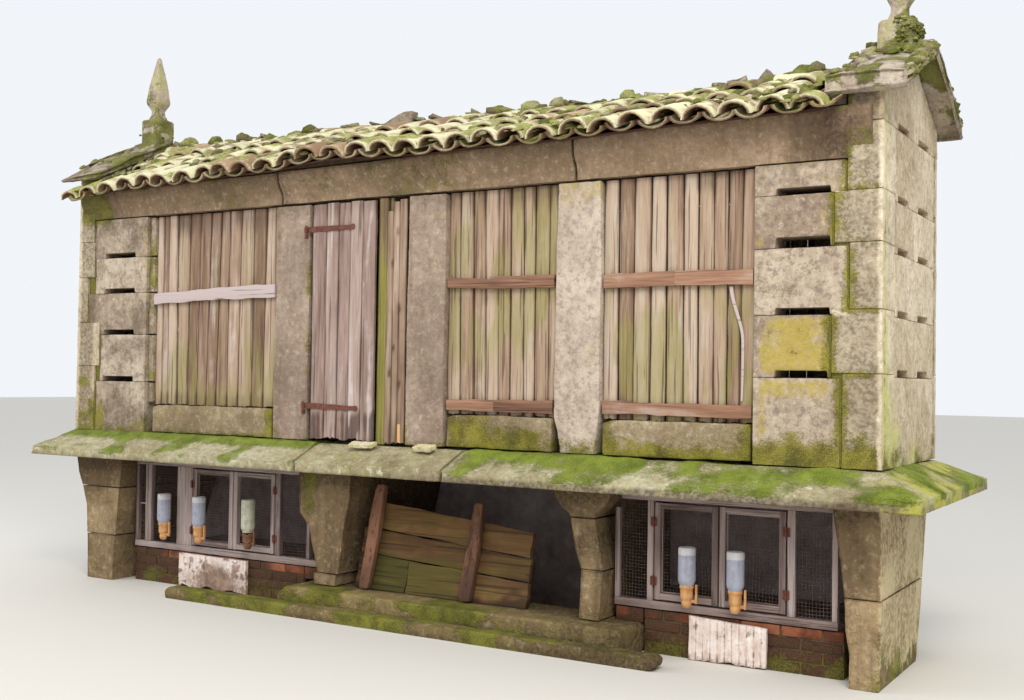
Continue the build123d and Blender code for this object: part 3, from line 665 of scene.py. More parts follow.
# its pale 'yellow' colour is lichen in small patches and painted light on the piers' right sides
GRANITE_BASE = granite("granite_base", srgb(170, 146, 108), srgb(140, 116, 80), srgb(104, 82, 54), pale_amount=0.16, yellow=srgb(228, 212, 172),
                       moss_dark=srgb(70, 70, 24), moss_bright=srgb(136, 134, 42), damp_and_shade=srgb(52, 38, 26), speck=0.4, stains=0.6)
LEDGE = granite("mossy_ledge", srgb(200, 195, 164), srgb(174, 165, 128), srgb(134, 122, 84), pale=srgb(226, 226, 204), pale_amount=0.60,
                moss_dark=srgb(88, 104, 18), moss_bright=srgb(142, 158, 46), damp_and_shade=srgb(74, 56, 50), yellow=srgb(190, 192, 78), stains=0.25, bump=0.8)
STEP = granite("mossy_step", srgb(162, 142, 90), srgb(134, 114, 66), srgb(98, 80, 44), pale_amount=0.10,
               moss_dark=srgb(80, 80, 24), moss_bright=srgb(140, 138, 52), damp_and_shade=srgb(50, 38, 24), yellow=srgb(156, 148, 66), stains=0.4, bump=0.8)
COPING = granite("mossy_coping", srgb(206, 193, 175), srgb(180, 164, 146), srgb(134, 115, 98), pale=srgb(220, 212, 198), pale_amount=0.38,
                 moss_dark=srgb(88, 88, 36), moss_bright=srgb(146, 146, 70), yellow=srgb(188, 186, 122), stains=0.5, bump=0.9)

SLAT = timber("slat_wood", srgb(190, 168, 148), srgb(162, 136, 114), srgb(120, 94, 75), silver=srgb(198, 188, 180), algae=srgb(134, 132, 58))
RAIL = timber("rail_wood", srgb(174, 138, 112), srgb(146, 108, 86), srgb(102, 72, 56), axis="x", silver=srgb(208, 196, 190), silver_amount=0.35,
              paint=srgb(192, 179, 178), paint_amount=0.82)
DOOR_WOOD = timber("door_wood", srgb(180, 158, 148), srgb(154, 130, 120), srgb(108, 86, 76), silver=srgb(204, 197, 197), silver_amount=0.75, algae=srgb(112, 108, 62))
JAMB_WOOD = timber("jamb_wood", srgb(186, 164, 130), srgb(156, 134, 100), srgb(110, 90, 64), algae=srgb(142, 146, 44), silver=srgb(196, 184, 160), silver_amount=0.2, cracks=0.5)
SIDE_WOOD = timber("side_wood", srgb(176, 152, 130), srgb(146, 121, 100), srgb(88, 66, 52), silver=srgb(202, 188, 174), silver_amount=0.55, algae=srgb(112, 104, 50),
                   paint=srgb(226, 176, 120), paint_amount=0.85)
HUTCH_V = timber("hutch_wood", srgb(174, 157, 151), srgb(146, 128, 122), srgb(100, 82, 78), silver=srgb(176, 166, 166), silver_amount=0.5)
HUTCH_H = timber("hutch_wood_cross", srgb(174, 157, 151), srgb(146, 128, 122), srgb(100, 82, 78), axis="x", silver=srgb(176, 166, 166), silver_amount=0.5)
# dark copy of the board wood: its base tones are darkened as painted shade for the screen under the ledge
PLANK_SHADED = timber("mossy_plank", srgb(124, 92, 54), srgb(90, 64, 36), srgb(50, 35, 22), axis="x", algae=srgb(62, 76, 12), silver=srgb(126, 108, 72),
               silver_amount=0.25, damp_and_shade=srgb(40, 28, 18), scale=0.7)
STAKE = timber("stake_wood", srgb(146, 104, 80), srgb(116, 80, 60), srgb(70, 47, 36), silver=srgb(164, 134, 112), silver_amount=0.25, scale=1.2, bump=0.8,
               algae=srgb(92, 84, 30))


def roof_tile():
    n = Nodes("roof_tile")
    shift = n.math("MULTIPLY", n.rnd, 53.0)
    v = n.vec((1, 1, 1), shift)
    broad = n.noise(4.0, 3, 0.5, v)
    patch = n.noise(21, 5, 0.65, v, 0.5)
    fine = n.noise(120, 4, 0.6)
    f = n.math("ADD", n.math("MULTIPLY", broad, 0.6), n.math("MULTIPLY", n.math("SUBTRACT", n.rnd, 0.5), 0.5))
    clay = n.ramp(f, (0.2, srgb(146, 116, 90)), (0.38, srgb(178, 148, 116)), (0.55, srgb(198, 176, 140)))
    clay = n.mix(n.math("MULTIPLY", n.step(fine, 0.45, 0.68), 0.5), clay, n.mix(0.45, clay, srgb(96, 70, 56)))
    crust = n.mix(n.step(fine, 0.35, 0.65), srgb(208, 206, 164), srgb(230, 228, 194))
    gran = n.math("ADD", n.math("MULTIPLY", patch, 0.45), n.math("MULTIPLY", n.noise(74, 5, 0.7), 0.55))
    col = n.mix(n.math("MULTIPLY", n.spread(n.yellow, gran, 1.7, 0.30), 0.88), clay, crust)
    black = n.step(n.noise(34, 5, 0.7, v), 0.60, 0.70)
    col = n.mix(n.math("MULTIPLY", black, 0.35), col, srgb(126, 114, 84))
    # painted shade: the dark mask darkens tile undersides and the pans between the covers
    d = n.spread(n.dark, patch, 0.9, 0.25)
    col = n.mix(n.math("MULTIPLY", d, 0.80), col, n.mix(n.step(fine, 0.4, 0.6), srgb(104, 78, 62), srgb(134, 106, 84)))
    mg = n.math("ADD", n.math("MULTIPLY", n.noise(34, 6, 0.72), 0.6), n.math("MULTIPLY", fine, 0.4))
    m = n.spread(n.moss, mg, 1.9, 0.20)
    tuft = n.noise(210, 3, 0.6)
    mcol = n.mix(n.step(n.math("ADD", n.math("MULTIPLY", tuft, 0.5), n.math("MULTIPLY", patch, 0.5)), 0.38, 0.62), srgb(122, 122, 56), srgb(178, 176, 106))
    col = n.mix(m, col, mcol)
    h = n.math("ADD", n.math("MULTIPLY", fine, 0.5), n.math("MULTIPLY", patch, 0.8))
    h = n.math("ADD", h, n.math("MULTIPLY", m, n.math("ADD", tuft, 0.4)))
    return n.finish(col, 0.9, h, 0.55, 0.008)


def moss_pillow():
    n = Nodes("moss_pillow")
    shift = n.math("MULTIPLY", n.rnd, 31.0)
    tuft = n.noise(190, 4, 0.65, n.vec((1, 1, 1), shift))
    broad = n.noise(14, 4, 0.6, n.vec((1, 1, 1), shift))
    f = n.math("ADD", n.math("MULTIPLY", tuft, 0.5), n.math("MULTIPLY", broad, 0.5))
    f = n.math("ADD", f, n.math("MULTIPLY", n.math("SUBTRACT", n.rnd, 0.5), 0.25))
    green = n.ramp(f, (0.34, srgb(94, 96, 40)), (0.50, srgb(140, 142, 68)), (0.66, srgb(188, 188, 118)))
    dry = n.ramp(f, (0.34, srgb(104, 92, 60)), (0.50, srgb(150, 138, 98)), (0.66, srgb(194, 184, 142)))
    col = n.mix(n.spread(n.yellow, broad, 0.8, 0.15), green, dry)
    col = n.mix(n.math("MULTIPLY", n.dark, 0.7), col, srgb(44, 44, 18))
    return n.finish(col, 0.95, f, 1.0, 0.02, heights=[(n.voronoi(260), 0.6, 0.006)])


def render_wall():
    n = Nodes("grey_render")
    broad = n.noise(2.6, 4, 0.55)
    patch = n.noise(13, 5, 0.65, warp=0.4)
    fine = n.noise(170, 3, 0.6)
    col = n.ramp(n.math("ADD", n.math("MULTIPLY", broad, 0.5), n.math("MULTIPLY", patch, 0.5)),
                 (0.34, srgb(134, 119, 116)), (0.5, srgb(168, 153, 151)), (0.66, srgb(192, 179, 177)))
    col = n.mix(n.math("MULTIPLY", n.step(fine, 0.5, 0.7), 0.4), col, srgb(120, 104, 100))
    # vertical streaks shape the dark mask: real stains, and painted shade where the mask darkens the top under the
    # ledge
    stain_and_shade = n.noise(1.0, 4, 0.6, n.vec((9, 9, 1.0)))
    col = n.mix(n.spread(n.dark, stain_and_shade, 1.0, 0.25), col, n.mix(0.5, col, srgb(60, 48, 40)))
    m = n.spread(n.moss, patch, 1.1, 0.15)
    col = n.mix(n.math("MULTIPLY", m, 0.85), col, n.mix(n.step(fine, 0.35, 0.65), srgb(66, 66, 26), srgb(120, 122, 50)))
    h = n.math("ADD", n.math("MULTIPLY", patch, 0.9), n.math("MULTIPLY", fine, 0.4))
    return n.finish(col, 0.93, h, 0.5, 0.01)


def brickwork():
    n = Nodes("brick")
    shift = n.math("MULTIPLY", n.rnd, 29.0)
    v = n.vec((1, 1, 1), shift)
    broad, fine = n.noise(12, 4, 0.6, v), n.noise(140, 3, 0.6, v)
    f = n.math("ADD", broad, n.math("MULTIPLY", n.math("SUBTRACT", n.rnd, 0.5), 0.4))
    col = n.ramp(f, (0.3, srgb(92, 52, 34)), (0.5, srgb(132, 74, 50)), (0.7, srgb(160, 100, 70)))
    col = n.mix(n.math("MULTIPLY", n.step(fine, 0.45, 0.7), 0.5), col, n.mix(0.6, col, srgb(60, 36, 24)))
    d = n.spread(n.dark, broad, 1.0, 0.25)
    col = n.mix(n.math("MULTIPLY", d, 0.93), col, n.mix(n.step(fine, 0.4, 0.6), srgb(50, 35, 24), srgb(84, 60, 42)))
    m = n.spread(n.moss, n.noise(30, 5, 0.65), 1.1, 0.12)
    col = n.mix(m, col, n.mix(n.step(fine, 0.35, 0.65), srgb(62, 56, 22), srgb(104, 96, 42)))
    return n.finish(col, 0.94, n.math("ADD", n.math("MULTIPLY", fine, 0.6), broad), 0.5, 0.006)


def mortar():
    n = Nodes("mortar")
    a, b = n.noise(18, 5, 0.65), n.noise(190, 3, 0.6)
    col = n.ramp(n.math("ADD", n.math("MULTIPLY", a, 0.6), n.math("MULTIPLY", b, 0.4)), (0.36, srgb(62, 50, 36)), (0.52, srgb(92, 76, 54)), (0.66, srgb(124, 106, 80)))
    col = n.mix(n.spread(n.moss, a, 1.1, 0.15), col, n.mix(n.step(b, 0.35, 0.65), srgb(80, 76, 28), srgb(126, 120, 52)))
    return n.finish(col, 0.95, b, 0.6, 0.008)


def white_board():
    n = Nodes("white_board")
    a = n.noise(1.0, 5, 0.62, n.vec((46, 46, 4)))
    b = n.noise(14, 6, 0.7, warp=0.6)
    col = n.ramp(n.math("ADD", n.math("MULTIPLY", a, 0.5), n.math("MULTIPLY", b, 0.5)), (0.36, srgb(190, 166, 150)), (0.5, srgb(222, 206, 196)), (0.64, srgb(240, 232, 226)))
    wear = n.spread(n.dark, n.math("ADD", n.math("MULTIPLY", a, 0.4), n.math("MULTIPLY", n.noise(48, 6, 0.75), 0.6)), 1.8, 0.30)
    col = n.mix(n.math("MULTIPLY", wear, 0.85), col, n.ramp(b, (0.4, srgb(96, 66, 48)), (0.62, srgb(150, 118, 92))))
    return n.finish(col, 0.8, n.math("ADD", a, wear), 0.4, 0.004)


def rusty_iron():
    n = Nodes("rusty_iron")
    a, b = n.noise(40, 6, 0.7, warp=0.5), n.noise(260, 3, 0.6)
    f = n.math("ADD", n.math("MULTIPLY", a, 0.7), n.math("MULTIPLY", b, 0.3))
    col = n.ramp(f, (0.34, srgb(62, 38, 34)), (0.47, srgb(102, 62, 50)), (0.58, srgb(124, 78, 62)), (0.7, srgb(92, 72, 68)))
    n.bsdf.inputs["Metallic"].default_value = 0.15
    return n.finish(col, n.step(a, 0.3, 0.7, 0.62, 0.9), f, 0.6, 0.004)


def wire():
    n = Nodes("mesh_wire")
    a = n.noise(30, 4, 0.6)
    col = n.ramp(a, (0.4, srgb(92, 74, 68)), (0.6, srgb(126, 110, 104)))
    n.bsdf.inputs["Metallic"].default_value = 0.35
    return n.finish(col, n.step(a, 0.4, 0.6, 0.5, 0.75), n.noise(400, 2, 0.5), 0.2, 0.001)


def plastic(name, base, worn, rough=0.4, clear=0.0):
    n = Nodes(name)
    a, b = n.noise(26, 5, 0.65), n.noise(1.0, 4, 0.6, n.vec((60, 60, 6)))
    f = n.math("ADD", n.math("MULTIPLY", a, 0.6), n.math("MULTIPLY", b, 0.4))
    col = n.ramp(f, (0.40, worn), (0.56, base), (0.72, base))
    col = n.mix(n.spread(n.dark, a, 0.9, 0.2), col, srgb(104, 74, 50))
    if clear:
        n.bsdf.inputs["Transmission Weight"].default_value = clear
        n.bsdf.inputs["IOR"].default_value = 1.3
    return n.finish(col, n.step(a, 0.3, 0.7, rough, rough + 0.25), f, 0.12, 0.002)


TILE, PILLOW, RENDER, BRICK, MORTAR = roof_tile(), moss_pillow(), render_wall(), brickwork(), mortar()
BOARD, IRON, WIRE = white_board(), rusty_iron(), wire()
BOTTLE = plastic("bottle_plastic", srgb(206, 203, 203), srgb(182, 178, 180), 0.32)
BOTTLE_WATER = plastic("bottle_water", srgb(164, 167, 182), srgb(146, 147, 158), 0.32)
BOTTLE_OLD = plastic("bottle_old", srgb(192, 191, 168), srgb(158, 157, 136), 0.45)
HOLDER = plastic("holder_plastic", srgb(205, 155, 102), srgb(180, 128, 82), 0.45)
HOLDER_OLD = plastic("holder_old", srgb(150, 104, 76), srgb(116, 76, 54), 0.6)


# ---------------------------------------------------------------------------
# Masks from position: moss, yellow lichen, damp, painted shade and painted light
# ---------------------------------------------------------------------------


def bell(x, centre, half):
    return np.clip(1 - np.abs(np.asarray(x, float) - centre) / half, 0, 1)


def masked(rnd, fn):
    """fn(x, y, z, v) gives moss, yellow and dark."""

    def run(v):
        x, y, z = v[:, 0], v[:, 1], v[:, 2]
        m, ye, d = fn(x, y, z, v)
        out = np.empty((len(v), 4))
        out[:, 0], out[:, 1], out[:, 2], out[:, 3] = m, ye, d, rnd
        return out

    return run


def blot(v, freq, seed, lo=0.45, hi=0.65):
    return smooth(lo, hi, fbm(v * freq, seed, 3))


BED_R = np.array([1.60, 1.935, 2.296, 2.58])
JOINT_R = np.array([2.880, 2.822, 2.915, 2.834, 2.900])


# moss, stains and painted shade of the masonry above the ledge
def wall_zone(x, y, z, v):
    foot = 1 - smooth(1.14, 1.36 + 0.10 * np.sin(x * 5.1) + 0.05 * np.sin(x * 13.0), z)
    front = (y < -0.3)
    moss = 0.85 * foot * np.where(x > 0.3, 1.0, 0.62)
    moss = np.maximum(moss, 0.30 * blot(v, 2.3, 31, 0.5, 0.62))
    # joint of the right corner, row by row, and the bed joints beside it
    joint = JOINT_R[np.clip(np.searchsorted(BED_R, z), 0, 4)]
    band = bell(x, joint, 0.085) * front
    moss = np.maximum(moss, 0.85 * band * (0.75 + 0.25 * blot(v, 7.0, 17, 0.4, 0.6)))
    for bed in BED_R[:4]:
        moss = np.maximum(moss, 0.78 * front * bell(z, bed + 0.02, 0.045) * smooth(2.80, 2.86, x) * (0.6 + 0.4 * blot(v, 9.0, 18, 0.4, 0.6)))
    moss = np.maximum(moss, 0.62 * front * smooth(2.50, 2.62, x) * smooth(1.30, 1.18, z))
    # left corner under the eave
    moss = np.maximum(moss, 0.75 * (x < -2.75) * smooth(2.62, 2.78, z))
    moss = np.maximum(moss, 0.62 * (x < -2.78) * (z < 1.55) * blot(v, 6.0, 7, 0.4, 0.6))
    mottle = 0.72 + 0.28 * blot(v, 6.0, 78, 0.42, 0.60)
    face = front * smooth(2.41, 2.46, x) * smooth(2.84, 2.79, x)
    fade = smooth(-0.05, 0.10, (x - 2.42) + (1.86 - z) * 0.8)
    yellow = 0.74 * face * mottle * smooth(1.945, 1.91, z) * smooth(1.605, 1.64, z) * fade
    yellow = np.maximum(yellow, 0.66 * face * mottle * smooth(1.60, 1.585, z) * smooth(1.44, 1.52, z))
    yellow = np.maximum(yellow, 0.55 * front * bell(x, 2.45, 0.06) * smooth(1.6, 1.5, z))
    yellow = np.maximum(yellow, 0.85 * front * bell(x, 2.43, 0.05) * bell(z, 2.33, 0.06))
    yellow = np.maximum(yellow, 0.35 * blot(v, 3.1, 77, 0.55, 0.68))
    # the top course under the lintel is darkened: painted shade
    dark = 0.50 * smooth(2.66, 2.76, z) * front
    dark = np.maximum(dark, (0.30 + 0.40 * blot(v, 4.0, 55, 0.42, 0.60)) * (x < -2.2) * front)
    # the corner stones are mottled and darker than the courses beside them
    corner = front * smooth(joint - 0.004, joint + 0.004, x) * smooth(3.088, 3.078, x)
    dark = np.maximum(dark, (0.66 + 0.26 * blot(v, 6.0, 58, 0.40, 0.60)) * corner)
    dark = np.maximum(dark, (0.62 + 0.26 * blot(v, 6.0, 59, 0.40, 0.60)) * front * smooth(-2.88, -2.92, x))
    dark = np.maximum(dark, 0.52 * foot)
    return np.clip(moss, 0, 1), np.clip(yellow, 0, 1), np.clip(dark, 0, 1)


def end_zone(x, y, z, v):
    m, ye, d = wall_zone(x, y, z, v)
    near = bell(y, -0.600, 0.030)
    m = 0.70 * near * (x > 0) * (0.6 + 0.4 * blot(v, 5.0, 4, 0.4, 0.6))
    foot = 1 - smooth(1.14, 1.40, z)
    m = np.maximum(m, 0.66 * foot * (0.4 + 0.6 * blot(v, 5.0, 3, 0.35, 0.6)))
    run = fbm(np.stack([0 * y, y * 30, z * 1.2], 1), 33, 3)
    m = np.maximum(m, 0.40 * smooth(0.46, 0.66, run) * smooth(2.0, 1.3, z) * np.where(x > 0, 1.0, 0.6))
    ye = 0.55 * blot(v, 1.9, 15, 0.45, 0.6) * smooth(2.2, 1.2, z) + 0.70 * bell(y, -0.585, 0.045)
    m = np.maximum(m, 0.60 * bell(y, 0.58, 0.05))
    d = 0.10 + 0.25 * blot(v, 3.0, 19) * smooth(2.3, 2.9, z)
    d = np.maximum(d, 0.42 * (x > 0) * smooth(2.27, 2.30, z) * smooth(2.57, 2.54, z) * smooth(-0.33, -0.36, y))
    return np.clip(m, 0, 1), np.clip(ye, 0, 1), d


# ---------------------------------------------------------------------------
# Coursed corner panels with vent slits on their bed joints
# ---------------------------------------------------------------------------

SLIT = 0.038


def panel_blocks(bag, x0s, x1s, y0, y1, beds, slits, sx0, sx1, zone, seed, top=2.75, cell=0.026):
    """One block to each course; slits are cut into the foot of the course above."""
    levels = [1.13] + list(beds) + [top]
    for i in range(len(levels) - 1):
        za, zb = levels[i], levels[i + 1]
        a, b = x0s[i] + 0.0004, x1s[i] - 0.0004
        g = 0.0004
        pts = [(a, za + g), (b, za + g), (b, zb - g), (a, zb - g)]
        if i > 0:
            h = slits[i - 1]
            s0, s1 = max(sx0, a + 0.02), min(sx1, b - 0.012)
            pts = [(a, za + g), (s0, za + g), (s0 + 0.004, za + h), (s1 - 0.004, za + h), (s1, za + g), (b, za + g), (b, zb - g), (a, zb - g)]
        s = extr(pts, "y", y0, y1, cell, 0.008)
        rnd = float(hash3(np.array([i]), np.array([seed]), np.array([3]), 1)[0])
        s.rough(0.014, 9.0, seed + i, 4, 1.2, (0.10, 1, 0.10))
        s.rough(0.004, 42.0, seed + 60 + i, 2, 1.0, (0.3, 1, 0.3))
        bag.add(s, masked(rnd, zone))


beds_r = [1.62 - SLIT / 2, 1.955 - SLIT / 2, 2.325 - 0.029, 2.60 - SLIT / 2]
slits_r = [SLIT, SLIT, 0.058, SLIT]
beds_l = [1.53 - SLIT / 2, 1.885 - SLIT / 2, 2.20 - SLIT / 2, 2.47 - SLIT / 2]
slits_l = [SLIT] * 4
JR = [2.880, 2.822, 2.915, 2.834, 2.900]
JL = [-2.880, -2.835, -2.975, -2.905, -2.915]

bag = Bag()
panel_blocks(bag, [2.402] * 5, JR, -0.65, -0.45, beds_r, slits_r, 2.52, 2.82, wall_zone, 11)
piece("corner_blocks_right", bag, GRANITE_WALL, replaces=["front_panel_right"])

bag = Bag()
panel_blocks(bag, JL, [-2.335, -2.335, -2.335, -2.335, -2.335], -0.65, -0.45, beds_l, slits_l, -2.80, -2.465, wall_zone, 23)
# rebated strip along the bay
for i, (za, zb) in enumerate(zip([1.355] + beds_l, beds_l + [2.75])):
    s = extr([(-2.333, za + 0.002), (-2.272, za + 0.002), (-2.274, zb - 0.002), (-2.333, zb - 0.002)], "y", -0.622, -0.45, 0.03, 0.008)
    s.rough(0.008, 11, 40 + i, 3)
    bag.add(s, masked(0.3 + 0.1 * i, lambda x, y, z, v: (0.42 + 0.2 * blot(v, 3, 8), 0 * x, 0.42 + 0 * x)))
piece("corner_blocks_left", bag, GRANITE_WALL, replaces=["front_panel_left"])

bag = Bag()
panel_blocks(bag, [2.402] * 5, JR[::-1], 0.45, 0.65, beds_r, slits_r, 2.52, 2.82, wall_zone, 37, cell=0.044)
panel_blocks(bag, JL[::-1], [-2.272] * 5, 0.45, 0.65, beds_l, slits_l, -2.80, -2.465, wall_zone, 41, cell=0.044)
# mossy packing behind the joints of the four corners
pack = Bag()
for face in (-1, 1):
    for side, a0 in ((-1, 2.805), (1, 2.824)):
        lo, hi = sorted((face * 0.638, face * 0.462))
        xa, xb = sorted((side * a0, side * 2.985))
        s = lattice((xa, lo, 1.136), (xb, hi, 2.748), r=0.004, cells=(0.08, 0.10, 0.08))
        s.rough(0.008, 26, 77 + side + face, 3)
        pack.add(s, (0.80, 0.0, 0.35, 0.5))
# moss and earth that fill the joints almost flush
for face in (-1, 1):
    lo, hi = sorted((face * 0.6468, face * 0.626))
    for side, joints, beds in ((-1, JL, beds_l), (1, JR, beds_r)):
        jj = joints if face < 0 else joints[::-1]
        lv = [1.136] + list(beds) + [2.746]
        for i in range(5):
            s = lattice((jj[i] - 0.0085, lo, lv[i] + 0.001), (jj[i] + 0.0085, hi, lv[i + 1] - 0.001), r=0.003, cells=(0.0085, 0.02, 0.036))
            s.rough(0.007, 34, 900 + 10 * i + side + face, 3)
            pack.add(s, (0.90, 0.0, 0.2, 0.5))
        for i, row in enumerate((1.63, 1.95, 2.29, 2.57)):
            z = row - SLIT / 2 + (0.015, 0.030, 0.040, 0.034)[i]
            xa, xb = sorted((side * (max(abs(jj[i]), abs(jj[i + 1])) + 0.006), side * 3.084))
            s = lattice((xa, lo, z - 0.0075), (xb, hi, z + 0.0075), r=0.003, cells=(0.034, 0.02, 0.0075))
            s.rough(0.006, 34, 960 + 10 * i + side + face, 3)
            pack.add(s, (0.55, 0.0, 0.3, 0.5))
piece("corner_joint_packing", pack, MORTAR)
piece("corner_blocks_back", bag, GRANITE_WALL, replaces=["back_panels"])


# ---------------------------------------------------------------------------
# Gable end walls
# ---------------------------------------------------------------------------


def gable_z(y, lift):
    return 3.43 - 0.34 * abs(y) / 0.73 + lift - 0.003


QUOIN_UP = (0.015, 0.030, 0.040, 0.034, 0.0)


def end_wall(name, side, joints_f, joints_b, seed, node):
    bag = Bag()
    lift = CLIMB * side * 3.0 - (0.050 if side > 0 else 0.0)
    rows = [1.63, 1.95, 2.29, 2.57, 2.96]
    levels = [1.13] + [r - SLIT / 2 for r in rows]
    out, mid = side * 3.10, side * 2.90
    for i in range(6):
        za = levels[i]
        zb = levels[i + 1] if i < 5 else None
        g = 0.0004
        # a quoin at each corner and one or two stones between
        if i < 5:
            splits = [-0.65, -0.385 if i % 2 == 0 else -0.40, 0.575 if i % 2 else 0.56, 0.65]
            if i in (1, 3):
                splits = [-0.65, -0.395, 0.05, 0.57, 0.65]
        else:
            splits = [-0.65, 0.03, 0.65]
        for j in range(len(splits) - 1):
            ya, yb = splits[j] + 0.0004, splits[j + 1] - 0.0004
            # the corner stones sit a little higher than the courses between them
            quoin = i < 5 and (ya < -0.6 or yb > 0.6)
            lo_z = za + (QUOIN_UP[i - 1] if quoin and i > 0 else 0.0)
            hi_z = zb + (QUOIN_UP[i] if quoin and i < 4 else 0.0) if zb is not None else None
            low = [(ya, lo_z + g)]
            if i > 0 and not quoin:
                for s0, s1 in ((-0.33, -0.08), (0.15, 0.42)):
                    c0, c1 = max(s0, ya), min(s1, yb)
                    if c1 - c0 > 0.03:
                        if c0 > ya + 0.02:
                            low += [(c0, za + g), (c0 + 0.003, za + SLIT)]
                        else:
                            low[-1] = (ya, za + SLIT)
                        if c1 < yb - 0.02:
                            low += [(c1 - 0.003, za + SLIT), (c1, za + g)]
                            closed = True
                        else:
                            low += [(yb, za + SLIT)]
                            closed = False
                        last = closed
            if low[-1][0] < yb - 0.004:
                low.append((yb, lo_z + g))
            if hi_z is not None:
                high = [(yb, hi_z - g), (ya, hi_z - g)]
            else:
                high = [(yb, gable_z(yb, lift))]
                if ya < 0 < yb:
                    high.append((0.0, gable_z(0, lift)))
                high.append((ya, gable_z(ya, lift)))
            inner = mid
            if ya < -0.6:
                inner = side * (abs(joints_f[min(i, 4)]) + 0.001)
            elif yb > 0.6:
                inner = side * (abs(joints_b[min(i, 4)]) + 0.001)
            a, b = sorted((inner, out))
            s = extr(low + high, "x", a, b, 0.032 if side > 0 else 0.046, 0.008)
            rnd = 0.2 + 0.6 * float(hash3(np.array([i]), np.array([j]), np.array([seed]), 4)[0])
            s.rough(0.012, 8.0, seed + 10 * i + j, 4, 1.2, (1, 0.12, 0.10))
            s.rough(0.004, 40.0, seed + 200 + i, 2, 1.0, (1, 0.4, 0.3))

            def zone(x, y, z, v, ya=ya):
                m, ye, d = end_zone(x, y, z, v)
                w = wall_zone(x, y, z, v)
                f = (np.abs(y) > 0.635)
                edge = f & (np.abs(x) > 3.082)
                return np.where(f, np.where(edge, 0.1, w[0]), m), np.where(f, w[1] * 0.5, ye), np.where(f, np.where(edge, 0.0, w[2]), d)

            bag.add(s, masked(rnd, zone))
    return piece(name, bag, GRANITE_END_LIT, replaces=[node])


end_wall("gable_right", 1, JR, JR[::-1], 301, "end_wall_right")
end_wall("gable_left", -1, JL, JL[::-1], 401, "end_wall_left")


# ---------------------------------------------------------------------------
# Pilasters, sills, lintels
# ---------------------------------------------------------------------------


def post(bag, edges, y0, y1, seed, zone, rnd, cell=0.03, rough=0.010):
    left, right = edges
    pts = left + right[::-1]
    s = extr([(x, z) for x, z in left] + [(x, z) for x, z in right[::-1]], "y", y0, y1, cell, 0.013)
    s.rough(rough, 6.0, seed, 4, 1.1)
    s.rough(0.0045, 45.0, seed + 5, 2)
    bag.add(s, masked(rnd, zone))


def post_zone(x, y, z, v):
    foot = 1 - smooth(1.14, 1.30, z)
    moss = 0.35 * foot + 0.22 * blot(v, 3.0, 9, 0.5, 0.65)
    # the returns that face the bays
    moss = np.maximum(moss, 0.45 * bell(x, 1.485, 0.02) * blot(v, 3.0, 12, 0.4, 0.55))
    moss = np.maximum(moss, 0.75 * bell(x, 0.08, 0.05) * smooth(1.45, 1.2, z))
    moss = np.maximum(moss, 0.62 * bell(x, -0.755, 0.045) * (0.5 + 0.5 * blot(v, 5.0, 15, 0.4, 0.6)) * smooth(2.6, 2.2, z))
    moss = np.maximum(moss, 0.40 * bell(x, -1.02, 0.16) * smooth(1.9, 2.4, z) + 0.30 * (x > 0) * (x < 0.6) * (0.5 + 0.5 * blot(v, 2.2, 26, 0.4, 0.6)))
    yellow = 0.45 * smooth(2.45, 2.7, z) * (x > 1.2) * (x < 1.5)
    yellow = np.maximum(yellow, 0.36 * (x < 0.6) * blot(v, 15.0, 27, 0.58, 0.66))
    yellow = np.maximum(yellow, 0.4 * blot(v, 4.0, 14, 0.6, 0.7))
    dark = 0.35 * smooth(2.6, 2.74, z) + (0.22 + 0.22 * blot(v, 2.6, 21, 0.42, 0.62)) * (x < 0.5)
    dark = np.maximum(dark, 0.46 * (x < -0.7) * smooth(1.9, 1.4, z) * (0.6 + 0.4 * blot(v, 5.0, 22, 0.4, 0.6)))
    return np.clip(moss, 0, 1), np.clip(yellow, 0, 1), np.clip(dark, 0, 1)


POSTS = (
    ([(-1.058, 1.132), (-1.060, 1.5), (-1.052, 2.1), (-1.056, 2.748)], [(-0.742, 1.132), (-0.744, 1.6), (-0.740, 2.2), (-0.746, 2.748)], 0.35, GRANITE_WALL),
    ([(0.072, 1.132), (0.070, 1.9), (0.078, 2.748)], [(0.378, 1.132), (0.372, 1.7), (0.380, 2.3), (0.374, 2.748)], 0.45, GRANITE_WALL),
    ([(1.208, 1.132), (1.190, 1.26), (1.162, 1.36), (1.163, 1.9), (1.168, 2.4), (1.178, 2.748)],
     [(1.440, 1.132), (1.462, 1.27), (1.478, 1.42), (1.474, 1.8), (1.479, 2.3), (1.466, 2.748)], 0.7, GRANITE_POST),
)
bag, bright = Bag(), Bag()
for i, (l, r, rnd, m) in enumerate(POSTS):
    post(bright if i == 2 else bag, (l, r), -0.65, -0.43, 500 + i * 7, post_zone, rnd, 0.024)
piece("posts_front", bag, GRANITE_DULL, replaces=["pilasters_front"])
piece("post_front_third", bright, GRANITE_POST)
bag = Bag()
for i, (l, r, rnd, m) in enumerate(POSTS):
    post(bag, (l, r), 0.43, 0.65, 540 + i * 7, post_zone, rnd, 0.050)
piece("posts_back", bag, GRANITE_DULL, replaces=["pilasters_back"])


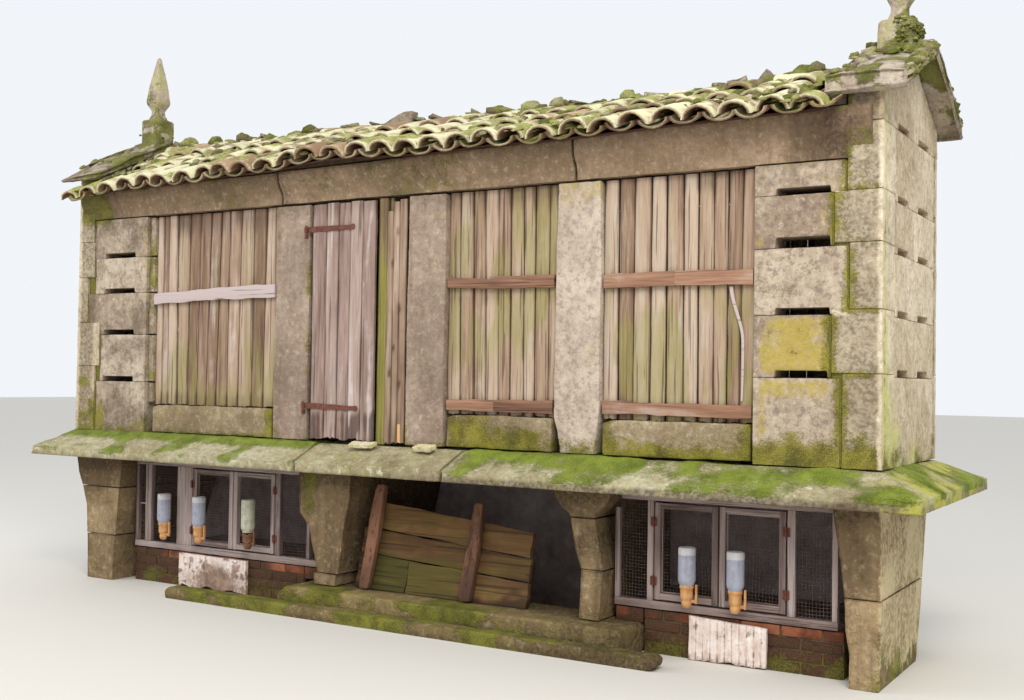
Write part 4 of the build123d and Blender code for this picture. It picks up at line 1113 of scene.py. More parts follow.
def sill_zone(x, y, z, v):
    front = np.ones_like(x)
    right = x > 0.2
    wet = bell(x, 0.55, 0.45) + bell(x, 1.0, 0.18)
    patchy = blot(v, 6.0, 19, 0.40, 0.58)
    moss = np.where(right, 0.40 * smooth(1.36, 1.14, z) + 0.62 * np.clip(wet, 0, 1) * patchy, 0.50 * smooth(1.25, 1.13, z))
    moss = np.where((x > 1.45), 0.15 + 0.55 * smooth(1.27, 1.14, z) + 0.35 * bell(x, 1.5, 0.1) + 0.4 * bell(x, 2.37, 0.08) + 0.15 * patchy, moss)
    moss = np.maximum(moss, 0.95 * bell(x, -1.10, 0.07))
    yellow = 0.30 * blot(v, 6, 4) + 0 * x
    dark = np.where(right & (x < 1.3), 0.45, 0.25) * blot(v, 4.0, 6, 0.4, 0.6)
    return np.clip(moss, 0, 1), np.clip(yellow, 0, 1), np.clip(dark, 0, 1)


def sills(name, bays, y0, y1, node, seed, cell):
    bag = Bag()
    for i, (x0, x1) in enumerate(bays):
        a, b = x0 + 0.002, x1 - 0.002
        mid = (a + b) / 2
        pts = [(a, 1.131), (b, 1.131), (b, 1.352), (mid, 1.355), (a + 0.06, 1.351), (a, 1.332)]
        s = extr(pts, "y", y0, y1, cell, 0.022)
        s.rough(0.014, 6.5, seed + i, 4, 1.1)
        s.rough(0.006, 38, seed + 9 + i, 2)
        bag.add(s, masked(0.4 + 0.12 * i, sill_zone))
    return piece(name, bag, GRANITE_SILL, replaces=[node])


BAY_1, DOOR_BAY, BAY_3, BAY_4 = (-2.27, -1.06), (-0.74, 0.07), (0.38, 1.16), (1.48, 2.40)
sills("sill_stones_front", (BAY_1, BAY_3, BAY_4), -0.645, -0.455, "sills_front", 600, 0.024)
sills("sill_stones_back", (BAY_1, DOOR_BAY, BAY_3, BAY_4), 0.455, 0.645, "sills_back", 640, 0.036)


def lintel_zone(x, y, z, v):
    t = z - CLIMB * x
    moss = 0.45 * smooth(2.90, 2.99, t) * (0.4 + 0.6 * blot(v, 2.5, 91, 0.4, 0.6))
    moss = np.maximum(moss, 0.40 * blot(v, 2.0, 93, 0.5, 0.65) * (x < 1.2))
    moss = np.maximum(moss, 0.72 * (x < -2.7))
    moss = np.maximum(moss, 0.55 * smooth(2.86, 2.90, x) * blot(v, 4.0, 92, 0.35, 0.55))
    # the top band under the eave tiles gets painted shade; the lower right end and a spot near x -0.97 are darker too
    dark = 0.16 + 0.35 * smooth(2.95, 2.99, t) + 0.75 * bell(x, 2.86, 0.34) * smooth(3.04, 2.90, t) + 0.4 * bell(x, -0.97, 0.10)
    dark = np.maximum(dark, 0.50 * (x < -2.6))
    dark = np.maximum(dark, 0.58 * smooth(2.86, 2.90, x))
    yellow = 0.20 * blot(v, 5, 94) + 0 * x
    return np.clip(moss, 0, 1), yellow, np.clip(dark, 0, 1)


def lintel_row(name, side, node, seed, cell):
    bag = Bag()
    f, b, o = side * 0.6525, side * 0.452, side * 0.705
    spans = ((-3.045, -1.001), (-0.999, 1.299), (1.301, 3.045))
    for i, (x0, x1) in enumerate(spans):
        # beam with its weathered cornice in one section
        sec = [(b, 2.749), (f, 2.749), (f, 2.800), (side * 0.664, 2.835), (side * 0.690, 2.875), (side * 0.700, 2.915), (o, 2.960), (o, 2.985),
               (side * 0.69, 2.997), (b, 2.997)]
        s = extr(sec, "x", x0, x1, cell, 0.008)
        s.v[:, 2] += CLIMB * s.v[:, 0] * smooth(2.76, 2.98, s.v[:, 2])
        s.rough(0.012, 4.0, seed + i, 4, 1.1)
        s.rough(0.0045, 36, seed + 20 + i, 2)
        bag.add(s, masked(0.35 + 0.15 * i, lintel_zone))
    return piece(name, bag, GRANITE_LINTEL, replaces=[node])


lintel_row("lintel_stones_front", -1, "lintels_front", 700, 0.028)
lintel_row("lintel_stones_back", 1, "lintels_back", 740, 0.045)


# ---------------------------------------------------------------------------
# Ledge slabs and chamber floor
# ---------------------------------------------------------------------------

LX0, LX1, LY = -3.29, 3.36, 0.92


def ledge_top(x, y):
    a = np.clip((LY - np.abs(y)) / 0.27, 0, 1)
    b = np.clip((x - LX0) / 0.19, 0, 1)
    c = np.clip((LX1 - x) / 0.26, 0, 1)
    return 1.010 + 0.120 * np.minimum(a, np.minimum(b, c))


def ledge_zone(x, y, z, v):
    out = np.clip((np.abs(y) - 0.65) / 0.27, 0, 1)
    out = np.maximum(out, np.clip((np.abs(x) - 3.10) / 0.22, 0, 1))
    near = 1 - out
    front = y < -0.4
    wide = blot(v, 3.2, 61, 0.38, 0.60)
    # at the right: bright moss over the upper part, pale crust near the edge
    r = np.clip(0.35 + 0.75 * near, 0, 1) * (0.50 + 0.50 * wide) * smooth(0.40, 0.75, x)
    r = np.maximum(r, 0.60 * wide * smooth(0.4, 0.7, x))
    m = 0.32 * near * smooth(0.6, 0.4, x) * smooth(-0.75, -0.60, x)
    lft = smooth(-0.55, -0.70, x) * (0.20 + 0.62 * smooth(0.55, 0.85, near) + 0.40 * blot(v, 5.0, 62, 0.48, 0.62))
    moss = np.where(front, np.maximum(np.maximum(r, m), lft), 0.25 + 0.6 * wide)
    moss = np.where(x > 3.02, 0.35 + 0.35 * wide, moss)
    yellow = 0.30 * blot(v, 4, 63) + 0.75 * smooth(3.0, 3.15, x) * (0.5 + 0.5 * blot(v, 6, 65))
    # the front face of the slabs gets painted shade
    edge = smooth(1.005, 0.965, z)
    dark = np.clip(0.85 * edge * (0.45 + 0.55 * smooth(-0.2, 1.2, x)), 0, 1)
    moss = np.where(edge > 0.5, moss * 0.35, moss)
    return np.clip(moss, 0, 1), np.clip(yellow, 0, 1), dark


def ledge_slab(name, x0, x1, y0, y1, node, seed, cell=0.027, skew=0.0, rnd=0.5, mat=None, front=0.0):
    bag = Bag()
    s = lattice((x0, y0, 0.0), (x1, y1, 1.0), r=0.03, cells=(cell, cell, 0.30))
    # rebuild with even height lines, then drape onto the ledge outline
    t = np.clip(s.v[:, 2], 0, 1)
    s.v[:, 2] = 0.9415 + t * (ledge_top(s.v[:, 0], s.v[:, 1]) - 0.9415)
    if skew:
        w = np.clip((-0.40 - s.v[:, 1]) / 0.52, 0, 1)
        k = np.where(s.v[:, 0] > (x0 + x1) / 2, skew[1], skew[0])
        fall = np.clip(1 - np.minimum(s.v[:, 0] - x0, x1 - s.v[:, 0]) / 0.25, 0, 1)
        s.v[:, 0] += k * w * fall
    s.rough(0.016, 3.4, seed, 4, 1.1, (0.6, 0.9, 0.7))
    s.rough(0.006, 30, seed + 1, 3)
    # worn front arris
    arris = np.clip((-s.v[:, 1] - 0.86) / 0.06, 0, 1) * np.clip((s.v[:, 2] - 0.97) / 0.05, 0, 1)
    chip = smooth(0.52, 0.72, fbm(s.v * (7, 3, 3), seed + 3, 3))
    s.v[:, 1] += 0.018 * arris * chip
    s.v[:, 2] -= 0.010 * arris * chip
    mm = masked(rnd, ledge_zone)(s.v)
    up = s.normals()[:, 2]
    lift = smooth(0.40, 0.75, mm[:, 0]) * smooth(0.3, 0.7, up) * (0.004 + 0.012 * fbm(s.v * 22, seed + 4, 3))
    s.v[:, 2] += lift
    # faces turned down get painted shade
    mm[:, 2] = np.where(up < -0.5, 0.9, mm[:, 2])
    bag.add(s, mm)
    return piece(name, bag, mat or LEDGE, replaces=[node], angle=50)


ledge_slab("ledge_slab_left", LX0 + 0.004, -0.663, -LY + 0.003, -0.40, "ledge_front_left", 800, skew=(0.0, 0.028), rnd=0.62)
ledge_slab("ledge_slab_middle", -0.657, 0.527, -LY + 0.003, -0.40, "ledge_front_middle", 810, skew=(0.028, 0.004), rnd=0.40)
ledge_slab("ledge_slab_right", 0.533, LX1 - 0.004, -LY + 0.003, -0.40, "ledge_front_right", 820, skew=(0.004, 0.0), rnd=0.5)
ledge_slab("ledge_end_left", LX0 + 0.004, -2.85, -0.40, 0.40, "ledge_left_end", 830, 0.035)
ledge_slab("ledge_end_right", 2.85, LX1 - 0.004, -0.40, 0.40, "ledge_right_end", 840, 0.030)

bag = Bag()
for i, (a, b) in enumerate(((LX0 + 0.004, -0.903), (-0.897, 1.197), (1.203, LX1 - 0.004))):
    s = lattice((a, 0.40, 0.0), (b, LY - 0.003, 1.0), r=0.03, cells=(0.060, 0.050, 0.34))
    t = np.clip(s.v[:, 2], 0, 1)
    s.v[:, 2] = 0.9415 + t * (ledge_top(s.v[:, 0], s.v[:, 1]) - 0.9415)
    s.rough(0.016, 3.4, 850 + i, 4, 1.1, (0.6, 0.9, 0.7))
    s.rough(0.006, 30, 860 + i, 3)
    mm = masked(0.35 + 0.15 * i, ledge_zone)(s.v)
    up = s.normals()[:, 2]
    s.v[:, 2] += smooth(0.40, 0.75, mm[:, 0]) * smooth(0.3, 0.7, up) * (0.004 + 0.012 * fbm(s.v * 22, 870 + i, 3))
    bag.add(s, mm)
piece("ledge_slabs_back", bag, LEDGE, replaces=["ledge_back"], angle=50)

bag = Bag()
for i in range(6):
    a, b = -2.85 + 0.95 * i + 0.003, -2.85 + 0.95 * (i + 1) - 0.003
    s = lattice((a, -0.398, 0.942), (b, 0.398, 1.128), r=0.012, cells=(0.06, 0.06, 0.06))
    s.rough(0.006, 7, 880 + i, 3, 1.0, (0.2, 0.2, 1))
    bag.add(s, masked(0.3 + 0.07 * i, lambda x, y, z, v: (0.1 * blot(v, 4, 2), 0 * x, 0.35 + 0.5 * (z < 1.0))))
piece("floor_slabs", bag, GRANITE_BASE, replaces=["chamber_floor"])


# ---------------------------------------------------------------------------
# Base: step beam, sill slab, piers, rear wall, low brick walls
# ---------------------------------------------------------------------------


def step_zone(x, y, z, v):
    up = smooth(0.055, 0.08, z)
    moss = 0.25 + 0.50 * blot(v, 4.0, 71, 0.35, 0.6) * smooth(1.6, 0.9, x) + 0.15 * up
    yellow = 0.45 * blot(v, 5.0, 73, 0.45, 0.62) * up
    dark = 0.30 + 0.45 * smooth(0.9, 1.7, x) + 0.3 * smooth(0.05, 0.01, z)
    return np.clip(moss, 0, 1), yellow, np.clip(dark, 0, 1)


bag = Bag()
s = extr([(-1.79, 0.0), (1.93, 0.0), (1.965, 0.022), (1.972, 0.062), (1.945, 0.085), (-1.755, 0.085), (-1.795, 0.055)], "y", -0.918, -0.792, 0.026, 0.016)
keep = s.v[:, 2] < 0.004
s.rough(0.010, 5, 900, 4, 1.1, (0.5, 1, 0.5))
s.rough(0.006, 28, 901, 3)
s.v[keep, 2] = 0.0
bag.add(s, masked(0.45, step_zone))
piece("step_beam", bag, STEP, replaces=["front_step_beam"], angle=50)

bag = Bag()
s = extr([(-0.87, 0.0), (1.70, 0.0), (1.70, 0.145), (1.68, 0.17), (-0.79, 0.17), (-0.86, 0.115)], "y", -0.788, -0.302, 0.030, 0.018)
keep = s.v[:, 2] < 0.004
s.rough(0.010, 4, 910, 4, 1.1, (0.4, 1, 0.4))
s.rough(0.005, 26, 911, 3, 1.0, (1, 1, 0.5))
s.v[keep, 2] = 0.0


def slab_zone(x, y, z, v):
    moss = 0.30 + 0.45 * blot(v, 4.5, 81, 0.35, 0.6) * smooth(1.4, 0.7, x)
    moss = np.where(y > -0.58, moss * 0.6, moss)
    yellow = 0.50 * blot(v, 3.5, 83, 0.42, 0.6) * smooth(0.15, 0.168, z) * smooth(-0.6, -0.7, y)
    # painted shade towards the back, behind the screen under the granary, and low on the front face behind the step
    # beam
    dark = 0.30 + 0.5 * smooth(-0.62, -0.5, y) + 0.35 * smooth(0.8, 1.6, x) + 0.4 * smooth(0.10, 0.04, z)
    return np.clip(moss, 0, 1), yellow, np.clip(dark, 0, 1)


bag.add(s, masked(0.5, slab_zone))
piece("threshold_slab", bag, STEP, replaces=["sill_slab"], angle=50)


def pier_zone(x, y, z, v):
    shade = smooth(-0.60, -0.30, y)
    moss = 0.32 * blot(v, 4.0, 33, 0.45, 0.62) + 0.30 * smooth(0.30, 0.05, z)
    moss = np.maximum(moss, 0.65 * bell(x, -0.72, 0.16) * smooth(0.45, 0.75, z))
    moss = np.maximum(moss, 0.45 * (x > 3.05) * blot(v, 3.0, 36, 0.45, 0.6) * smooth(0.6, 0.2, z))
    # on the right side (x > 3.085) a pale 'yellow' coat and little dark are painted light on the side that faces the
    # light
    yellow = 0.20 * blot(v, 3.0, 37) + (x > 3.085) * (0.50 + 0.30 * blot(v, 4.0, 38))
    # painted shade at the top under the ledge and towards the back
    dark = 0.25 + 0.45 * smooth(0.78, 0.93, z) + 0.35 * shade + 0.25 * blot(v, 5, 39, 0.45, 0.62)
    dark = np.where(x > 3.085, 0.05 + 0.20 * blot(v, 2.5, 42, 0.5, 0.65), dark)
    dark = np.where((x > -0.9) & (x < 1.6), np.clip(dark + 0.18, 0, 1), dark)
    return np.clip(moss, 0, 1), np.clip(yellow, 0, 1), np.clip(dark, 0, 1)


def pier(name, node, stones, seed, rnds, cut=None, along=(0.6, 1, 0.3)):
    bag = Bag()
    for i, (pts, y0, y1) in enumerate(stones):
        s = extr(pts, "y", y0, y1, 0.031, 0.006)
        low = s.v[:, 2] < 0.003
        if cut is not None:
            s.v = cut(s.v)
        s.rough(0.014, 5.0, seed + i, 4, 1.1, along)
        s.rough(0.006, 32, seed + 30 + i, 3)
        s.v[low, 2] = 0.0
        bag.add(s, masked(rnds[i % len(rnds)], pier_zone))
    return piece(name, bag, GRANITE_BASE, replaces=[node], angle=48)


def lean_left(v):
    v = v.copy()
    lim = 0.20 + 0.235 * np.clip(v[:, 2] / 0.94, 0, 1)
    t = (v[:, 1] + 0.64) / (0.43 + 0.64)
    v[:, 1] = -0.64 + t * (np.minimum(lim, 0.43) + 0.64)
    return v


def lean_right(v):
    v = v.copy()
    z = v[:, 2]
    lim = np.where(z < 0.55, 0.20 + 0.12 * z / 0.55, 0.32 + 0.115 * (z - 0.55) / 0.39)
    t = (v[:, 1] + 0.65) / (0.43 + 0.65)
    v[:, 1] = -0.65 + t * (np.minimum(lim, 0.43) + 0.65)
    return v


pier("pier_stone_left", "pier_left", [
    ([(-2.93, 0), (-2.65, 0), (-2.65, 0.12), (-2.625, 0.3395), (-2.945, 0.3395)], -0.64, 0.43),
    ([(-2.946, 0.3405), (-2.625, 0.3405), (-2.600, 0.60), (-2.588, 0.7015), (-3.010, 0.7015), (-2.96, 0.56)], -0.64, 0.43),
    ([(-3.012, 0.7025), (-2.588, 0.7025), (-2.57, 0.86), (-2.57, 0.938), (-3.09, 0.938), (-3.06, 0.80)], -0.64, 0.43),
], 1000, (0.35, 0.45, 0.30), lean_left)
pier("pier_stone_second", "pier_second", [
    ([(-0.67, 0.172), (-0.48, 0.172), (-0.475, 0.2515), (-0.672, 0.2515)], -0.64, -0.302),
    ([(-0.64, 0.2525), (-0.455, 0.2525), (-0.42, 0.55), (-0.37, 0.76), (-0.36, 0.938), (-0.82, 0.938), (-0.81, 0.78), (-0.805, 0.64), (-0.725, 0.56), (-0.69, 0.43)], -0.64, -0.302),
    ([(-0.64, 0), (-0.455, 0), (-0.42, 0.55), (-0.37, 0.76), (-0.36, 0.938), (-0.72, 0.938), (-0.70, 0.60)], -0.299, 0.43),
], 1040, (0.55, 0.45, 0.3))
pier("pier_stone_third", "pier_third", [
    ([(1.35, 0.172), (1.485, 0.172), (1.51, 0.4635), (1.362, 0.4635), (1.36, 0.44)], -0.64, -0.302),
    ([(1.359, 0.4645), (1.51, 0.4645), (1.452, 0.7635), (1.281, 0.7635), (1.325, 0.56)], -0.64, -0.302),
    ([(1.28, 0.7645), (1.45, 0.7645), (1.455, 0.785), (1.52, 0.845), (1.55, 0.895), (1.55, 0.938), (1.17, 0.938), (1.175, 0.885), (1.225, 0.815), (1.275, 0.785)], -0.64, -0.302),
    ([(1.33, 0), (1.48, 0), (1.47, 0.765), (1.52, 0.938), (1.23, 0.938), (1.29, 0.765)], -0.299, 0.43),
], 1080, (0.42, 0.60, 0.25, 0.3))
pier("pier_stone_right", "pier_right", [
    ([(2.93, 0), (3.09, 0), (3.099, 0.30), (3.10, 0.4615), (2.905, 0.4615), (2.912, 0.29), (2.935, 0.17)], -0.65, 0.43),
    ([(2.905, 0.4625), (3.10, 0.4625), (3.10, 0.938), (2.835, 0.938), (2.88, 0.66)], -0.65, 0.43),
], 1120, (0.55, 0.35), lean_right)

bag = Bag()
s = lattice((-2.98, 0.43, 0.0), (3.0, 0.58, 0.938), r=0.015, cells=(0.08, 0.08, 0.07))
low = s.v[:, 2] < 0.003
s.rough(0.014, 2.2, 1150, 4, 1.0, (0.2, 1, 0.1))
s.rough(0.004, 26, 1151, 3, 1.0, (0.5, 1, 0.3))
s.v[low, 2] = 0.0
# the top, under the ledge, is darker: painted shade
bag.add(s, masked(0.5, lambda x, y, z, v: (0.55 * smooth(0.35, 0.0, z) * (y > 0.5) + 0.2 * blot(v, 3, 5), 0 * x, 0.30 * blot(v, 2, 6) + 0.35 * smooth(0.8, 0.93, z))))
piece("rear_render", bag, RENDER, replaces=["rear_base_wall"])


def brick_zone(top):
    def zone(x, y, z, v):
        moss = 0.62 * smooth(0.19, 0.05, z) * (0.5 + 0.5 * blot(v, 6, 44, 0.4, 0.6)) + 0.20 * blot(v, 9, 45, 0.4, 0.6)
        red = smooth(0.185, 0.20, z) * blot(v, 3.0, 46, 0.36, 0.55)
        dark = 0.92 - 0.66 * red
        return moss, 0 * x, np.clip(dark, 0, 1)
    return zone


bag = Bag()
for x0, x1, base in ((-2.56, -0.872, 0.0), (-0.872, -0.73, 0.17), (1.702, 2.87, 0.0), (1.52, 1.702, 0.17)):
    core = lattice((x0 + 0.004, -0.485, base), (x1 - 0.004, -0.38, 0.250), r=0.006, cells=(0.12, 0.08, 0.08))
    core.rough(0.004, 18, 5, 3)
    core.v[core.v[:, 2] < base + 0.004, 2] = base
    bag.add(core, masked(0.5, lambda x, y, z, v: (0.75 * smooth(0.20, 0.05, z), 0 * x, 0.5 + 0 * x)), 1)
    z = base
    rows = 0
    zs = np.linspace(base, 0.255, 2 if base else 5)
    for k in range(len(zs) - 1):
        za, zb = zs[k], zs[k + 1]
        xx = x0 - (0.11 if (k + rows) % 2 else 0.0)
        while xx < x1 - 0.02:
            a, b = max(x0, xx), min(x1, xx + 0.232)
            if b - a > 0.04:
                s = lattice((a + 0.0035, -0.4945, za + (0.0 if k == 0 else 0.004)), (b - 0.0035, -0.3755, zb - 0.003), r=0.006, cells=(0.055, 0.08, 0.03))
                s.rough(0.007, 17, int(xx * 97) + k, 3, 1.0, (0.6, 1, 0.6))
                if k == 0:
                    s.v[s.v[:, 2] < za + 0.004, 2] = za
                bag.add(s, masked(float(RNG.random()), brick_zone(zb)))
            xx += 0.232
piece("low_brick_walls", bag, [BRICK, MORTAR], replaces=["hutch_low_walls"])


# ---------------------------------------------------------------------------
# Slatted bays
# ---------------------------------------------------------------------------


def board(bag, a0, a1, b0, b1, z0, z1, y, thick, seed, rnd, zone, mat=0, cells=(0.016, 0.02, 0.060), bow=0.0, fray=0.0, r=0.003,
          wave=0.003, rim=0.40):
    """Upright board; a is the left edge at foot and head, b the right edge."""
    s = lattice((0, 0, 0), (1, 1, 1), r=0.0001, cells=(1.0 / max(2, round((b0 - a0) / cells[0])), 1.0, 1.0 / max(4, round((z1 - z0) / cells[2]))))
    t = s.v[:, 2].copy()
    u = s.v[:, 0].copy()
    w = s.v[:, 1].copy()
    left, right = a0 + (a1 - a0) * t, b0 + (b1 - b0) * t
    zz = z0 + (z1 - z0) * t
    k = np.full(len(t), seed * 1.37)
    wl = (fbm(np.stack([k, zz * 5.0, k * 0.3], 1), seed, 3) - 0.5) * 2 * wave
    wr = (fbm(np.stack([k + 9, zz * 5.0, k * 0.3], 1), seed + 1, 3) - 0.5) * 2 * wave
    xx = (left + wl) + (right + wr - left - wl) * u
    cup = 0.0015 * np.cos(u * math.pi * 2)
    yy = y + thick * w + bow * np.sin(t * math.pi) + (fbm(np.stack([xx * 3, zz * 1.2, k], 1), seed + 2, 2) - 0.5) * 0.006 + cup
    grain = (fbm(np.stack([xx * 95, k, zz * 2.2], 1), seed + 3, 3) - 0.4) * 0.0032
    yy = yy + np.where(w < 0.5, grain, -grain)
    # soft corners
    e = np.minimum(u, 1 - u)
    yy = yy + np.where(w < 0.5, 1, -1) * 0.003 * (e < 1e-3)
    if fray:
        low = np.clip(1 - (zz - z0) / 0.05, 0, 1)
        zz = zz + low * fray * smooth(0.35, 0.75, fbm(np.stack([xx * 60, k, k], 1), seed + 4, 2))
    s.v = np.stack([xx, yy, zz], 1)
    mask = masked(rnd, zone)(s.v)
    mask[:, 2] = np.clip(mask[:, 2] + rim * (e < 1e-3), 0, 1)
    bag.add(s, mask, mat)
    return s


def slat_zone(bay):
    def zone(x, y, z, v):
        t = z - CLIMB * x
        g = fbm(np.stack([x * 8, 0 * x, z * (0.9 if bay == 1 else 2.3)], 1), 141 + bay, 3)
        low = smooth(1.95, 1.4, t)
        high = smooth(2.35, 2.72, t)
        if bay == 1:
            moss = smooth(0.46, 0.60, g) * (0.40 + 0.60 * low) + 0.30 * low + 0.40 * smooth(1.62, 1.38, t)
        elif bay == 3:
            moss = 0.30 + 0.50 * smooth(0.46, 0.62, g) * smooth(1.5, 1.9, t)
            moss = np.maximum(moss, 0.55 * high * smooth(0.50, 0.62, g))
        else:
            moss = 0.28 + 0.62 * smooth(0.48, 0.62, g) * smooth(2.3, 1.7, t)
            moss = np.maximum(moss, 0.50 * high * smooth(0.50, 0.60, g))
        # painted shade at the head under the lintel and in a band just under the cross rail; darker also towards the
        # foot
        dark = 0.10 + 0.50 * smooth(2.50, 2.74, t) * (0.5 + 0.5 * smooth(0.4, 0.6, g)) + 0.35 * smooth(1.46, 1.38, z) + 0.20 * bell(t, 2.07, 0.05)
        return np.clip(moss, 0, 1), 0 * x, np.clip(dark, 0, 1)
    return zone


BAY_EDGES = {
    1: ([-2.262, -2.205, -2.132, -2.035, -1.93, -1.836, -1.742, -1.642, -1.535, -1.429, -1.301, -1.191, -1.068],
        [-2.262, -2.205, -2.148, -2.055, -1.933, -1.825, -1.718, -1.614, -1.532, -1.418, -1.298, -1.180, -1.068]),
    3: ([0.386, 0.471, 0.577, 0.660, 0.750, 0.838, 0.932, 1.011, 1.105, 1.154],
        [0.386, 0.456, 0.551, 0.639, 0.736, 0.832, 0.920, 1.006, 1.105, 1.154]),
    4: ([1.486, 1.575, 1.668, 1.773, 1.873, 1.978, 2.069, 2.156, 2.235, 2.310, 2.394],
        [1.486, 1.570, 1.667, 1.773, 1.869, 1.972, 2.064, 2.154, 2.239, 2.325, 2.394]),
}
bag = Bag()
for bay, (lo, hi) in BAY_EDGES.items():
    for i in range(len(lo) - 1):
        g0, g1 = 0.0015 + 0.003 * RNG.random(), 0.0020 + 0.003 * RNG.random()
        if (bay, i) in ((3, 4), (3, 6), (4, 0), (4, 5), (1, 2), (1, 6), (4, 3)):
            g1 += 0.005
        top = 2.746 - 0.004 * RNG.random()
        y = -0.605 + 0.004 * RNG.random()
        foot = 1.343
        in0, in1 = (0.012 if i == 0 else 0.0), (0.012 if i == len(lo) - 2 else 0.0)
        board(bag, lo[i] + g0 - in0, hi[i] + g0 - in0, lo[i + 1] - g1 + in1, hi[i + 1] - g1 + in1, foot + 0.006 * RNG.random(), top, y, 0.020,
              150 + bay * 20 + i, float(RNG.random()), slat_zone(bay), bow=0.004 * (RNG.random() - 0.5), fray=0.008)
piece("slat_boards_front", bag, SLAT, replaces=["slats_front"])


def bar(bag, x0, x1, za, zb, ha, hb, y0, y1, seed, rnd, zone, mat=0, cell=0.035, sag=0.0, r=0.004, rough=0.004):
    """Cross rail: foot heights za, zb and head heights ha, hb at its two ends."""
    s = lattice((0, 0, 0), (1, 1, 1), r=0.0001, cells=(1.0 / max(3, round((x1 - x0) / cell)), 0.34, 0.26))
    u, w, t = s.v[:, 0].copy(), s.v[:, 1].copy(), s.v[:, 2].copy()
    xx = x0 + (x1 - x0) * u
    k = np.full(len(u), seed * 0.77)
    lo = za + (zb - za) * u + sag * np.sin(u * math.pi) + (fbm(np.stack([xx * 7, k, k], 1), seed, 4) - 0.5) * 0.024
    hi = ha + (hb - ha) * u + sag * np.sin(u * math.pi) + (fbm(np.stack([xx * 7, k + 5, k], 1), seed + 1, 4) - 0.5) * 0.022
    zz = lo + (hi - lo) * t
    yy = y0 + (y1 - y0) * w
    s.v = np.stack([xx, yy, zz], 1)
    # eased arrises and raised grain
    e = np.minimum(t, 1 - t)
    s.v[:, 1] += np.where((e < 1e-3) & (w < 0.01), r, 0)
    s.rough(rough, 1.0, seed + 2, 1, 1.0, (0, 0, 0))
    g = fbm(np.stack([xx * 3, zz * 120, k], 1), seed + 3, 3) - 0.35
    s.v[:, 1] += np.where(w < 0.5, 1, -1) * np.abs(g) * rough
    bag.add(s, masked(rnd, zone), mat)
    return s


def rail_zone(x, y, z, v):
    pale = 0.78 * (x < -1.0) + 0.35 * (x > 0) * (z > 1.9) * 0.3
    return 0.15 + 0 * x, pale + 0 * x, 0.12 + 0.25 * bell(x, 0.75, 0.15)


bag = Bag()
Y0, Y1 = -0.637, -0.606
bar(bag, -2.262, -1.066, 2.092, 2.118, 2.168, 2.208, Y0, Y1, 301, 0.7, rail_zone, sag=0.004)
bar(bag, 0.386, 1.154, 2.142, 2.126, 2.204, 2.176, Y0, Y1, 302, 0.4, rail_zone, sag=-0.004)
bar(bag, 0.700, 1.154, 2.168, 2.160, 2.206, 2.200, Y0 + 0.004, Y1, 303, 0.2, rail_zone)
bar(bag, 0.388, 0.76, 1.374, 1.368, 1.438, 1.440, Y0 + 0.003, Y1, 304, 0.5, rail_zone)
bar(bag, 0.74, 1.154, 1.368, 1.366, 1.441, 1.444, Y0, Y1, 305, 0.3, rail_zone)
bar(bag, 1.486, 1.93, 2.104, 2.112, 2.186, 2.196, Y0, Y1, 306, 0.5, rail_zone, sag=0.004)
bar(bag, 1.93, 2.394, 2.114, 2.108, 2.196, 2.190, Y0 + 0.002, Y1, 307, 0.62, rail_zone)
bar(bag, 1.488, 2.392, 1.380, 1.376, 1.452, 1.444, Y0, Y1, 308, 0.35, rail_zone)
piece("cross_rails_front", bag, RAIL, replaces=["rails_front"])

# a thin peeled lath that leans beside the last board
bag = Bag()
zz = np.linspace(2.10, 1.47, 26)
xx = 2.262 + 0.060 * smooth(2.10, 1.80, zz) + 0.012 * np.sin((2.1 - zz) * 4)
lath = lattice((0, 0, 0), (1, 1, 1), r=0.0001, cells=(0.5, 1.0, 1 / 26))
t = lath.v[:, 2]
z = 1.47 + 0.63 * t
x = np.interp(z, zz[::-1], xx[::-1])
lath.v = np.stack([x + (lath.v[:, 0] - 0.5) * (0.010 + 0.010 * t), -0.612 + 0.006 * lath.v[:, 1] - 0.004 * np.sin(t * 3.1), z], 1)
bag.add(lath, (0.0, 0.95, 0.0, 0.8))
piece("peeled_lath", bag, RAIL)

bag = Bag()
for bay, (x0, x1) in enumerate((BAY_1, DOOR_BAY, BAY_3, BAY_4)):
    n = max(5, round((x1 - x0) / 0.098))
    e = np.linspace(x0 - 0.022, x1 + 0.022, n + 1) + np.concatenate([[0], (RNG.random(n - 1) - 0.5) * 0.018, [0]])
    for i in range(n):
        s = board(bag, e[i] + 0.002, e[i] + 0.002, e[i + 1] - 0.003, e[i + 1] - 0.003, 1.358 + 0.008 * RNG.random(), 2.745, 0.582 + 0.004 * RNG.random(), 0.020,
                  700 + bay * 20 + i, float(RNG.random()), slat_zone((1, 3, 3, 4)[bay]), cells=(0.034, 0.02, 0.13), fray=0.01)
piece("slat_boards_back", bag, SLAT, replaces=["slats_back"])
bag = Bag()
for bay, (x0, x1) in enumerate((BAY_1, DOOR_BAY, BAY_3, BAY_4)):
    bar(bag, x0 + 0.006, x1 - 0.006, 2.108, 2.116, 2.190, 2.196, 0.605, 0.637, 760 + bay, 0.5, lambda x, y, z, v: (0.2 + 0 * x, 0 * x, 0.2 + 0 * x))
piece("cross_rails_back", bag, RAIL)


# ---------------------------------------------------------------------------
# Plank door, its straps and the fixed side plank
# ---------------------------------------------------------------------------


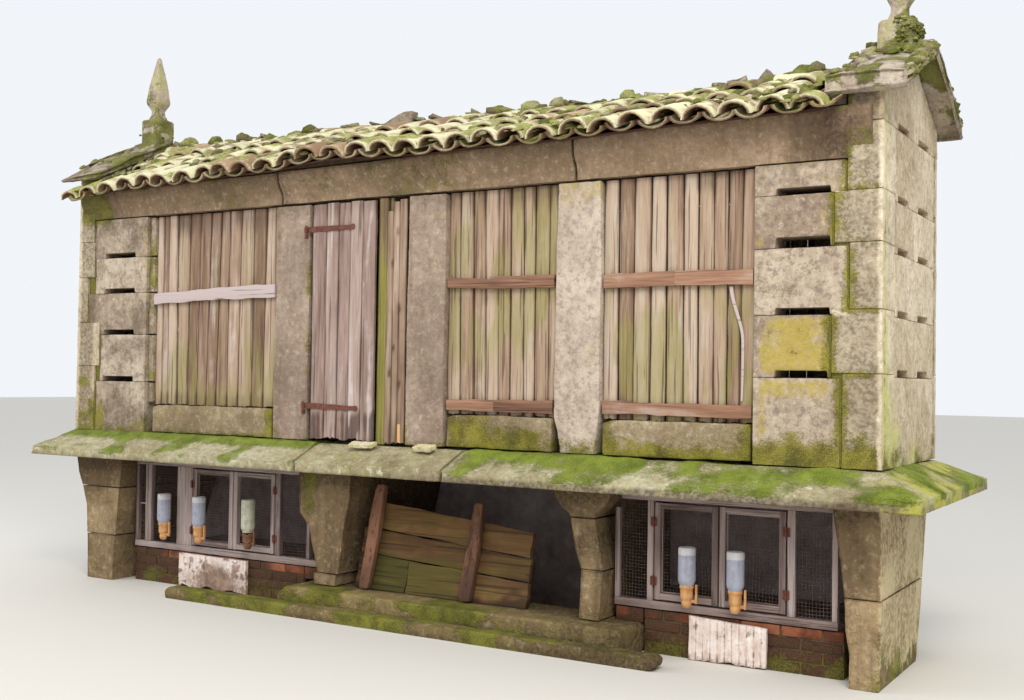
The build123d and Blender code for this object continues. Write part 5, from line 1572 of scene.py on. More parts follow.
def door_zone(x, y, z, v):
    g = fbm(np.stack([x * 14, 0 * x, z * 1.2], 1), 171, 3)
    moss = 0.10 + 0.32 * smooth(0.5, 0.62, g) * smooth(2.0, 1.3, z) + 0.40 * bell(x, -0.195, 0.015)
    low = smooth(1.36, 1.30, z)
    streak = fbm(np.stack([x * 60, 0 * x, z * 2.0], 1), 172, 2)
    # painted shade at the head under the lintel; the foot is darker too
    dark = 0.12 + 0.30 * low * smooth(0.34, 0.52, g) + 0.45 * low * smooth(0.46, 0.58, streak) + 0.30 * smooth(2.60, 2.72, z) + 0.25 * smooth(0.55, 0.7, g)
    return np.clip(moss, 0, 1), 0 * x, np.clip(dark, 0, 1)


bag = Bag()
cuts = [-0.713, -0.595, -0.490, -0.392, -0.290, -0.180]
for i in range(5):
    foot = (1.150, 1.154, 1.148, 1.152, 1.150)[i]
    board(bag, cuts[i] + 0.0015, cuts[i] + 0.0015, cuts[i + 1] - 0.0015, cuts[i + 1] - 0.0015, foot, 2.732 + 0.006 * (i % 2), -0.653 + 0.0015 * (i % 3), 0.022,
          800 + i, (0.35, 0.7, 0.5, 0.85, 0.4)[i], door_zone, cells=(0.012, 0.02, 0.035), fray=0.018 if i in (1, 2, 3) else 0.008, wave=0.0015)
piece("door_planks", bag, DOOR_WOOD, body="door", replaces=["door_leaf"])
bag = Bag()
for z in (2.565, 1.372):
    bar(bag, -0.695, -0.200, z - 0.052, z - 0.050, z + 0.052, z + 0.050, -0.628, -0.602, int(z * 100), 0.4, lambda x, y, z, v: (0.1 + 0 * x, 0 * x, 0.2 + 0 * x))
piece("door_ledges", bag, RAIL, body="door")

# long tapering straps with an eye and nail heads
bag = Bag()
for z, reach in ((2.565, -0.352), (1.372, -0.302)):
    s = lattice((0, 0, 0), (1, 1, 1), r=0.0001, cells=(0.03, 1.0, 0.25))
    u, w, t = s.v[:, 0].copy(), s.v[:, 1].copy(), s.v[:, 2].copy()
    half = 0.0195 - 0.006 * u + 0.006 * bell(u, 0.97, 0.05)
    half = np.where(u > 0.985, half * 0.6, half)
    xx = -0.752 + (reach + 0.752) * u
    drop = -0.010 * u if z < 2 else 0.004 * u
    zz = z + (t - 0.5) * 2 * half + drop + (fbm(np.stack([xx * 14, t * 3, 0 * t], 1), 51, 2) - 0.5) * 0.004
    yy = -0.6605 + 0.0055 * w + 0.0008 * np.sin(xx * 60)
    s.v = np.stack([xx, yy, zz], 1)
    bag.add(s, (0, 0, 0, 0.4))
    eye = lathe([(0.0066, -0.021), (0.0118, -0.0215), (0.0124, 0.0), (0.0118, 0.0215), (0.0066, 0.021)], (-0.762, -0.668, z), 18, close=False)
    inner = lathe([(0.0066, 0.021), (0.0066, -0.021)], (-0.762, -0.668, z), 18, close=False)
    bag.add(eye, (0, 0, 0, 0.5))
    bag.add(inner, (0, 0, 0, 0.5))
    for f in (0.18, 0.42, 0.66, 0.9):
        x = -0.752 + (reach + 0.752) * f
        nail = lathe([(0.0001, -0.0022), (0.0055, -0.0016), (0.0062, 0.0006), (0.0062, 0.0012)], (0, 0, 0), 10)
        nail.turn("X", math.pi / 2, (0, 0, 0)).move((x, -0.6612, z + (-0.010 * f if z < 2 else 0.004 * f)))
        bag.add(nail, (0, 0, 0, 0.7))
piece("strap_hinges", bag, IRON, body="door", replaces=["door_straps"])
bag = Bag()
for z in (2.565, 1.372):
    pin = lathe([(0.0005, -0.0400), (0.0055, -0.0385), (0.0060, -0.034), (0.0060, 0.028), (0.0045, 0.0315), (0.0005, 0.0320)], (-0.762, -0.668, z), 14)
    bag.add(pin, (0, 0, 0, 0.5))
    spike = lattice((-0.7695, -0.6755, z - 0.0595), (-0.7545, -0.650, z - 0.0265), r=0.003, cells=(0.01, 0.01, 0.01))
    bag.add(spike, (0, 0, 0, 0.5))
piece("pintles", bag, IRON, replaces=["door_pintles"])


def side_zone(x, y, z, v):
    g = fbm(np.stack([x * 20, 0 * x, z * 1.6], 1), 181, 3)
    knot = np.zeros_like(x)
    for kx, kz in ((-0.052, 2.31), (0.012, 2.02), (-0.030, 1.76), (0.020, 1.52), (-0.060, 1.60), (-0.010, 2.52)):
        knot = np.maximum(knot, np.exp(-((x - kx) / 0.011) ** 2 - ((z - kz) / 0.020) ** 2))
    moss = 0.14 + 0.30 * smooth(0.48, 0.62, g) * smooth(1.9, 1.4, z)
    # the head under the lintel gets painted shade
    dark = 0.14 + 0.34 * smooth(1.42, 1.2, z) * smooth(0.42, 0.56, g) + 0.22 * smooth(0.52, 0.66, g) + 0.25 * smooth(2.6, 2.72, z) + 0.8 * knot
    fresh = 0.95 * smooth(1.285, 1.255, z) * smooth(0.010, 0.014, x) * smooth(0.040, 0.034, x)
    return np.clip(moss * (1 - fresh), 0, 1), fresh, np.clip(dark * (1 - fresh), 0, 1)


def jamb_zone(x, y, z, v):
    f = fbm(v * (30, 8, 5), 183, 3)
    moss = 0.35 + 0.60 * smooth(2.5, 2.1, z) + 0.10 * smooth(0.4, 0.6, f)
    return np.clip(moss, 0, 1), 0 * x, np.clip(0.32 - 0.30 * smooth(2.4, 2.0, z) * smooth(0.30, 0.50, f), 0, 1)


# one wide board with open cracks, its head cut back beside the jamb
bag = Bag()
board(bag, -0.096, -0.094, -0.046, -0.044, 1.140, 2.655, -0.6385, 0.020, 820, 0.55, side_zone, cells=(0.008, 0.02, 0.030), fray=0.02, wave=0.0015)
board(bag, -0.0450, -0.0430, 0.0062, 0.0032, 1.138, 2.715, -0.6380, 0.020, 820, 0.60, side_zone, cells=(0.008, 0.02, 0.030), fray=0.02, wave=0.0010)
board(bag, 0.0066, 0.0038, 0.061, 0.061, 1.138, 2.728, -0.6375, 0.020, 820, 0.58, side_zone, cells=(0.008, 0.02, 0.030), fray=0.015, wave=0.0010)
piece("side_plank_boards", bag, SIDE_WOOD, replaces=["door_side_plank"])
bag = Bag()
board(bag, -0.171, -0.171, -0.098, -0.097, 1.134, 2.746, -0.6280, 0.080, 823, 0.1, jamb_zone, cells=(0.012, 0.02, 0.035), wave=0.001)
board(bag, -0.096, -0.095, -0.061, -0.061, 1.136, 2.746, -0.6110, 0.069, 824, 0.2, jamb_zone, cells=(0.02, 0.02, 0.06))
piece("door_jamb_post", bag, JAMB_WOOD)


# ---------------------------------------------------------------------------
# Roof: deck, barrel tiles in three courses, ridge, moss
# ---------------------------------------------------------------------------

EAVE_X = (-2.95, -2.61, -2.39, -2.18, -1.91, -1.50, -1.01, -0.81, -0.62, -0.43, -0.03, 0.35, 0.77, 1.16, 1.90, 2.66, 2.95)
EAVE_H = (2.878, 2.920, 2.926, 2.934, 2.925, 2.950, 2.952, 2.965, 2.996, 2.998, 2.978, 2.964, 2.980, 2.968, 2.984, 2.985, 2.985)
RIDGE_X = (-2.80, -2.47, -1.95, -1.57, -1.10, -0.66, -0.13, 0.26, 0.73, 1.17, 1.67, 2.06, 2.60)
RIDGE_H = (3.425, 3.420, 3.412, 3.405, 3.412, 3.405, 3.395, 3.385, 3.385, 3.375, 3.362, 3.385, 3.400)
EAVE = 0.872
PITCH = 0.40
SL = math.sqrt(1 + PITCH * PITCH)
ROOF_HALF = 2.80


def roof_z(x, y):
    """Plane in which the two layers of tiles meet."""
    t = 1 - np.abs(y) / EAVE
    low = np.interp(x, EAVE_X, EAVE_H) + 0.036
    high = np.interp(x, RIDGE_X, RIDGE_H) - 0.040
    return low + (high - low) * t


def tile(bag, x, s0, length, radius, taper, side, up, seed, rnd, lift=0.0, yaw=0.0, roll=0.0, pitch=0.0, deep=0.80, arc=8, rings=6,
         row=None, green=0.0, old=0.0):
    """Half barrel; s0 is the lower end's distance up the slope from the eave."""
    phi = np.linspace(0.04, math.pi - 0.04, arc + 1)
    outer = np.stack([np.cos(phi), np.sin(phi) * deep], 1)
    ls = np.linspace(0, 1, rings)
    ring = []
    for l in ls:
        r = radius * (1 - taper * l)
        th = 0.0125 + 0.008 * (1 - l) ** 5
        o = outer * r
        ring.append(np.concatenate([o, (outer * (r - th))[::-1]]))
    ring = np.array(ring)
    k = ring.shape[1]
    half = arc + 1
    lat, nor = ring[:, :, 0], ring[:, :, 1] * (1 if up > 0 else -1)
    lon = np.repeat((ls * length)[:, None], k, 1)
    # chipped, uneven ends
    a = np.stack([lat[0] * 30, nor[0] * 30, np.full(k, seed * 1.0)], 1)
    lon[0] += 0.016 * (noise(a, seed) - 0.3)
    lon[-1] -= 0.010 * noise(a + 5, seed)
    lat, nor, lon = lat.ravel(), nor.ravel(), lon.ravel()
    w = fbm(np.stack([lat * 11, lon * 8, np.full(len(lat), seed * 0.7)], 1), seed, 3) - 0.5
    isout = np.tile(np.concatenate([np.ones(half, bool), np.zeros(half, bool)]), rings)
    nor = nor + w * 0.016
    lon01 = np.clip(lon / length, 0, 1)
    ca, sa = math.cos(yaw), math.sin(yaw)
    lat, lon = lat * ca - lon * sa, lat * sa + lon * ca
    nor = nor + lat * roll + (lon - length / 2) * pitch + lift
    if row is None:
        y = side * (EAVE - (s0 + lon) / SL)
        xx = x + lat
        v = np.stack([xx, y + nor * side * PITCH / SL, roof_z(xx, y) + nor / SL], 1)
    else:
        v = np.stack([x + lon, row[0] + lat, row[1] + nor], 1)
    r, c = np.meshgrid(np.arange(rings - 1), np.arange(k), indexing="ij")
    r, c = r.ravel(), c.ravel()
    c2 = (c + 1) % k
    q = np.stack([r * k + c, r * k + c2, (r + 1) * k + c2, (r + 1) * k + c], 1)
    caps = []
    b = (rings - 1) * k
    for m in range(arc):
        caps.append([k - 1 - m, k - 2 - m, m + 1, m])
        caps.append([b + m, b + m + 1, b + k - 2 - m, b + k - 1 - m])
    q = np.concatenate([q, np.array(caps)])
    vol = np.einsum("ij,ij->i", v[q[:, 0]], np.cross(v[q[:, 1]] - v[q[:, 0]], v[q[:, 2]] - v[q[:, 0]])).sum() \
        + np.einsum("ij,ij->i", v[q[:, 0]], np.cross(v[q[:, 2]] - v[q[:, 0]], v[q[:, 3]] - v[q[:, 0]])).sum()
    if vol < 0:
        q = q[:, ::-1]
    sky = isout if up > 0 else ~isout
    f = fbm(v * 6, 71, 3)
    f2 = fbm(v * 21, 72, 3)
    crust = np.where(sky, 0.30 + 0.70 * smooth(0.38, 0.58, f2), 0.10) * (1 - old)
    lip = 1 - smooth(0.0, 0.16, lon01)
    crust = np.clip(crust + np.where(sky, 0.45, 0.05) * lip * (1 - 0.6 * old), 0, 1)
    moss = np.clip(smooth(0.46, 0.62, f) * 0.78 + 0.30 * smooth(0.56, 0.68, f2) + green, 0, 1)
    moss = np.where(sky, moss * (1 - 0.55 * lip), 0.05)
    # faces turned away from the sky get painted shade over their clay
    dark = np.where(sky, 0.06 + 0.20 * smooth(0.55, 0.35, f2), 0.86)
    # pans lie between and under the covers: their upper faces get painted shade too
    if up < 0:
        dark = np.where(sky, 0.36, 0.86)
        crust = crust * 0.75
        moss = np.where(sky, np.clip(moss + 0.3, 0, 1), 0.05)
    bag.add(Solid(v, q), np.stack([moss, crust, dark, np.full(len(v), rnd)], 1))


def blob(bag, centre, radius, height, seed, rnd, zone, n=12, m=6, turn=0.0, stretch=1.0, mat=0, lump=0.45, tilt=0.0):
    """Low cushion with an uneven outline."""
    th = np.linspace(0, math.pi, m + 1)
    ph = np.arange(n) / n * 2 * math.pi
    v = [[0, 0, -0.35]]
    for a in th[1:-1][::-1]:
        z = math.cos(a)
        for p in ph:
            v.append([math.sin(a) * math.cos(p) * stretch, math.sin(a) * math.sin(p), z if z > 0 else z * 0.35])
    v.append([0, 0, 1])
    v = np.array(v)
    d = fbm(v * 1.9 + seed * 3.1, seed, 3) - 0.5
    v = v * (1 + 2 * lump * d)[:, None]
    c, s = math.cos(turn), math.sin(turn)
    v[:, 0], v[:, 1] = v[:, 0] * c - v[:, 1] * s, v[:, 0] * s + v[:, 1] * c
    v = v * (radius, radius, height)
    v[:, 2] += tilt * v[:, 1]
    v += centre
    q, t = [], []
    rows = m - 1
    for i in range(rows - 1):
        for j in range(n):
            j2 = (j + 1) % n
            q.append([1 + i * n + j, 1 + i * n + j2, 1 + (i + 1) * n + j2, 1 + (i + 1) * n + j])
    last = len(v) - 1
    for j in range(n):
        j2 = (j + 1) % n
        t.append([0, 1 + j2, 1 + j])
        t.append([last, 1 + (rows - 1) * n + j, 1 + (rows - 1) * n + j2])
    s = Solid(v, q, t)
    bag.add(s, masked(rnd, zone) if callable(zone) else (*zone, rnd), mat)


def tiled_slope(name, side, node, seed):
    rng = np.random.default_rng(seed)
    bag = Bag()
    pitch_x = 0.1965
    n = int(2 * (ROOF_HALF - 0.06) / pitch_x)
    x0 = -n * pitch_x / 2
    length, step = 0.405, 0.298
    for course in range(3):
        last = course == 2
        for i in range(n + 1):
            x = x0 + i * pitch_x + rng.normal() * 0.004
            drop = rng.normal() * 0.008 + (0.0 if course else 0.028)
            tile(bag, x, course * step + drop, length if not last else 0.345, 0.097, 0.10, side, -1, seed + course * 100 + i, rng.random(),
                 lift=rng.normal() * 0.002, yaw=rng.normal() * 0.012, roll=rng.normal() * 0.03, deep=0.58, rings=4)
        for i in range(n):
            x = x0 + (i + 0.5) * pitch_x + rng.normal() * 0.007
            drop = rng.normal() * 0.012 - (0.0 if course else 0.004)
            if course and rng.random() < 0.04:
                drop += 0.05
            tile(bag, x, course * step + drop, length if not last else 0.35, 0.097, 0.15, side, 1, seed + 300 + course * 100 + i, rng.random(),
                 lift=-0.030 + 0.008 * course + rng.normal() * 0.005, yaw=rng.normal() * 0.030, roll=rng.normal() * 0.05,
                 pitch=-0.035 + rng.normal() * 0.012, old=0.75 if rng.random() < 0.13 else 0.0)
    # short end tiles in front of the copings
    for x, g, r in ((-2.875, 0.75, 0.092), (2.838, 0.25, 0.070)):
        tile(bag, x, 0.0, 0.16, r, 0.05, side, -1, seed + 900, 0.4, deep=0.55, rings=4, green=g)
    for x, reach, g in ((-2.972, 0.13, 0.55), (-2.768, 0.17, 0.25), (2.748, 0.15, 0.20)):
        tile(bag, x, 0.004, reach, 0.094, 0.06, side, 1, seed + 950, 0.55, lift=-0.032, deep=0.76, rings=5, green=g)
    for k in range(10):
        blob(bag, (-2.875 + rng.normal() * 0.030, side * (EAVE - 0.03 - 0.10 * rng.random()), float(roof_z(np.array(-2.875), np.array(0.80))) - 0.012 + rng.normal() * 0.010),
             rng.uniform(0.018, 0.030), rng.uniform(0.012, 0.022), int(rng.integers(1e6)), rng.random(), (0.9, 0.1, 0.25), 10, 6, rng.uniform(0, 6.28), 1.2, 0, 0.6)
    piece(name, bag, TILE, replaces=[node], angle=60)
    # boards and earth that carry the tiles
    deck = Bag()
    ys = np.linspace(0.772, 0.004, 9)
    for ya, yb in zip(ys[:-1], ys[1:]):
        s = lattice((0, 0, 0), (1, 1, 1), r=0.0001, cells=(1 / 30, 1.0, 1.0))
        u, w, t = s.v[:, 0].copy(), s.v[:, 1].copy(), s.v[:, 2].copy()
        xx = -ROOF_HALF + 0.004 + (2 * ROOF_HALF - 0.008) * u
        yy = ya + (yb + 0.004 - ya) * w
        s.v = np.stack([xx, side * yy, roof_z(xx, yy) - 0.074 + 0.014 * t], 1)
        if side > 0:
            s.q = s.q[:, ::-1]
        deck.add(s, (0.10, 0.0, 0.85, float(rng.random())))
    fill = lattice((0, 0, 0), (1, 1, 1), r=0.0001, cells=(1 / 40, 1.0, 1.0))
    u, w, t = fill.v[:, 0].copy(), fill.v[:, 1].copy(), fill.v[:, 2].copy()
    xx = -ROOF_HALF + 0.01 + (2 * ROOF_HALF - 0.02) * u
    yy = 0.48 + 0.20 * w + 0.03 * (fbm(np.stack([xx * 9, t * 3, 0 * t], 1), 5, 3) - 0.3) * (w > 0.9)
    lo = 3.0 + CLIMB * xx - 0.004
    hi = np.maximum(roof_z(xx, yy) - 0.066, lo + 0.004)
    fill.v = np.stack([xx, side * yy, lo + (hi - lo) * t], 1)
    if side < 0:
        fill.q = fill.q[:, ::-1]
    deck.add(fill, (0.1, 0.0, 0.8, 0.4), 1)
    piece(name + "_deck", deck, [RAIL, MORTAR])


tiled_slope("roof_tiles_front", -1, "roof_front_slope", 5100)
tiled_slope("roof_tiles_rear", 1, "roof_rear_slope", 5900)


def moss_zone(x, y, z, v):
    g = fbm(v * 5, 97, 2)
    return 0.6 + 0 * x, smooth(0.40, 0.58, g) * 0.85, 0.35 * (1 - g)


def roof_moss(name, side, seed, count):
    rng = np.random.default_rng(seed)
    bag = Bag()
    made = 0
    while made < count:
        x = rng.uniform(-2.76, 2.76)
        s = rng.random() ** 0.85 * 0.93
        y = side * (EAVE - s / SL)
        d = fbm(np.array([[x * 1.6, s * 4.0, seed * 0.1]]), 98, 3)[0]
        if d < 0.38 + 0.20 * rng.random() * (1 - s):
            continue
        r = rng.uniform(0.010, 0.040) * (1 + 0.6 * (d - 0.4)) * (0.70 + 0.50 * s)
        h = r * rng.uniform(0.45, 0.85)
        z = roof_z(x, y) + rng.uniform(0.000, 0.038)
        blob(bag, (x, y, z), r, h, int(rng.integers(1e6)), rng.random(), moss_zone, 9, 4, rng.uniform(0, 6.28), rng.uniform(1.0, 1.9), 0, 0.6, -side * PITCH * 0.9)
        made += 1
    piece(name, bag, PILLOW, angle=80)


roof_moss("roof_moss_front", -1, 61, 1450)
roof_moss("roof_moss_rear", 1, 67, 850)

# ridge: bedded tiles, some askew, with stones and high cushions
rng = np.random.default_rng(71)
bag, cushions = Bag(), Bag()
x = -2.79
i = 0
while x < 2.62:
    length = rng.uniform(0.34, 0.41)
    top = np.interp(x + 0.2, RIDGE_X, RIDGE_H)
    tile(bag, x, 1.0, min(length, 2.795 - x), 0.100, 0.10, 1, 1, 7000 + i, rng.random(), lift=0.0, yaw=rng.normal() * 0.03,
         roll=rng.normal() * 0.08, pitch=-0.03 + rng.normal() * 0.015, row=(rng.normal() * 0.008, top - 0.080 + rng.normal() * 0.006),
         old=0.5 if rng.random() < 0.25 else 0.0)
    x += length - 0.055
    i += 1
piece("ridge_tiles", bag, TILE, replaces=["ridge_cap"], angle=60)

bed = Bag()
s = extr([(-0.115, -0.115), (0.115, -0.115), (0.080, -0.045), (0.0, -0.020), (-0.080, -0.045)], "x", -2.795, 2.795, 0.045, 0.01)
s.v[:, 2] += np.interp(s.v[:, 0], RIDGE_X, RIDGE_H)
s.rough(0.018, 9, 7100, 3)
bed.add(s, (0.55, 0.3, 0.45, 0.5))
piece("ridge_bedding", bed, MORTAR)

mounds = [(x, 0.055, 0.055) for x in (-2.57, -2.28, -1.98, -1.30, 0.36, 0.62, 0.82, 1.33, 2.47, 2.55)]
mounds += [(-2.52, 0.04, 0.03), (-1.93, 0.05, 0.03), (-1.24, 0.05, 0.03), (0.43, 0.05, 0.03), (1.41, 0.05, 0.03), (2.40, 0.05, 0.03), (-0.88, 0.04, 0.03)]
for k in range(120):
    mounds.append((rng.uniform(-2.76, 2.76), rng.uniform(0.022, 0.050), None))
for x, r, h in mounds:
    y = 0.0 if h else rng.normal() * 0.070
    h2 = h if h else r * rng.uniform(0.35, 0.65)
    z = np.interp(x, RIDGE_X, RIDGE_H) - 0.006 - abs(y) * 0.55 + rng.uniform(-0.010, 0.004)
    blob(cushions, (x, y - (0.02 if h else 0), z), r, h2, int(rng.integers(1e6)), rng.random(), moss_zone, 11, 6, rng.uniform(0, 6.28), rng.uniform(1.0, 1.5), 0, 0.5)
piece("ridge_moss", cushions, PILLOW, angle=80)

# broken tiles and stones wedged along the ridge
stones = Bag()
for outline in ([(-0.60, 3.365), (-0.335, 3.350), (-0.325, 3.462), (-0.40, 3.466), (-0.52, 3.425), (-0.575, 3.400)],
                [(2.165, 3.350), (2.315, 3.345), (2.300, 3.400), (2.262, 3.448), (2.225, 3.415)]):
    s = extr(outline, "y", -0.075, 0.015, 0.02, 0.008)
    s.rough(0.020, 13, int(9000 + 100 * outline[0][0]), 3)
    stones.add(s, (0.15, 0.25, 0.55, 0.4))
for (x, sx, sy, sz, tilt, turn) in (
        (-0.16, 0.06, 0.05, 0.022, 0.2, 1.0), (-0.70, 0.05, 0.04, 0.020, 0.2, 0.3), (2.06, 0.07, 0.05, 0.030, -0.3, 0.4), (1.95, 0.06, 0.05, 0.022, 0.1, 0.2),
        (-1.75, 0.06, 0.05, 0.020, 0.2, 0.7), (-2.66, 0.07, 0.05, 0.025, 0.3, 0.1), (-0.95, 0.06, 0.05, 0.018, -0.2, 0.5),
        (0.95, 0.06, 0.05, 0.018, 0.15, 0.6), (1.50, 0.06, 0.05, 0.022, 0.1, 0.4), (-0.30, 0.05, 0.05, 0.02, 0.1, 0.4)):
    s = lattice((-sx, -sy, -sz), (sx, sy, sz), r=0.014, cells=(0.016, 0.016, 0.016))
    s.rough(0.026, 14, int(1000 * (x + 5)), 3)
    s.turn("Y", tilt, (0, 0, 0)).turn("Z", turn, (0, 0, 0)).move((x, -0.01, float(np.interp(x, RIDGE_X, RIDGE_H)) + 0.004))
    stones.add(s, (0.42, 0.35, 0.35, float(rng.random())))
piece("ridge_stones", stones, COPING)


# ---------------------------------------------------------------------------
# Gable copings and finials
# ---------------------------------------------------------------------------

COPE_LOW, COPE_HIGH, COPE_Y = 3.09, 3.43, 0.73
GRADE = (COPE_HIGH - COPE_LOW) / COPE_Y


def cope_lift(side):
    return CLIMB * side * 3.0 - (0.050 if side > 0 else 0.0)


def cope_zone(x, y, z, v):
    f = fbm(v * 5, 121, 3)
    f2 = fbm(v * 16, 122, 3)
    moss = 0.75 * smooth(0.50, 0.66, f) + 0.35 * smooth(0.52, 0.66, f2)
    # the underside gets painted shade and little moss
    under = smooth(0.035, -0.010, z - (COPE_HIGH - np.abs(y) * GRADE + CLIMB * np.sign(x) * 3.0 - 0.050 * (x > 0)))
    moss = np.where(x < 0, moss + 0.25, moss + 0.30 * smooth(3.08, 3.20, x))
    return np.clip(moss * (1 - 0.8 * under), 0, 1), 0.45 * smooth(0.45, 0.62, f2), np.clip(0.16 + 0.26 * smooth(0.42, 0.60, fbm(v * 7, 124, 3)) + 0.50 * under, 0, 1)


def cope(bag, side, face, seed, low=0.09, high=0.09, dome=0.02, tip=0.0, sunk=0.0, drop=0.0):
    """One sloping slab; face -1 is the front."""
    lift = cope_lift(side)
    s = lattice((0, 0, 0), (1, 1, 1), r=0.02, cells=(0.045, 0.030, 0.25))
    u, w, t = s.v[:, 0].copy(), s.v[:, 1].copy(), s.v[:, 2].copy()
    x0, x1 = 2.795, 3.232
    ax = x0 + (x1 - x0) * u
    yy = (COPE_Y - 0.004) * (1 - w) + 0.001
    th = low + (high - low) * smooth(0.0, 0.5, w)
    th = th * (1 - tip * u * (1 - smooth(0.0, 0.45, w)))
    z = COPE_LOW + (COPE_Y - yy) * GRADE + lift + 0.001
    top = dome * np.sin(math.pi * np.clip(u, 0, 1)) ** 0.8 * (0.4 + 0.6 * smooth(0.0, 0.15, w))
    zz = z - sunk * (1 - t) + t * (th + top) + drop * (1 - smooth(0, 0.4, w))
    s.v = np.stack([side * ax, face * yy, zz], 1)
    if side * face > 0:
        s.q = s.q[:, ::-1]
    s.rough(0.030, 5.5, seed, 4)
    s.rough(0.010, 19, seed + 1, 3)
    s.v[:, 0] = side * np.clip(np.abs(s.v[:, 0]), 2.775, 3.236)
    bag.add(s, masked(0.5 + 0.2 * side, cope_zone))


for side, name in ((-1, "left"), (1, "right")):
    rng = np.random.default_rng(8100 + side)
    bag = Bag()
    if side > 0:
        cope(bag, side, -1, 8110, 0.105, 0.070, 0.030)
        cope(bag, side, 1, 8120, 0.090, 0.070, 0.012, drop=-0.012)
    else:
        cope(bag, side, -1, 8130, 0.050, 0.080, 0.015, tip=0.55)
        cope(bag, side, 1, 8140, 0.080, 0.085, 0.012)
    # shoulder stones between lintel and slab; their full dark mask is painted shade
    seat = 3.0 + CLIMB * side * 2.85
    for face in (-1, 1):
        lift = cope_lift(side)
        pts = [(face * 0.648, seat + 0.001), (face * 0.452, seat + 0.001), (face * 0.452, COPE_HIGH - 0.452 * GRADE + lift - 0.002),
               (face * 0.648, COPE_HIGH - 0.648 * GRADE + lift - 0.002)]
        a, b = sorted((side * 2.803, side * 2.899))
        s = extr(pts, "x", a, b, 0.03, 0.008)
        s.rough(0.010, 10, 8150 + face + 3 * side, 3)
        bag.add(s, (0.30, 0.0, 1.0, float(rng.random())))
    piece("coping_" + name + "_stone", bag, COPING, replaces=["coping_" + name])

    # cushions that spill over the slabs
    bag = Bag()
    lift = cope_lift(side)
    spots = []
    if side > 0:
        for k in range(120):
            y = -rng.uniform(0.0, 0.66)
            spots.append((3.205 + rng.normal() * 0.020, y, 0.062 + rng.uniform(-0.045, 0.010), rng.uniform(0.018, 0.040)))
        for k in range(34):
            spots.append((rng.uniform(2.86, 3.2), rng.normal() * 0.14, 0.085, rng.uniform(0.018, 0.040)))
        for k in range(26):
            spots.append((3.20 + rng.normal() * 0.018, rng.uniform(0.35, 0.70), 0.07, rng.uniform(0.015, 0.032)))
        for k in range(16):
            spots.append((rng.uniform(2.82, 2.95), rng.uniform(-0.66, -0.2), 0.10, rng.uniform(0.015, 0.03)))
    else:
        for k in range(46):
            spots.append((rng.uniform(2.82, 3.2), rng.uniform(-0.66, 0.66), 0.078, rng.uniform(0.014, 0.030)))
    for ax, y, dz, r in spots:
        ax = min(ax, 3.225 - r * 0.55)
        z = COPE_HIGH - abs(y) * GRADE + lift + dz
        blob(bag, (side * ax, y, z), r, r * rng.uniform(0.5, 0.8), int(rng.integers(1e6)), rng.random(),
             (0.6, 0.75 if rng.random() < 0.35 else 0.15, 0.1), 9, 5, rng.uniform(0, 6.28), rng.uniform(1.0, 1.4), 0, 0.55, (1 if y < 0 else -1) * GRADE)
    piece("coping_moss_" + name, bag, PILLOW, angle=80)


def square_stack(levels, x, seed, step=0.022, per_side=8, amp=0.012):
    """Square section that follows (z, half, rounding) levels, closed at both ends."""
    zs, hs, rs = [], [], []
    for (za, ha, ra), (zb, hb, rb) in zip(levels, levels[1:]):
        n = max(1, int(round(math.hypot(zb - za, hb - ha) / step)))
        for k in range(n):
            t = k / n
            zs.append(za + (zb - za) * t)
            hs.append(ha + (hb - ha) * t)
            rs.append(ra + (rb - ra) * t)
    zs.append(levels[-1][0])
    hs.append(levels[-1][1])
    rs.append(levels[-1][2])
    n = per_side * 4
    a = (np.arange(n) + 0.5) / n * 2 * math.pi
    c, s = np.cos(a), np.sin(a)
    v = []
    for z, h, r in zip(zs, hs, rs):
        m = 1.0 / np.maximum(np.abs(c), np.abs(s))
        m = m * (1 - r) + 1.12 * r if r > 0 else m
        m = np.minimum(m, 1.30)
        v.append(np.stack([x + h * c * m, h * s * m, np.full(n, z)], 1))
    rows = len(v)
    v = np.concatenate(v + [np.array([[x, 0, zs[0]], [x, 0, zs[-1] + hs[-1] * 0.35]])])
    q, t = [], []
    for i in range(rows - 1):
        for j in range(n):
            j2 = (j + 1) % n
            q.append([i * n + j, i * n + j2, (i + 1) * n + j2, (i + 1) * n + j])
    for j in range(n):
        j2 = (j + 1) % n
        t.append([rows * n, j2, j])
        t.append([rows * n + 1, (rows - 1) * n + j, (rows - 1) * n + j2])
    out = Solid(v, q, t)
    out.rough(amp, 10, seed, 4)
    return out


def finial_zone(x, y, z, v):
    f = fbm(v * 9, 131, 3)
    low = smooth(3.78, 3.55, z) * np.where(x > 0, 0.9 + 1.4 * (x > 3.03), 1.0)
    # a band round the neck, under the bulge, gets painted shade
    return 0.50 * smooth(0.50, 0.64, f) + 0.25 * low, 0.20 + 0.40 * smooth(0.42, 0.58, fbm(v * 14, 132, 3)), 0.22 * (1 - f) + 0.15 * smooth(3.83, 3.74, z) * smooth(3.66, 3.70, z)


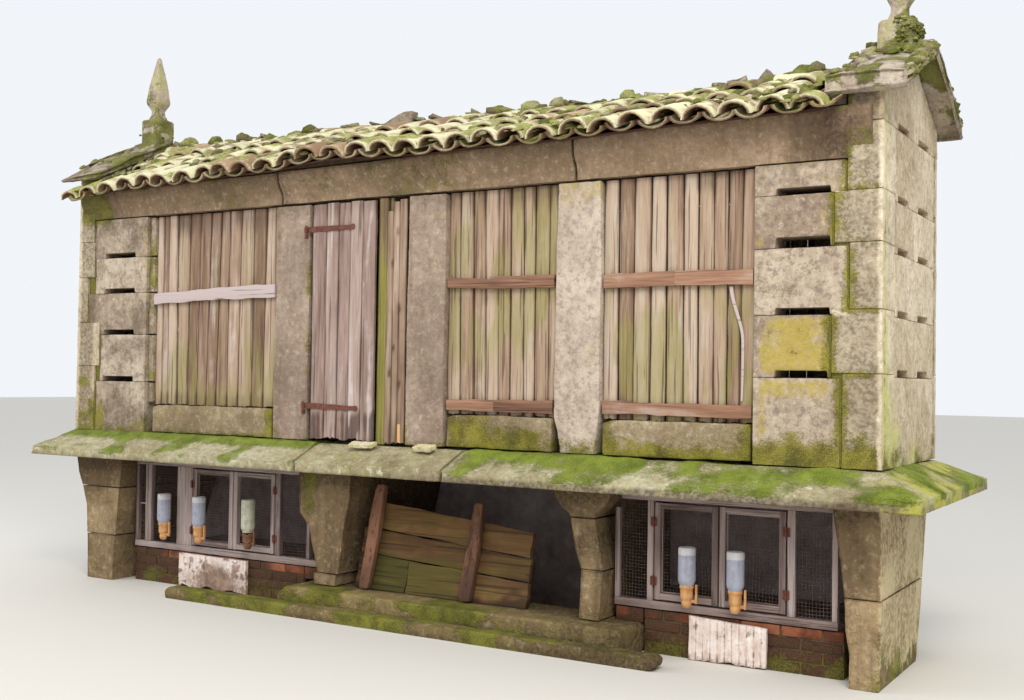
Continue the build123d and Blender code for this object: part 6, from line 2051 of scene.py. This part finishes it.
for side, x, shoulder, neck, wide, name in ((-1, -2.965, 3.665, 3.735, 3.800, "left"), (1, 3.02, 3.632, 3.704, 3.770, "right")):
    apex = COPE_HIGH + 0.09 + cope_lift(side)
    base = 0.105 if side < 0 else 0.112
    tip = 4.186 if side < 0 else 4.160
    bag = Bag()
    bag.add(square_stack([
        (apex - 0.075, base + 0.001, 0.05), (apex - 0.01, base, 0.05), (shoulder - 0.022, base - 0.001, 0.05), (shoulder - 0.006, base - 0.010, 0.06), (shoulder, base - 0.026, 0.08), (shoulder + 0.003, 0.066, 0.2),
        (neck - 0.030, 0.049, 0.15), (neck, 0.047, 0.1), (wide - 0.008, 0.078, 0.06), (wide + 0.014, 0.081, 0.06), (wide + 0.12, 0.067, 0.06),
        (wide + 0.25, 0.044, 0.06), (tip - 0.021, 0.021, 0.15), (tip, 0.010, 0.4)], x, 8200 + side, 0.020, 6), masked(0.6, finial_zone))
    piece("finial_stone_" + name, bag, COPING, replaces=["finial_" + name])
    rng = np.random.default_rng(8300 + side)
    bag = Bag()
    for k in range(72 if side > 0 else 12):
        a = rng.uniform(-1.65, 0.9) if side > 0 else rng.uniform(0, 2 * math.pi)
        m = (base - 0.006) / max(abs(math.cos(a)), abs(math.sin(a)))
        z = rng.uniform(apex - 0.03, shoulder - 0.024) if side > 0 else rng.uniform(apex - 0.02, apex + 0.05)
        r = rng.uniform(0.007, 0.016)
        blob(bag, (x + m * math.cos(a), m * math.sin(a), z), r, r * rng.uniform(0.8, 1.2), int(rng.integers(1e6)), rng.random(), (0.6, 0.25, 0.30), 10, 6,
             rng.uniform(0, 6.28), rng.uniform(1.0, 1.2), 0, 0.65)
    if side > 0:
        for k in range(46):
            r = rng.uniform(0.010, 0.020)
            blob(bag, (x + rng.uniform(-0.010, 0.100), rng.uniform(-0.100, 0.098), shoulder - 0.014), r, r * 0.75, int(rng.integers(1e6)), rng.random(),
                 (0.6, 0.25, 0.25), 10, 6, rng.uniform(0, 6.28), 1.15, 0, 0.65)
    piece("finial_moss_" + name, bag, PILLOW, angle=80)


# ---------------------------------------------------------------------------
# Hutches: battens, wire netting, hinges, doors, drinkers
# ---------------------------------------------------------------------------


def hutch_zone(x, y, z, v):
    f = fbm(v * 7, 141, 3)
    low = smooth(0.40, 0.27, z)
    # the head under the ledge gets painted shade; darker also near the foot
    return 0.25 * smooth(0.5, 0.7, f), 0 * x, np.clip(0.20 * (1 - f) + 0.35 * low + 0.25 * smooth(0.86, 0.94, z), 0, 1)


def stick(bag, lo, hi, seed, rnd, zone, mat=0, r=0.003, amp=0.0030, cell=0.03):
    """Sawn batten with slightly worn edges."""
    d = np.array(hi) - np.array(lo)
    k = int(np.argmax(d))
    cells = [max(0.012, float(x) * 0.5) for x in d]
    cells[k] = cell
    s = lattice(lo, hi, r=r, cells=tuple(cells))
    a = [1, 1, 1]
    a[k] = 0.2
    s.rough(amp, 14, seed, 3, along=tuple(a))
    bag.add(s, masked(rnd, zone) if callable(zone) else (*zone, rnd), mat)


def netting(bag, x0, x1, z0, z1, y, seed, pitch=0.0195, gauge=0.0009):
    """Fine square netting with small waves."""
    rng = np.random.default_rng(seed)

    def off(x, z):
        u = (x - x0) / (x1 - x0)
        w = (z - z0) / (z1 - z0)
        return 0.006 * np.sin(u * 3.0 + seed) * np.sin(w * 4.0 + seed) * np.sin(math.pi * u) * np.sin(math.pi * w)

    nx, nz = int((x1 - x0) / pitch), int((z1 - z0) / pitch)
    for i in range(nx + 1):
        x = x0 + (i + 0.3) * pitch
        if x > x1:
            continue
        z = np.linspace(z0, z1, 11)
        xx = x + 0.0016 * np.sin(z * 21 + seed) + rng.normal() * 0.0006
        bag.add(tube(np.stack([xx, y + off(xx, z) + 0.0004, z], 1), gauge, 4), (0.0, 0.0, 0.4, float(rng.random())))
    for i in range(nz + 1):
        z = z0 + (i + 0.5) * pitch
        if z > z1:
            continue
        x = np.linspace(x0, x1, 9)
        zz = z + 0.0020 * np.sin(x * 17 + seed * 2) + rng.normal() * 0.0006
        bag.add(tube(np.stack([x, y + off(x, zz) - 0.0004, zz], 1), gauge, 4), (0.0, 0.0, 0.4, float(rng.random())))


def barrel(bag, x, z0, z1, seed, mat):
    bag.add(lathe([(0.0052, 0), (0.0055, 0.0015), (0.0055, z1 - z0 - 0.0015), (0.0052, z1 - z0)], (x, -0.5065, z0), 14), (0.0, 0.0, 0.3, seed), mat)


def leaf(bag, xa, xb, zc, seed, mat):
    s = lattice((xa, -0.5032, zc - 0.025), (xb, -0.4995, zc + 0.025), r=0.0008, cells=(0.006, 0.002, 0.006))
    s.rough(0.0012, 60, int(seed * 1000), 2)
    bag.add(s, (0.0, 0.0, 0.4, seed), mat)
    for dz in (-0.017, 0.0, 0.017):
        cx = (xa + xb) / 2 + (0.003 if dz == 0 else -0.003)
        bag.add(lathe([(0.0001, 0.0), (0.0030, 0.0002), (0.0026, 0.0012), (0.0001, 0.0018)], (0, 0, 0), 8).turn("X", math.pi / 2, (0, 0, 0)).move((cx, -0.5030, zc + dz)),
                (0.0, 0.0, 0.7, seed), mat)


def frame(side, x0, x1, posts, panels, notch, axes, seed):
    rng = np.random.default_rng(seed)
    bag, net = Bag(), Bag()
    zone = hutch_zone
    ya, yb = -0.500, -0.460
    stick(bag, (x0, ya - 0.001, 0.256), (x1, yb, 0.305), seed + 1, rng.random(), zone, 1, amp=0.006)
    h0, h1 = (notch, x1) if side > 0 else (x0, -0.828)
    stick(bag, (h0, ya, 0.879), (h1, yb, 0.938), seed + 2, rng.random(), zone, 1, amp=0.005)
    for k, (a, b) in enumerate(posts):
        top = 0.880
        if side > 0 and b < 1.556:
            top = 0.828
        if side < 0 and a > -0.83:
            top = 0.538
        stick(bag, (a + 0.0005, ya + 0.0005, 0.303), (b - 0.0005, yb - 0.001, top), seed + 10 + k, rng.random(), zone, 0)
    for k, (a, b, z1) in enumerate(panels):
        netting(net, a, b, 0.300, z1, -0.4815, seed + 30 + k)
    for x, d in axes:
        for zc in (0.42, 0.76):
            barrel(bag, x, zc - 0.030, zc - 0.0125, 0.5, 2)
            barrel(bag, x, zc + 0.0125, zc + 0.030, 0.5, 2)
            bag.add(tube([(x, -0.5065, zc - 0.031), (x, -0.5065, zc), (x, -0.5065, zc + 0.031)], 0.0022, 8), (0, 0, 0.6, 0.5), 2)
            a, b = sorted((x - d * 0.0035, x - d * 0.020))
            leaf(bag, a, b, zc, 0.4, 2)
    return bag, net


bag, net = frame(1, 1.516, 2.834, [(1.516, 1.546), (1.722, 1.762), (2.554, 2.600), (2.800, 2.834)],
                 [(1.540, 1.730, 0.885), (2.590, 2.810, 0.885)], 1.556, [(1.765, 1), (2.551, -1)], 9100)
piece("hutch_frame_right_wood", bag, [HUTCH_V, HUTCH_H, IRON], replaces=["hutch_frame_right"])
piece("hutch_net_right", net, WIRE, angle=60)
bag, net = frame(-1, -2.560, -0.745, [(-2.560, -2.530), (-2.459, -2.392), (-2.120, -1.962), (-1.144, -1.100), (-0.856, -0.826), (-0.775, -0.745)],
                 [(-2.540, -2.440, 0.885), (-2.410, -2.100, 0.885), (-1.110, -0.835, 0.885), (-0.835, -0.760, 0.540)], -0.826, [(-1.959, 1), (-1.147, -1)], 9200)
# a thin batten across the outer field
stick(bag, (-2.530, -0.4825, 0.576), (-2.459, -0.4725, 0.588), 9260, 0.6, hutch_zone, 1, r=0.002)
piece("hutch_frame_left_wood", bag, [HUTCH_V, HUTCH_H, IRON], replaces=["hutch_frame_left"])
piece("hutch_net_left", net, WIRE, angle=60)


def hutch_door(name, x0, x1, axis, d, seed):
    rng = np.random.default_rng(seed)
    bag = Bag()
    ya, yb = -0.500, -0.461
    z0, z1 = 0.312, 0.872
    w = 0.038
    stick(bag, (x0 + 0.0005, ya + 0.0005, z0 + 0.0005), (x0 + w, yb, z1 - 0.0005), seed + 1, rng.random(), hutch_zone, 0)
    stick(bag, (x1 - w, ya + 0.0005, z0 + 0.0005), (x1 - 0.0005, yb, z1 - 0.0005), seed + 2, rng.random(), hutch_zone, 0)
    stick(bag, (x0 + w - 0.002, ya + 0.001, z0 + 0.001), (x1 - w + 0.002, yb - 0.001, z0 + 0.040), seed + 3, rng.random(), hutch_zone, 1)
    stick(bag, (x0 + w - 0.002, ya + 0.001, z1 - 0.032), (x1 - w + 0.002, yb - 0.001, z1 - 0.001), seed + 4, rng.random(), hutch_zone, 1)
    # thin fillets that hold the netting
    for a, b, c, e in ((x0 + w - 0.001, x0 + w + 0.008, z0 + 0.040, z1 - 0.032), (x1 - w - 0.008, x1 - w + 0.001, z0 + 0.040, z1 - 0.032)):
        stick(bag, (a, -0.4795, c), (b, -0.4705, e), seed + 5, rng.random(), hutch_zone, 0, r=0.0015, amp=0.0015)
    for a, b, c, e in ((x0 + w, x1 - w, z0 + 0.039, z0 + 0.048), (x0 + w, x1 - w, z1 - 0.040, z1 - 0.031)):
        stick(bag, (a, -0.4795, c), (b, -0.4705, e), seed + 6, rng.random(), hutch_zone, 1, r=0.0015, amp=0.0015)
    for zc in (0.42, 0.76):
        barrel(bag, axis, zc - 0.0115, zc + 0.0115, 0.6, 2)
        a, b = sorted((axis + d * 0.0035, axis + d * 0.020))
        leaf(bag, a, b, zc, 0.7, 2)
    piece(name + "_wood", bag, [HUTCH_V, HUTCH_H, IRON], body=name, replaces=[name])
    net = Bag()
    netting(net, x0 + 0.030, x1 - 0.030, z0 + 0.034, z1 - 0.026, -0.4815, seed + 7)
    piece(name + "_net", net, WIRE, body=name, angle=60)


hutch_door("hutch_door_right_a", 1.768, 2.157, 1.765, 1, 9310)
hutch_door("hutch_door_right_b", 2.163, 2.548, 2.551, -1, 9320)
hutch_door("hutch_door_left_a", -1.956, -1.553, -1.959, 1, 9330)
hutch_door("hutch_door_left_b", -1.547, -1.150, -1.147, -1, 9340)


def drinker(name, body, x, z0, z1, seed, worn=False):
    y = -0.562
    h = z1 - z0
    rng = np.random.default_rng(seed)
    level = 0.80 * h
    prof = [(0.036, -0.012), (0.040, 0.000), (0.0455, 0.010), (0.0490, 0.022), (0.0500, 0.034)]
    for k in range(1, 12):
        z = 0.034 + (h - 0.056) * k / 12
        prof.append((0.0497 + 0.0004 * math.cos(k * math.pi), z))
    prof += [(0.0500, h - 0.020), (0.0494, h - 0.011), (0.0470, h - 0.004), (0.0430, h - 0.0008), (0.0360, h), (0.0300, h - 0.003), (0.0150, h - 0.007)]
    bag = Bag()
    cut = [p for p in prof if p[1] <= level] + [(0.0498, level)]
    top = [(0.0498, level)] + [p for p in prof if p[1] > level or p[0] < 0.0485 and p[1] > 0.1]
    zone = (0.0, 0.0, 0.25, float(rng.random()))
    bag.add(lathe(cut, (x, y, z0), 28), zone, 1 if not worn else 0)
    bag.add(lathe(top, (x, y, z0), 28), zone, 0)
    cup = [(0.030, -0.006), (0.039, -0.004), (0.0410, -0.010), (0.0405, -0.020), (0.0365, -0.024), (0.0355, -0.060), (0.0370, -0.064), (0.0335, -0.078),
           (0.0270, -0.088), (0.0265, -0.093), (0.0290, -0.098), (0.0285, -0.112), (0.0215, -0.128), (0.0100, -0.133)][::-1]
    hold = lathe(cup, (x, y, z0), 26)
    mark = (0.0, 0.0, 0.55 if worn else 0.18, float(rng.random()))
    if worn:
        # broken rim, only part of the cup is left
        a = np.arctan2(hold.v[:, 1] - y, hold.v[:, 0] - x)
        bite = smooth(0.2, 0.7, noise(np.stack([np.cos(a) * 2, np.sin(a) * 2, 0 * a], 1), 41))
        hold.v[:, 2] = np.where(hold.v[:, 2] > z0 - 0.07, hold.v[:, 2] - 0.022 * bite, hold.v[:, 2])
    bag.add(hold, mark, 2)
    # side arm, tongue and the strap back to the batten
    for lo, hi in (((x + 0.026, y - 0.006, z0 - 0.100), (x + 0.060, y + 0.006, z0 - 0.082)), ((x + 0.052, y - 0.008, z0 - 0.104), (x + 0.064, y + 0.008, z0 + 0.004)),
                   ((x - 0.010, y + 0.020, z0 - 0.088), (x + 0.010, -0.501, z0 - 0.062))):
        s = lattice(lo, hi, r=0.003, cells=(0.01, 0.01, 0.012))
        bag.add(s, mark, 2)
    piece(name + "_bottle", bag, [BOTTLE_OLD if worn else BOTTLE, BOTTLE_WATER, HOLDER_OLD if worn else HOLDER], body=body, replaces=[name], angle=50)


drinker("drinker_left_a", "granary", -2.185, 0.470, 0.680, 9410)
drinker("drinker_left_b", "hutch_door_left_a", -1.825, 0.470, 0.680, 9420)
drinker("drinker_left_c", "hutch_door_left_b", -1.340, 0.470, 0.690, 9430, worn=True)
drinker("drinker_right_a", "hutch_door_right_a", 1.998, 0.430, 0.640, 9440)
drinker("drinker_right_b", "hutch_door_right_b", 2.285, 0.430, 0.640, 9450)


# ---------------------------------------------------------------------------
# Hutch floors, boards against the low walls, plank screen and stakes
# ---------------------------------------------------------------------------

rng = np.random.default_rng(9500)
bag = Bag()
for x0, x1 in ((-2.558, -0.732), (1.522, 2.868)):
    ys = np.linspace(-0.374, 0.429, 6)
    for ya, yb in zip(ys[:-1], ys[1:]):
        s = lattice((x0, ya + 0.002, 0.216), (x1, yb - 0.002, 0.2445), r=0.004, cells=(0.07, 0.05, 0.02))
        s.rough(0.006, 7, int(9500 + 100 * (ya + x0)), 3)
        bag.add(s, (0.1, 0.0, 0.55, float(rng.random())))
piece("hutch_floor_boards", bag, HUTCH_H, replaces=["hutch_floors"])


def apron(bag, x0, x1, ya, yb, z1, seed, ribs, wear):
    """Thin upright board with a ragged foot; ribs gives the groove spacing."""
    nx = max(24, int((x1 - x0) / (0.007 if ribs else 0.014)))
    s = lattice((0, 0, 0), (1, 1, 1), r=0.0001, cells=(1 / nx, 0.5, 1 / 22))
    u, w, t = s.v[:, 0].copy(), s.v[:, 1].copy(), s.v[:, 2].copy()
    x = x0 + (x1 - x0) * u
    k = np.full(len(x), seed * 0.31)
    foot = 0.004 + 0.016 * smooth(0.45, 0.75, fbm(np.stack([x * 9, k, k], 1), seed, 3)) + (0.007 * smooth(0.5, 0.8, noise(np.stack([x * 45, k, k], 1), seed + 1)))
    head = z1 - 0.006 * fbm(np.stack([x * 13, k, k + 4], 1), seed + 2, 3) - (0.020 if ribs else 0.004) * u
    z = foot + (head - foot) * t
    y = ya + (yb - ya) * w
    if ribs:
        ph = (x - x0) / ribs + 0.12 * noise(np.stack([np.floor((x - x0) / ribs), k, k], 1), seed + 3)
        groove = np.exp(-((ph - np.round(ph)) * ribs / 0.0035) ** 2)
        y = y + (0.0065 * groove) * (1 - w)
    y = y + (fbm(np.stack([x * 4, k, z * 4], 1), seed + 4, 3) - 0.5) * 0.008
    x = x + (fbm(np.stack([k, k, z * 20], 1), seed + 5, 3) - 0.5) * 0.010 * (2 * np.abs(u - 0.5)) ** 4
    s.v = np.stack([x, y, z], 1)
    bag.add(s, wear)


def wear_limed(x, y, z, v):
    f = fbm(v * 9, 151, 3)
    f2 = fbm(v * 24, 152, 3)
    mid = np.exp(-((x + 1.68) / 0.17) ** 2)
    low = smooth(0.20, 0.06, z + 0.05 * (f - 0.5) - 0.05 * mid)
    flake = smooth(0.53, 0.62, f2) * 0.7
    return 0.15 * low, 0 * x, np.clip(0.9 * low * (0.35 + 0.65 * mid) + flake * 0.75 + 0.25 * f, 0, 1)


def wear_ribbed(x, y, z, v):
    f2 = fbm(v * 26, 154, 3)
    ph = (x - 1.995) / 0.0425
    groove = np.exp(-((ph - np.round(ph)) * 0.0425 / 0.004) ** 2)
    return 0.05 * smooth(0.08, 0.0, z), 0 * x, np.clip(0.55 * groove * (0.4 + 0.9 * fbm(v * 8, 155, 2)) + 0.5 * smooth(0.60, 0.72, f2) + 0.5 * smooth(0.07, 0.0, z), 0, 1)


bag = Bag()
apron(bag, -2.060, -1.390, -0.5235, -0.4965, 0.2495, 9610, 0, masked(0.35, wear_limed))
apron(bag, 1.995, 2.448, -0.5190, -0.4965, 0.2495, 9620, 0.0425, masked(0.85, wear_ribbed))
piece("apron_boards_limed", bag, BOARD, replaces=["apron_boards"])

# leaning screen: wide planks, one above the other
UP = np.array([0.0, 0.2334, 0.9724])
BACK = np.array([0.0, 0.9724, -0.2334])
FOOT = np.array([0.0, -0.56, 0.17])


def lean(a, h, d):
    return np.stack([a, FOOT[1] + UP[1] * h + BACK[1] * d, FOOT[2] + UP[2] * h + BACK[2] * d], 1)


def screen_zone(x, y, z, v):
    h = (z - 0.17) / 0.9724
    f = fbm(v * 6, 161, 3)
    green = smooth(0.26, 0.19, h) * np.exp(-((x - 0.12) / 0.36) ** 4) * (0.85 + 0.5 * smooth(0.35, 0.55, f))
    faint = 0.42 * smooth(0.44, 0.60, f)
    dark = 0.55 * smooth(0.05, 0.0, h) + 0.40 * smooth(0.60, 0.85, x) * smooth(0.35, 0.20, h) + 0.35 * smooth(0.50, 0.36, f)
    return np.clip(green + faint * (1 - green), 0, 1), 0 * x, np.clip(dark * (1 - 0.7 * green), 0, 1)


def plank(bag, a0, a1, lo, hi, seed, rnd, d0=0.0, thick=0.036):
    """lo and hi are (left, right) heights of the two long edges."""
    n = max(8, int((a1 - a0) / 0.030))
    s = lattice((0, 0, 0), (1, 1, 1), r=0.0001, cells=(1 / n, 0.5, 1 / 9))
    u, w, t = s.v[:, 0].copy(), s.v[:, 1].copy(), s.v[:, 2].copy()
    a = a0 + (a1 - a0) * u
    k = np.full(len(a), seed * 0.71)
    e0 = lo[0] + (lo[1] - lo[0]) * u + (fbm(np.stack([a * 4, k, k], 1), seed, 3) - 0.5) * 0.016
    e1 = hi[0] + (hi[1] - hi[0]) * u + (fbm(np.stack([a * 5, k, k + 9], 1), seed + 1, 3) - 0.5) * 0.020
    h = e0 + (e1 - e0) * t
    a = a + (fbm(np.stack([k, h * 12, k], 1), seed + 2, 3) - 0.5) * 0.03 * (2 * np.abs(u - 0.5)) ** 6
    edge = (2 * np.abs(t - 0.5)) ** 8 + 0.6 * (2 * np.abs(u - 0.5)) ** 16
    d = d0 + 0.004 * edge * (1 - w) + thick * w + (fbm(np.stack([a * 3, h * 18, k], 1), seed + 3, 4) - 0.5) * 0.014 * (1 - w)
    d = np.clip(d, 0.0, 0.0375)
    s.v = lean(a, np.maximum(h, 0.002 + 0.24 * d), d)
    bag.add(s, masked(rnd, screen_zone))


bag = Bag()
plank(bag, -0.376, 0.028, (0.002, 0.002), (0.235, 0.212), 9710, 0.30, 0.004)
plank(bag, 0.034, 0.940, (0.002, 0.002), (0.209, 0.160), 9720, 0.62, 0.000)
plank(bag, -0.372, 0.938, (0.241, 0.166), (0.405, 0.305), 9730, 0.45, 0.003)
plank(bag, -0.345, 0.934, (0.410, 0.310), (0.588, 0.466), 9740, 0.75, 0.001)
piece("plank_screen_boards", bag, PLANK_SHADED, replaces=["plank_screen"], angle=50)


def stake_zone(x, y, z, v):
    f = fbm(v * 8, 171, 3)
    low = smooth(0.52, 0.25, z)
    return 0.30 * smooth(0.5, 0.65, f) * low, 0 * x, np.clip(0.20 + 0.45 * low * (0.5 + f), 0, 1)


bag = Bag()
for x, top, seed in ((-0.256, 0.700, 9810), (0.537, 0.630, 9820)):
    s = lattice((0, 0, 0), (1, 1, 1), r=0.14, cells=(0.2, 0.2, 1 / 26))
    u, w, t = s.v[:, 0].copy(), s.v[:, 1].copy(), s.v[:, 2].copy()
    h = t * top
    left = np.interp(h, (0, 0.36, top), (-0.055, -0.044, -0.034))
    right = np.interp(h, (0, 0.36, top), (0.034, 0.045, 0.033))
    a = x + left + (right - left) * u
    d = -0.0035 - 0.053 * (1 - w)
    s.v = lean(a, h, d)
    s.v += s.normals() * ((fbm(s.v * (14, 14, 4), seed, 4) - 0.55) * 0.020)[:, None]
    s.v[:, 2] = np.maximum(s.v[:, 2], 0.1705)
    # split head
    s.v[:, 2] -= np.where(t > 0.98, 0.020 * fbm(s.v * 30, seed + 1, 2), 0)
    n = (s.v - FOOT) @ BACK
    s.v -= BACK[None, :] * np.maximum(n + 0.0032, 0)[:, None]
    bag.add(s, masked(float(rng.random()), stake_zone))
piece("screen_stakes_wood", bag, STAKE, replaces=["screen_stakes"], angle=60)

# two small flat stones left by the door
bag = Bag()
for x, y, z, sx, sy, sz, turn in ((-0.205, -0.715, 1.130, 0.100, 0.042, 0.022, 0.05), (0.285, -0.715, 1.130, 0.082, 0.040, 0.024, -0.10)):
    s = lattice((-sx, -sy, -sz), (sx, sy, sz), r=0.012, cells=(0.011, 0.011, 0.010))
    s.rough(0.018, 16, int(9900 + 100 * x), 3)
    s.turn("X", 0.30, (0, 0, 0)).turn("Z", turn, (0, 0, 0)).move((x, y, z))
    bag.add(s, (0.05, 0.45, 0.0, 0.95))
piece("ledge_stones", bag, GRANITE_END_LIT)


# ---------------------------------------------------------------------------
# Stage, lights and camera
# ---------------------------------------------------------------------------

scene = bpy.context.scene

fm = Nodes("floor_pale")
fm.finish(srgb(214, 210, 202), 0.9)
me = bpy.data.meshes.new("floor")
me.from_pydata([(-60, -60, 0), (60, -60, 0), (60, 60, 0), (-60, 60, 0)], [], [(0, 1, 2, 3)])
me.materials.append(fm.mat)
floor = bpy.data.objects.new("floor", me)
scene.collection.objects.link(floor)

world = bpy.data.worlds.new("sky")
scene.world = world
world.use_nodes = True
bg = world.node_tree.nodes["Background"]
bg.inputs[0].default_value = (0.93, 0.96, 1.0, 1.0)
bg.inputs[1].default_value = 0.95

for name, loc, target, power, size, colour in (
    ("key", (6.5, -7.5, 9.0), (0.6, 0.0, 1.8), 900, 5.0, (1.0, 0.97, 0.92)),
    ("fill", (-8.0, -7.0, 6.5), (-0.5, 0.0, 1.6), 380, 6.0, (0.95, 0.97, 1.0)),
):
    li = bpy.data.lights.new(name, "AREA")
    li.energy, li.size, li.color = power, size, colour
    lo = bpy.data.objects.new(name, li)
    lo.location = loc
    lo.rotation_euler = (Vector(target) - Vector(loc)).to_track_quat("-Z", "Y").to_euler()
    scene.collection.objects.link(lo)

cam = bpy.data.cameras.new("camera")
cam.lens = 41.783
cam.sensor_width = 36.0
cam.clip_end = 200
co = bpy.data.objects.new("camera", cam)
right = (0.855936655, 0.516858206, 0.015202877)
up = (-0.00019248, -0.029082006, 0.999576638)
back_axis = (0.517081004, -0.855577018, -0.024793272)
co.matrix_world = Matrix((
    (right[0], up[0], back_axis[0], 4.5825),
    (right[1], up[1], back_axis[1], -6.8378),
    (right[2], up[2], back_axis[2], 1.5691),
    (0, 0, 0, 1),
))
scene.collection.objects.link(co)
scene.camera = co
scene.view_settings.view_transform = "Standard"
scene.view_settings.look = "None"

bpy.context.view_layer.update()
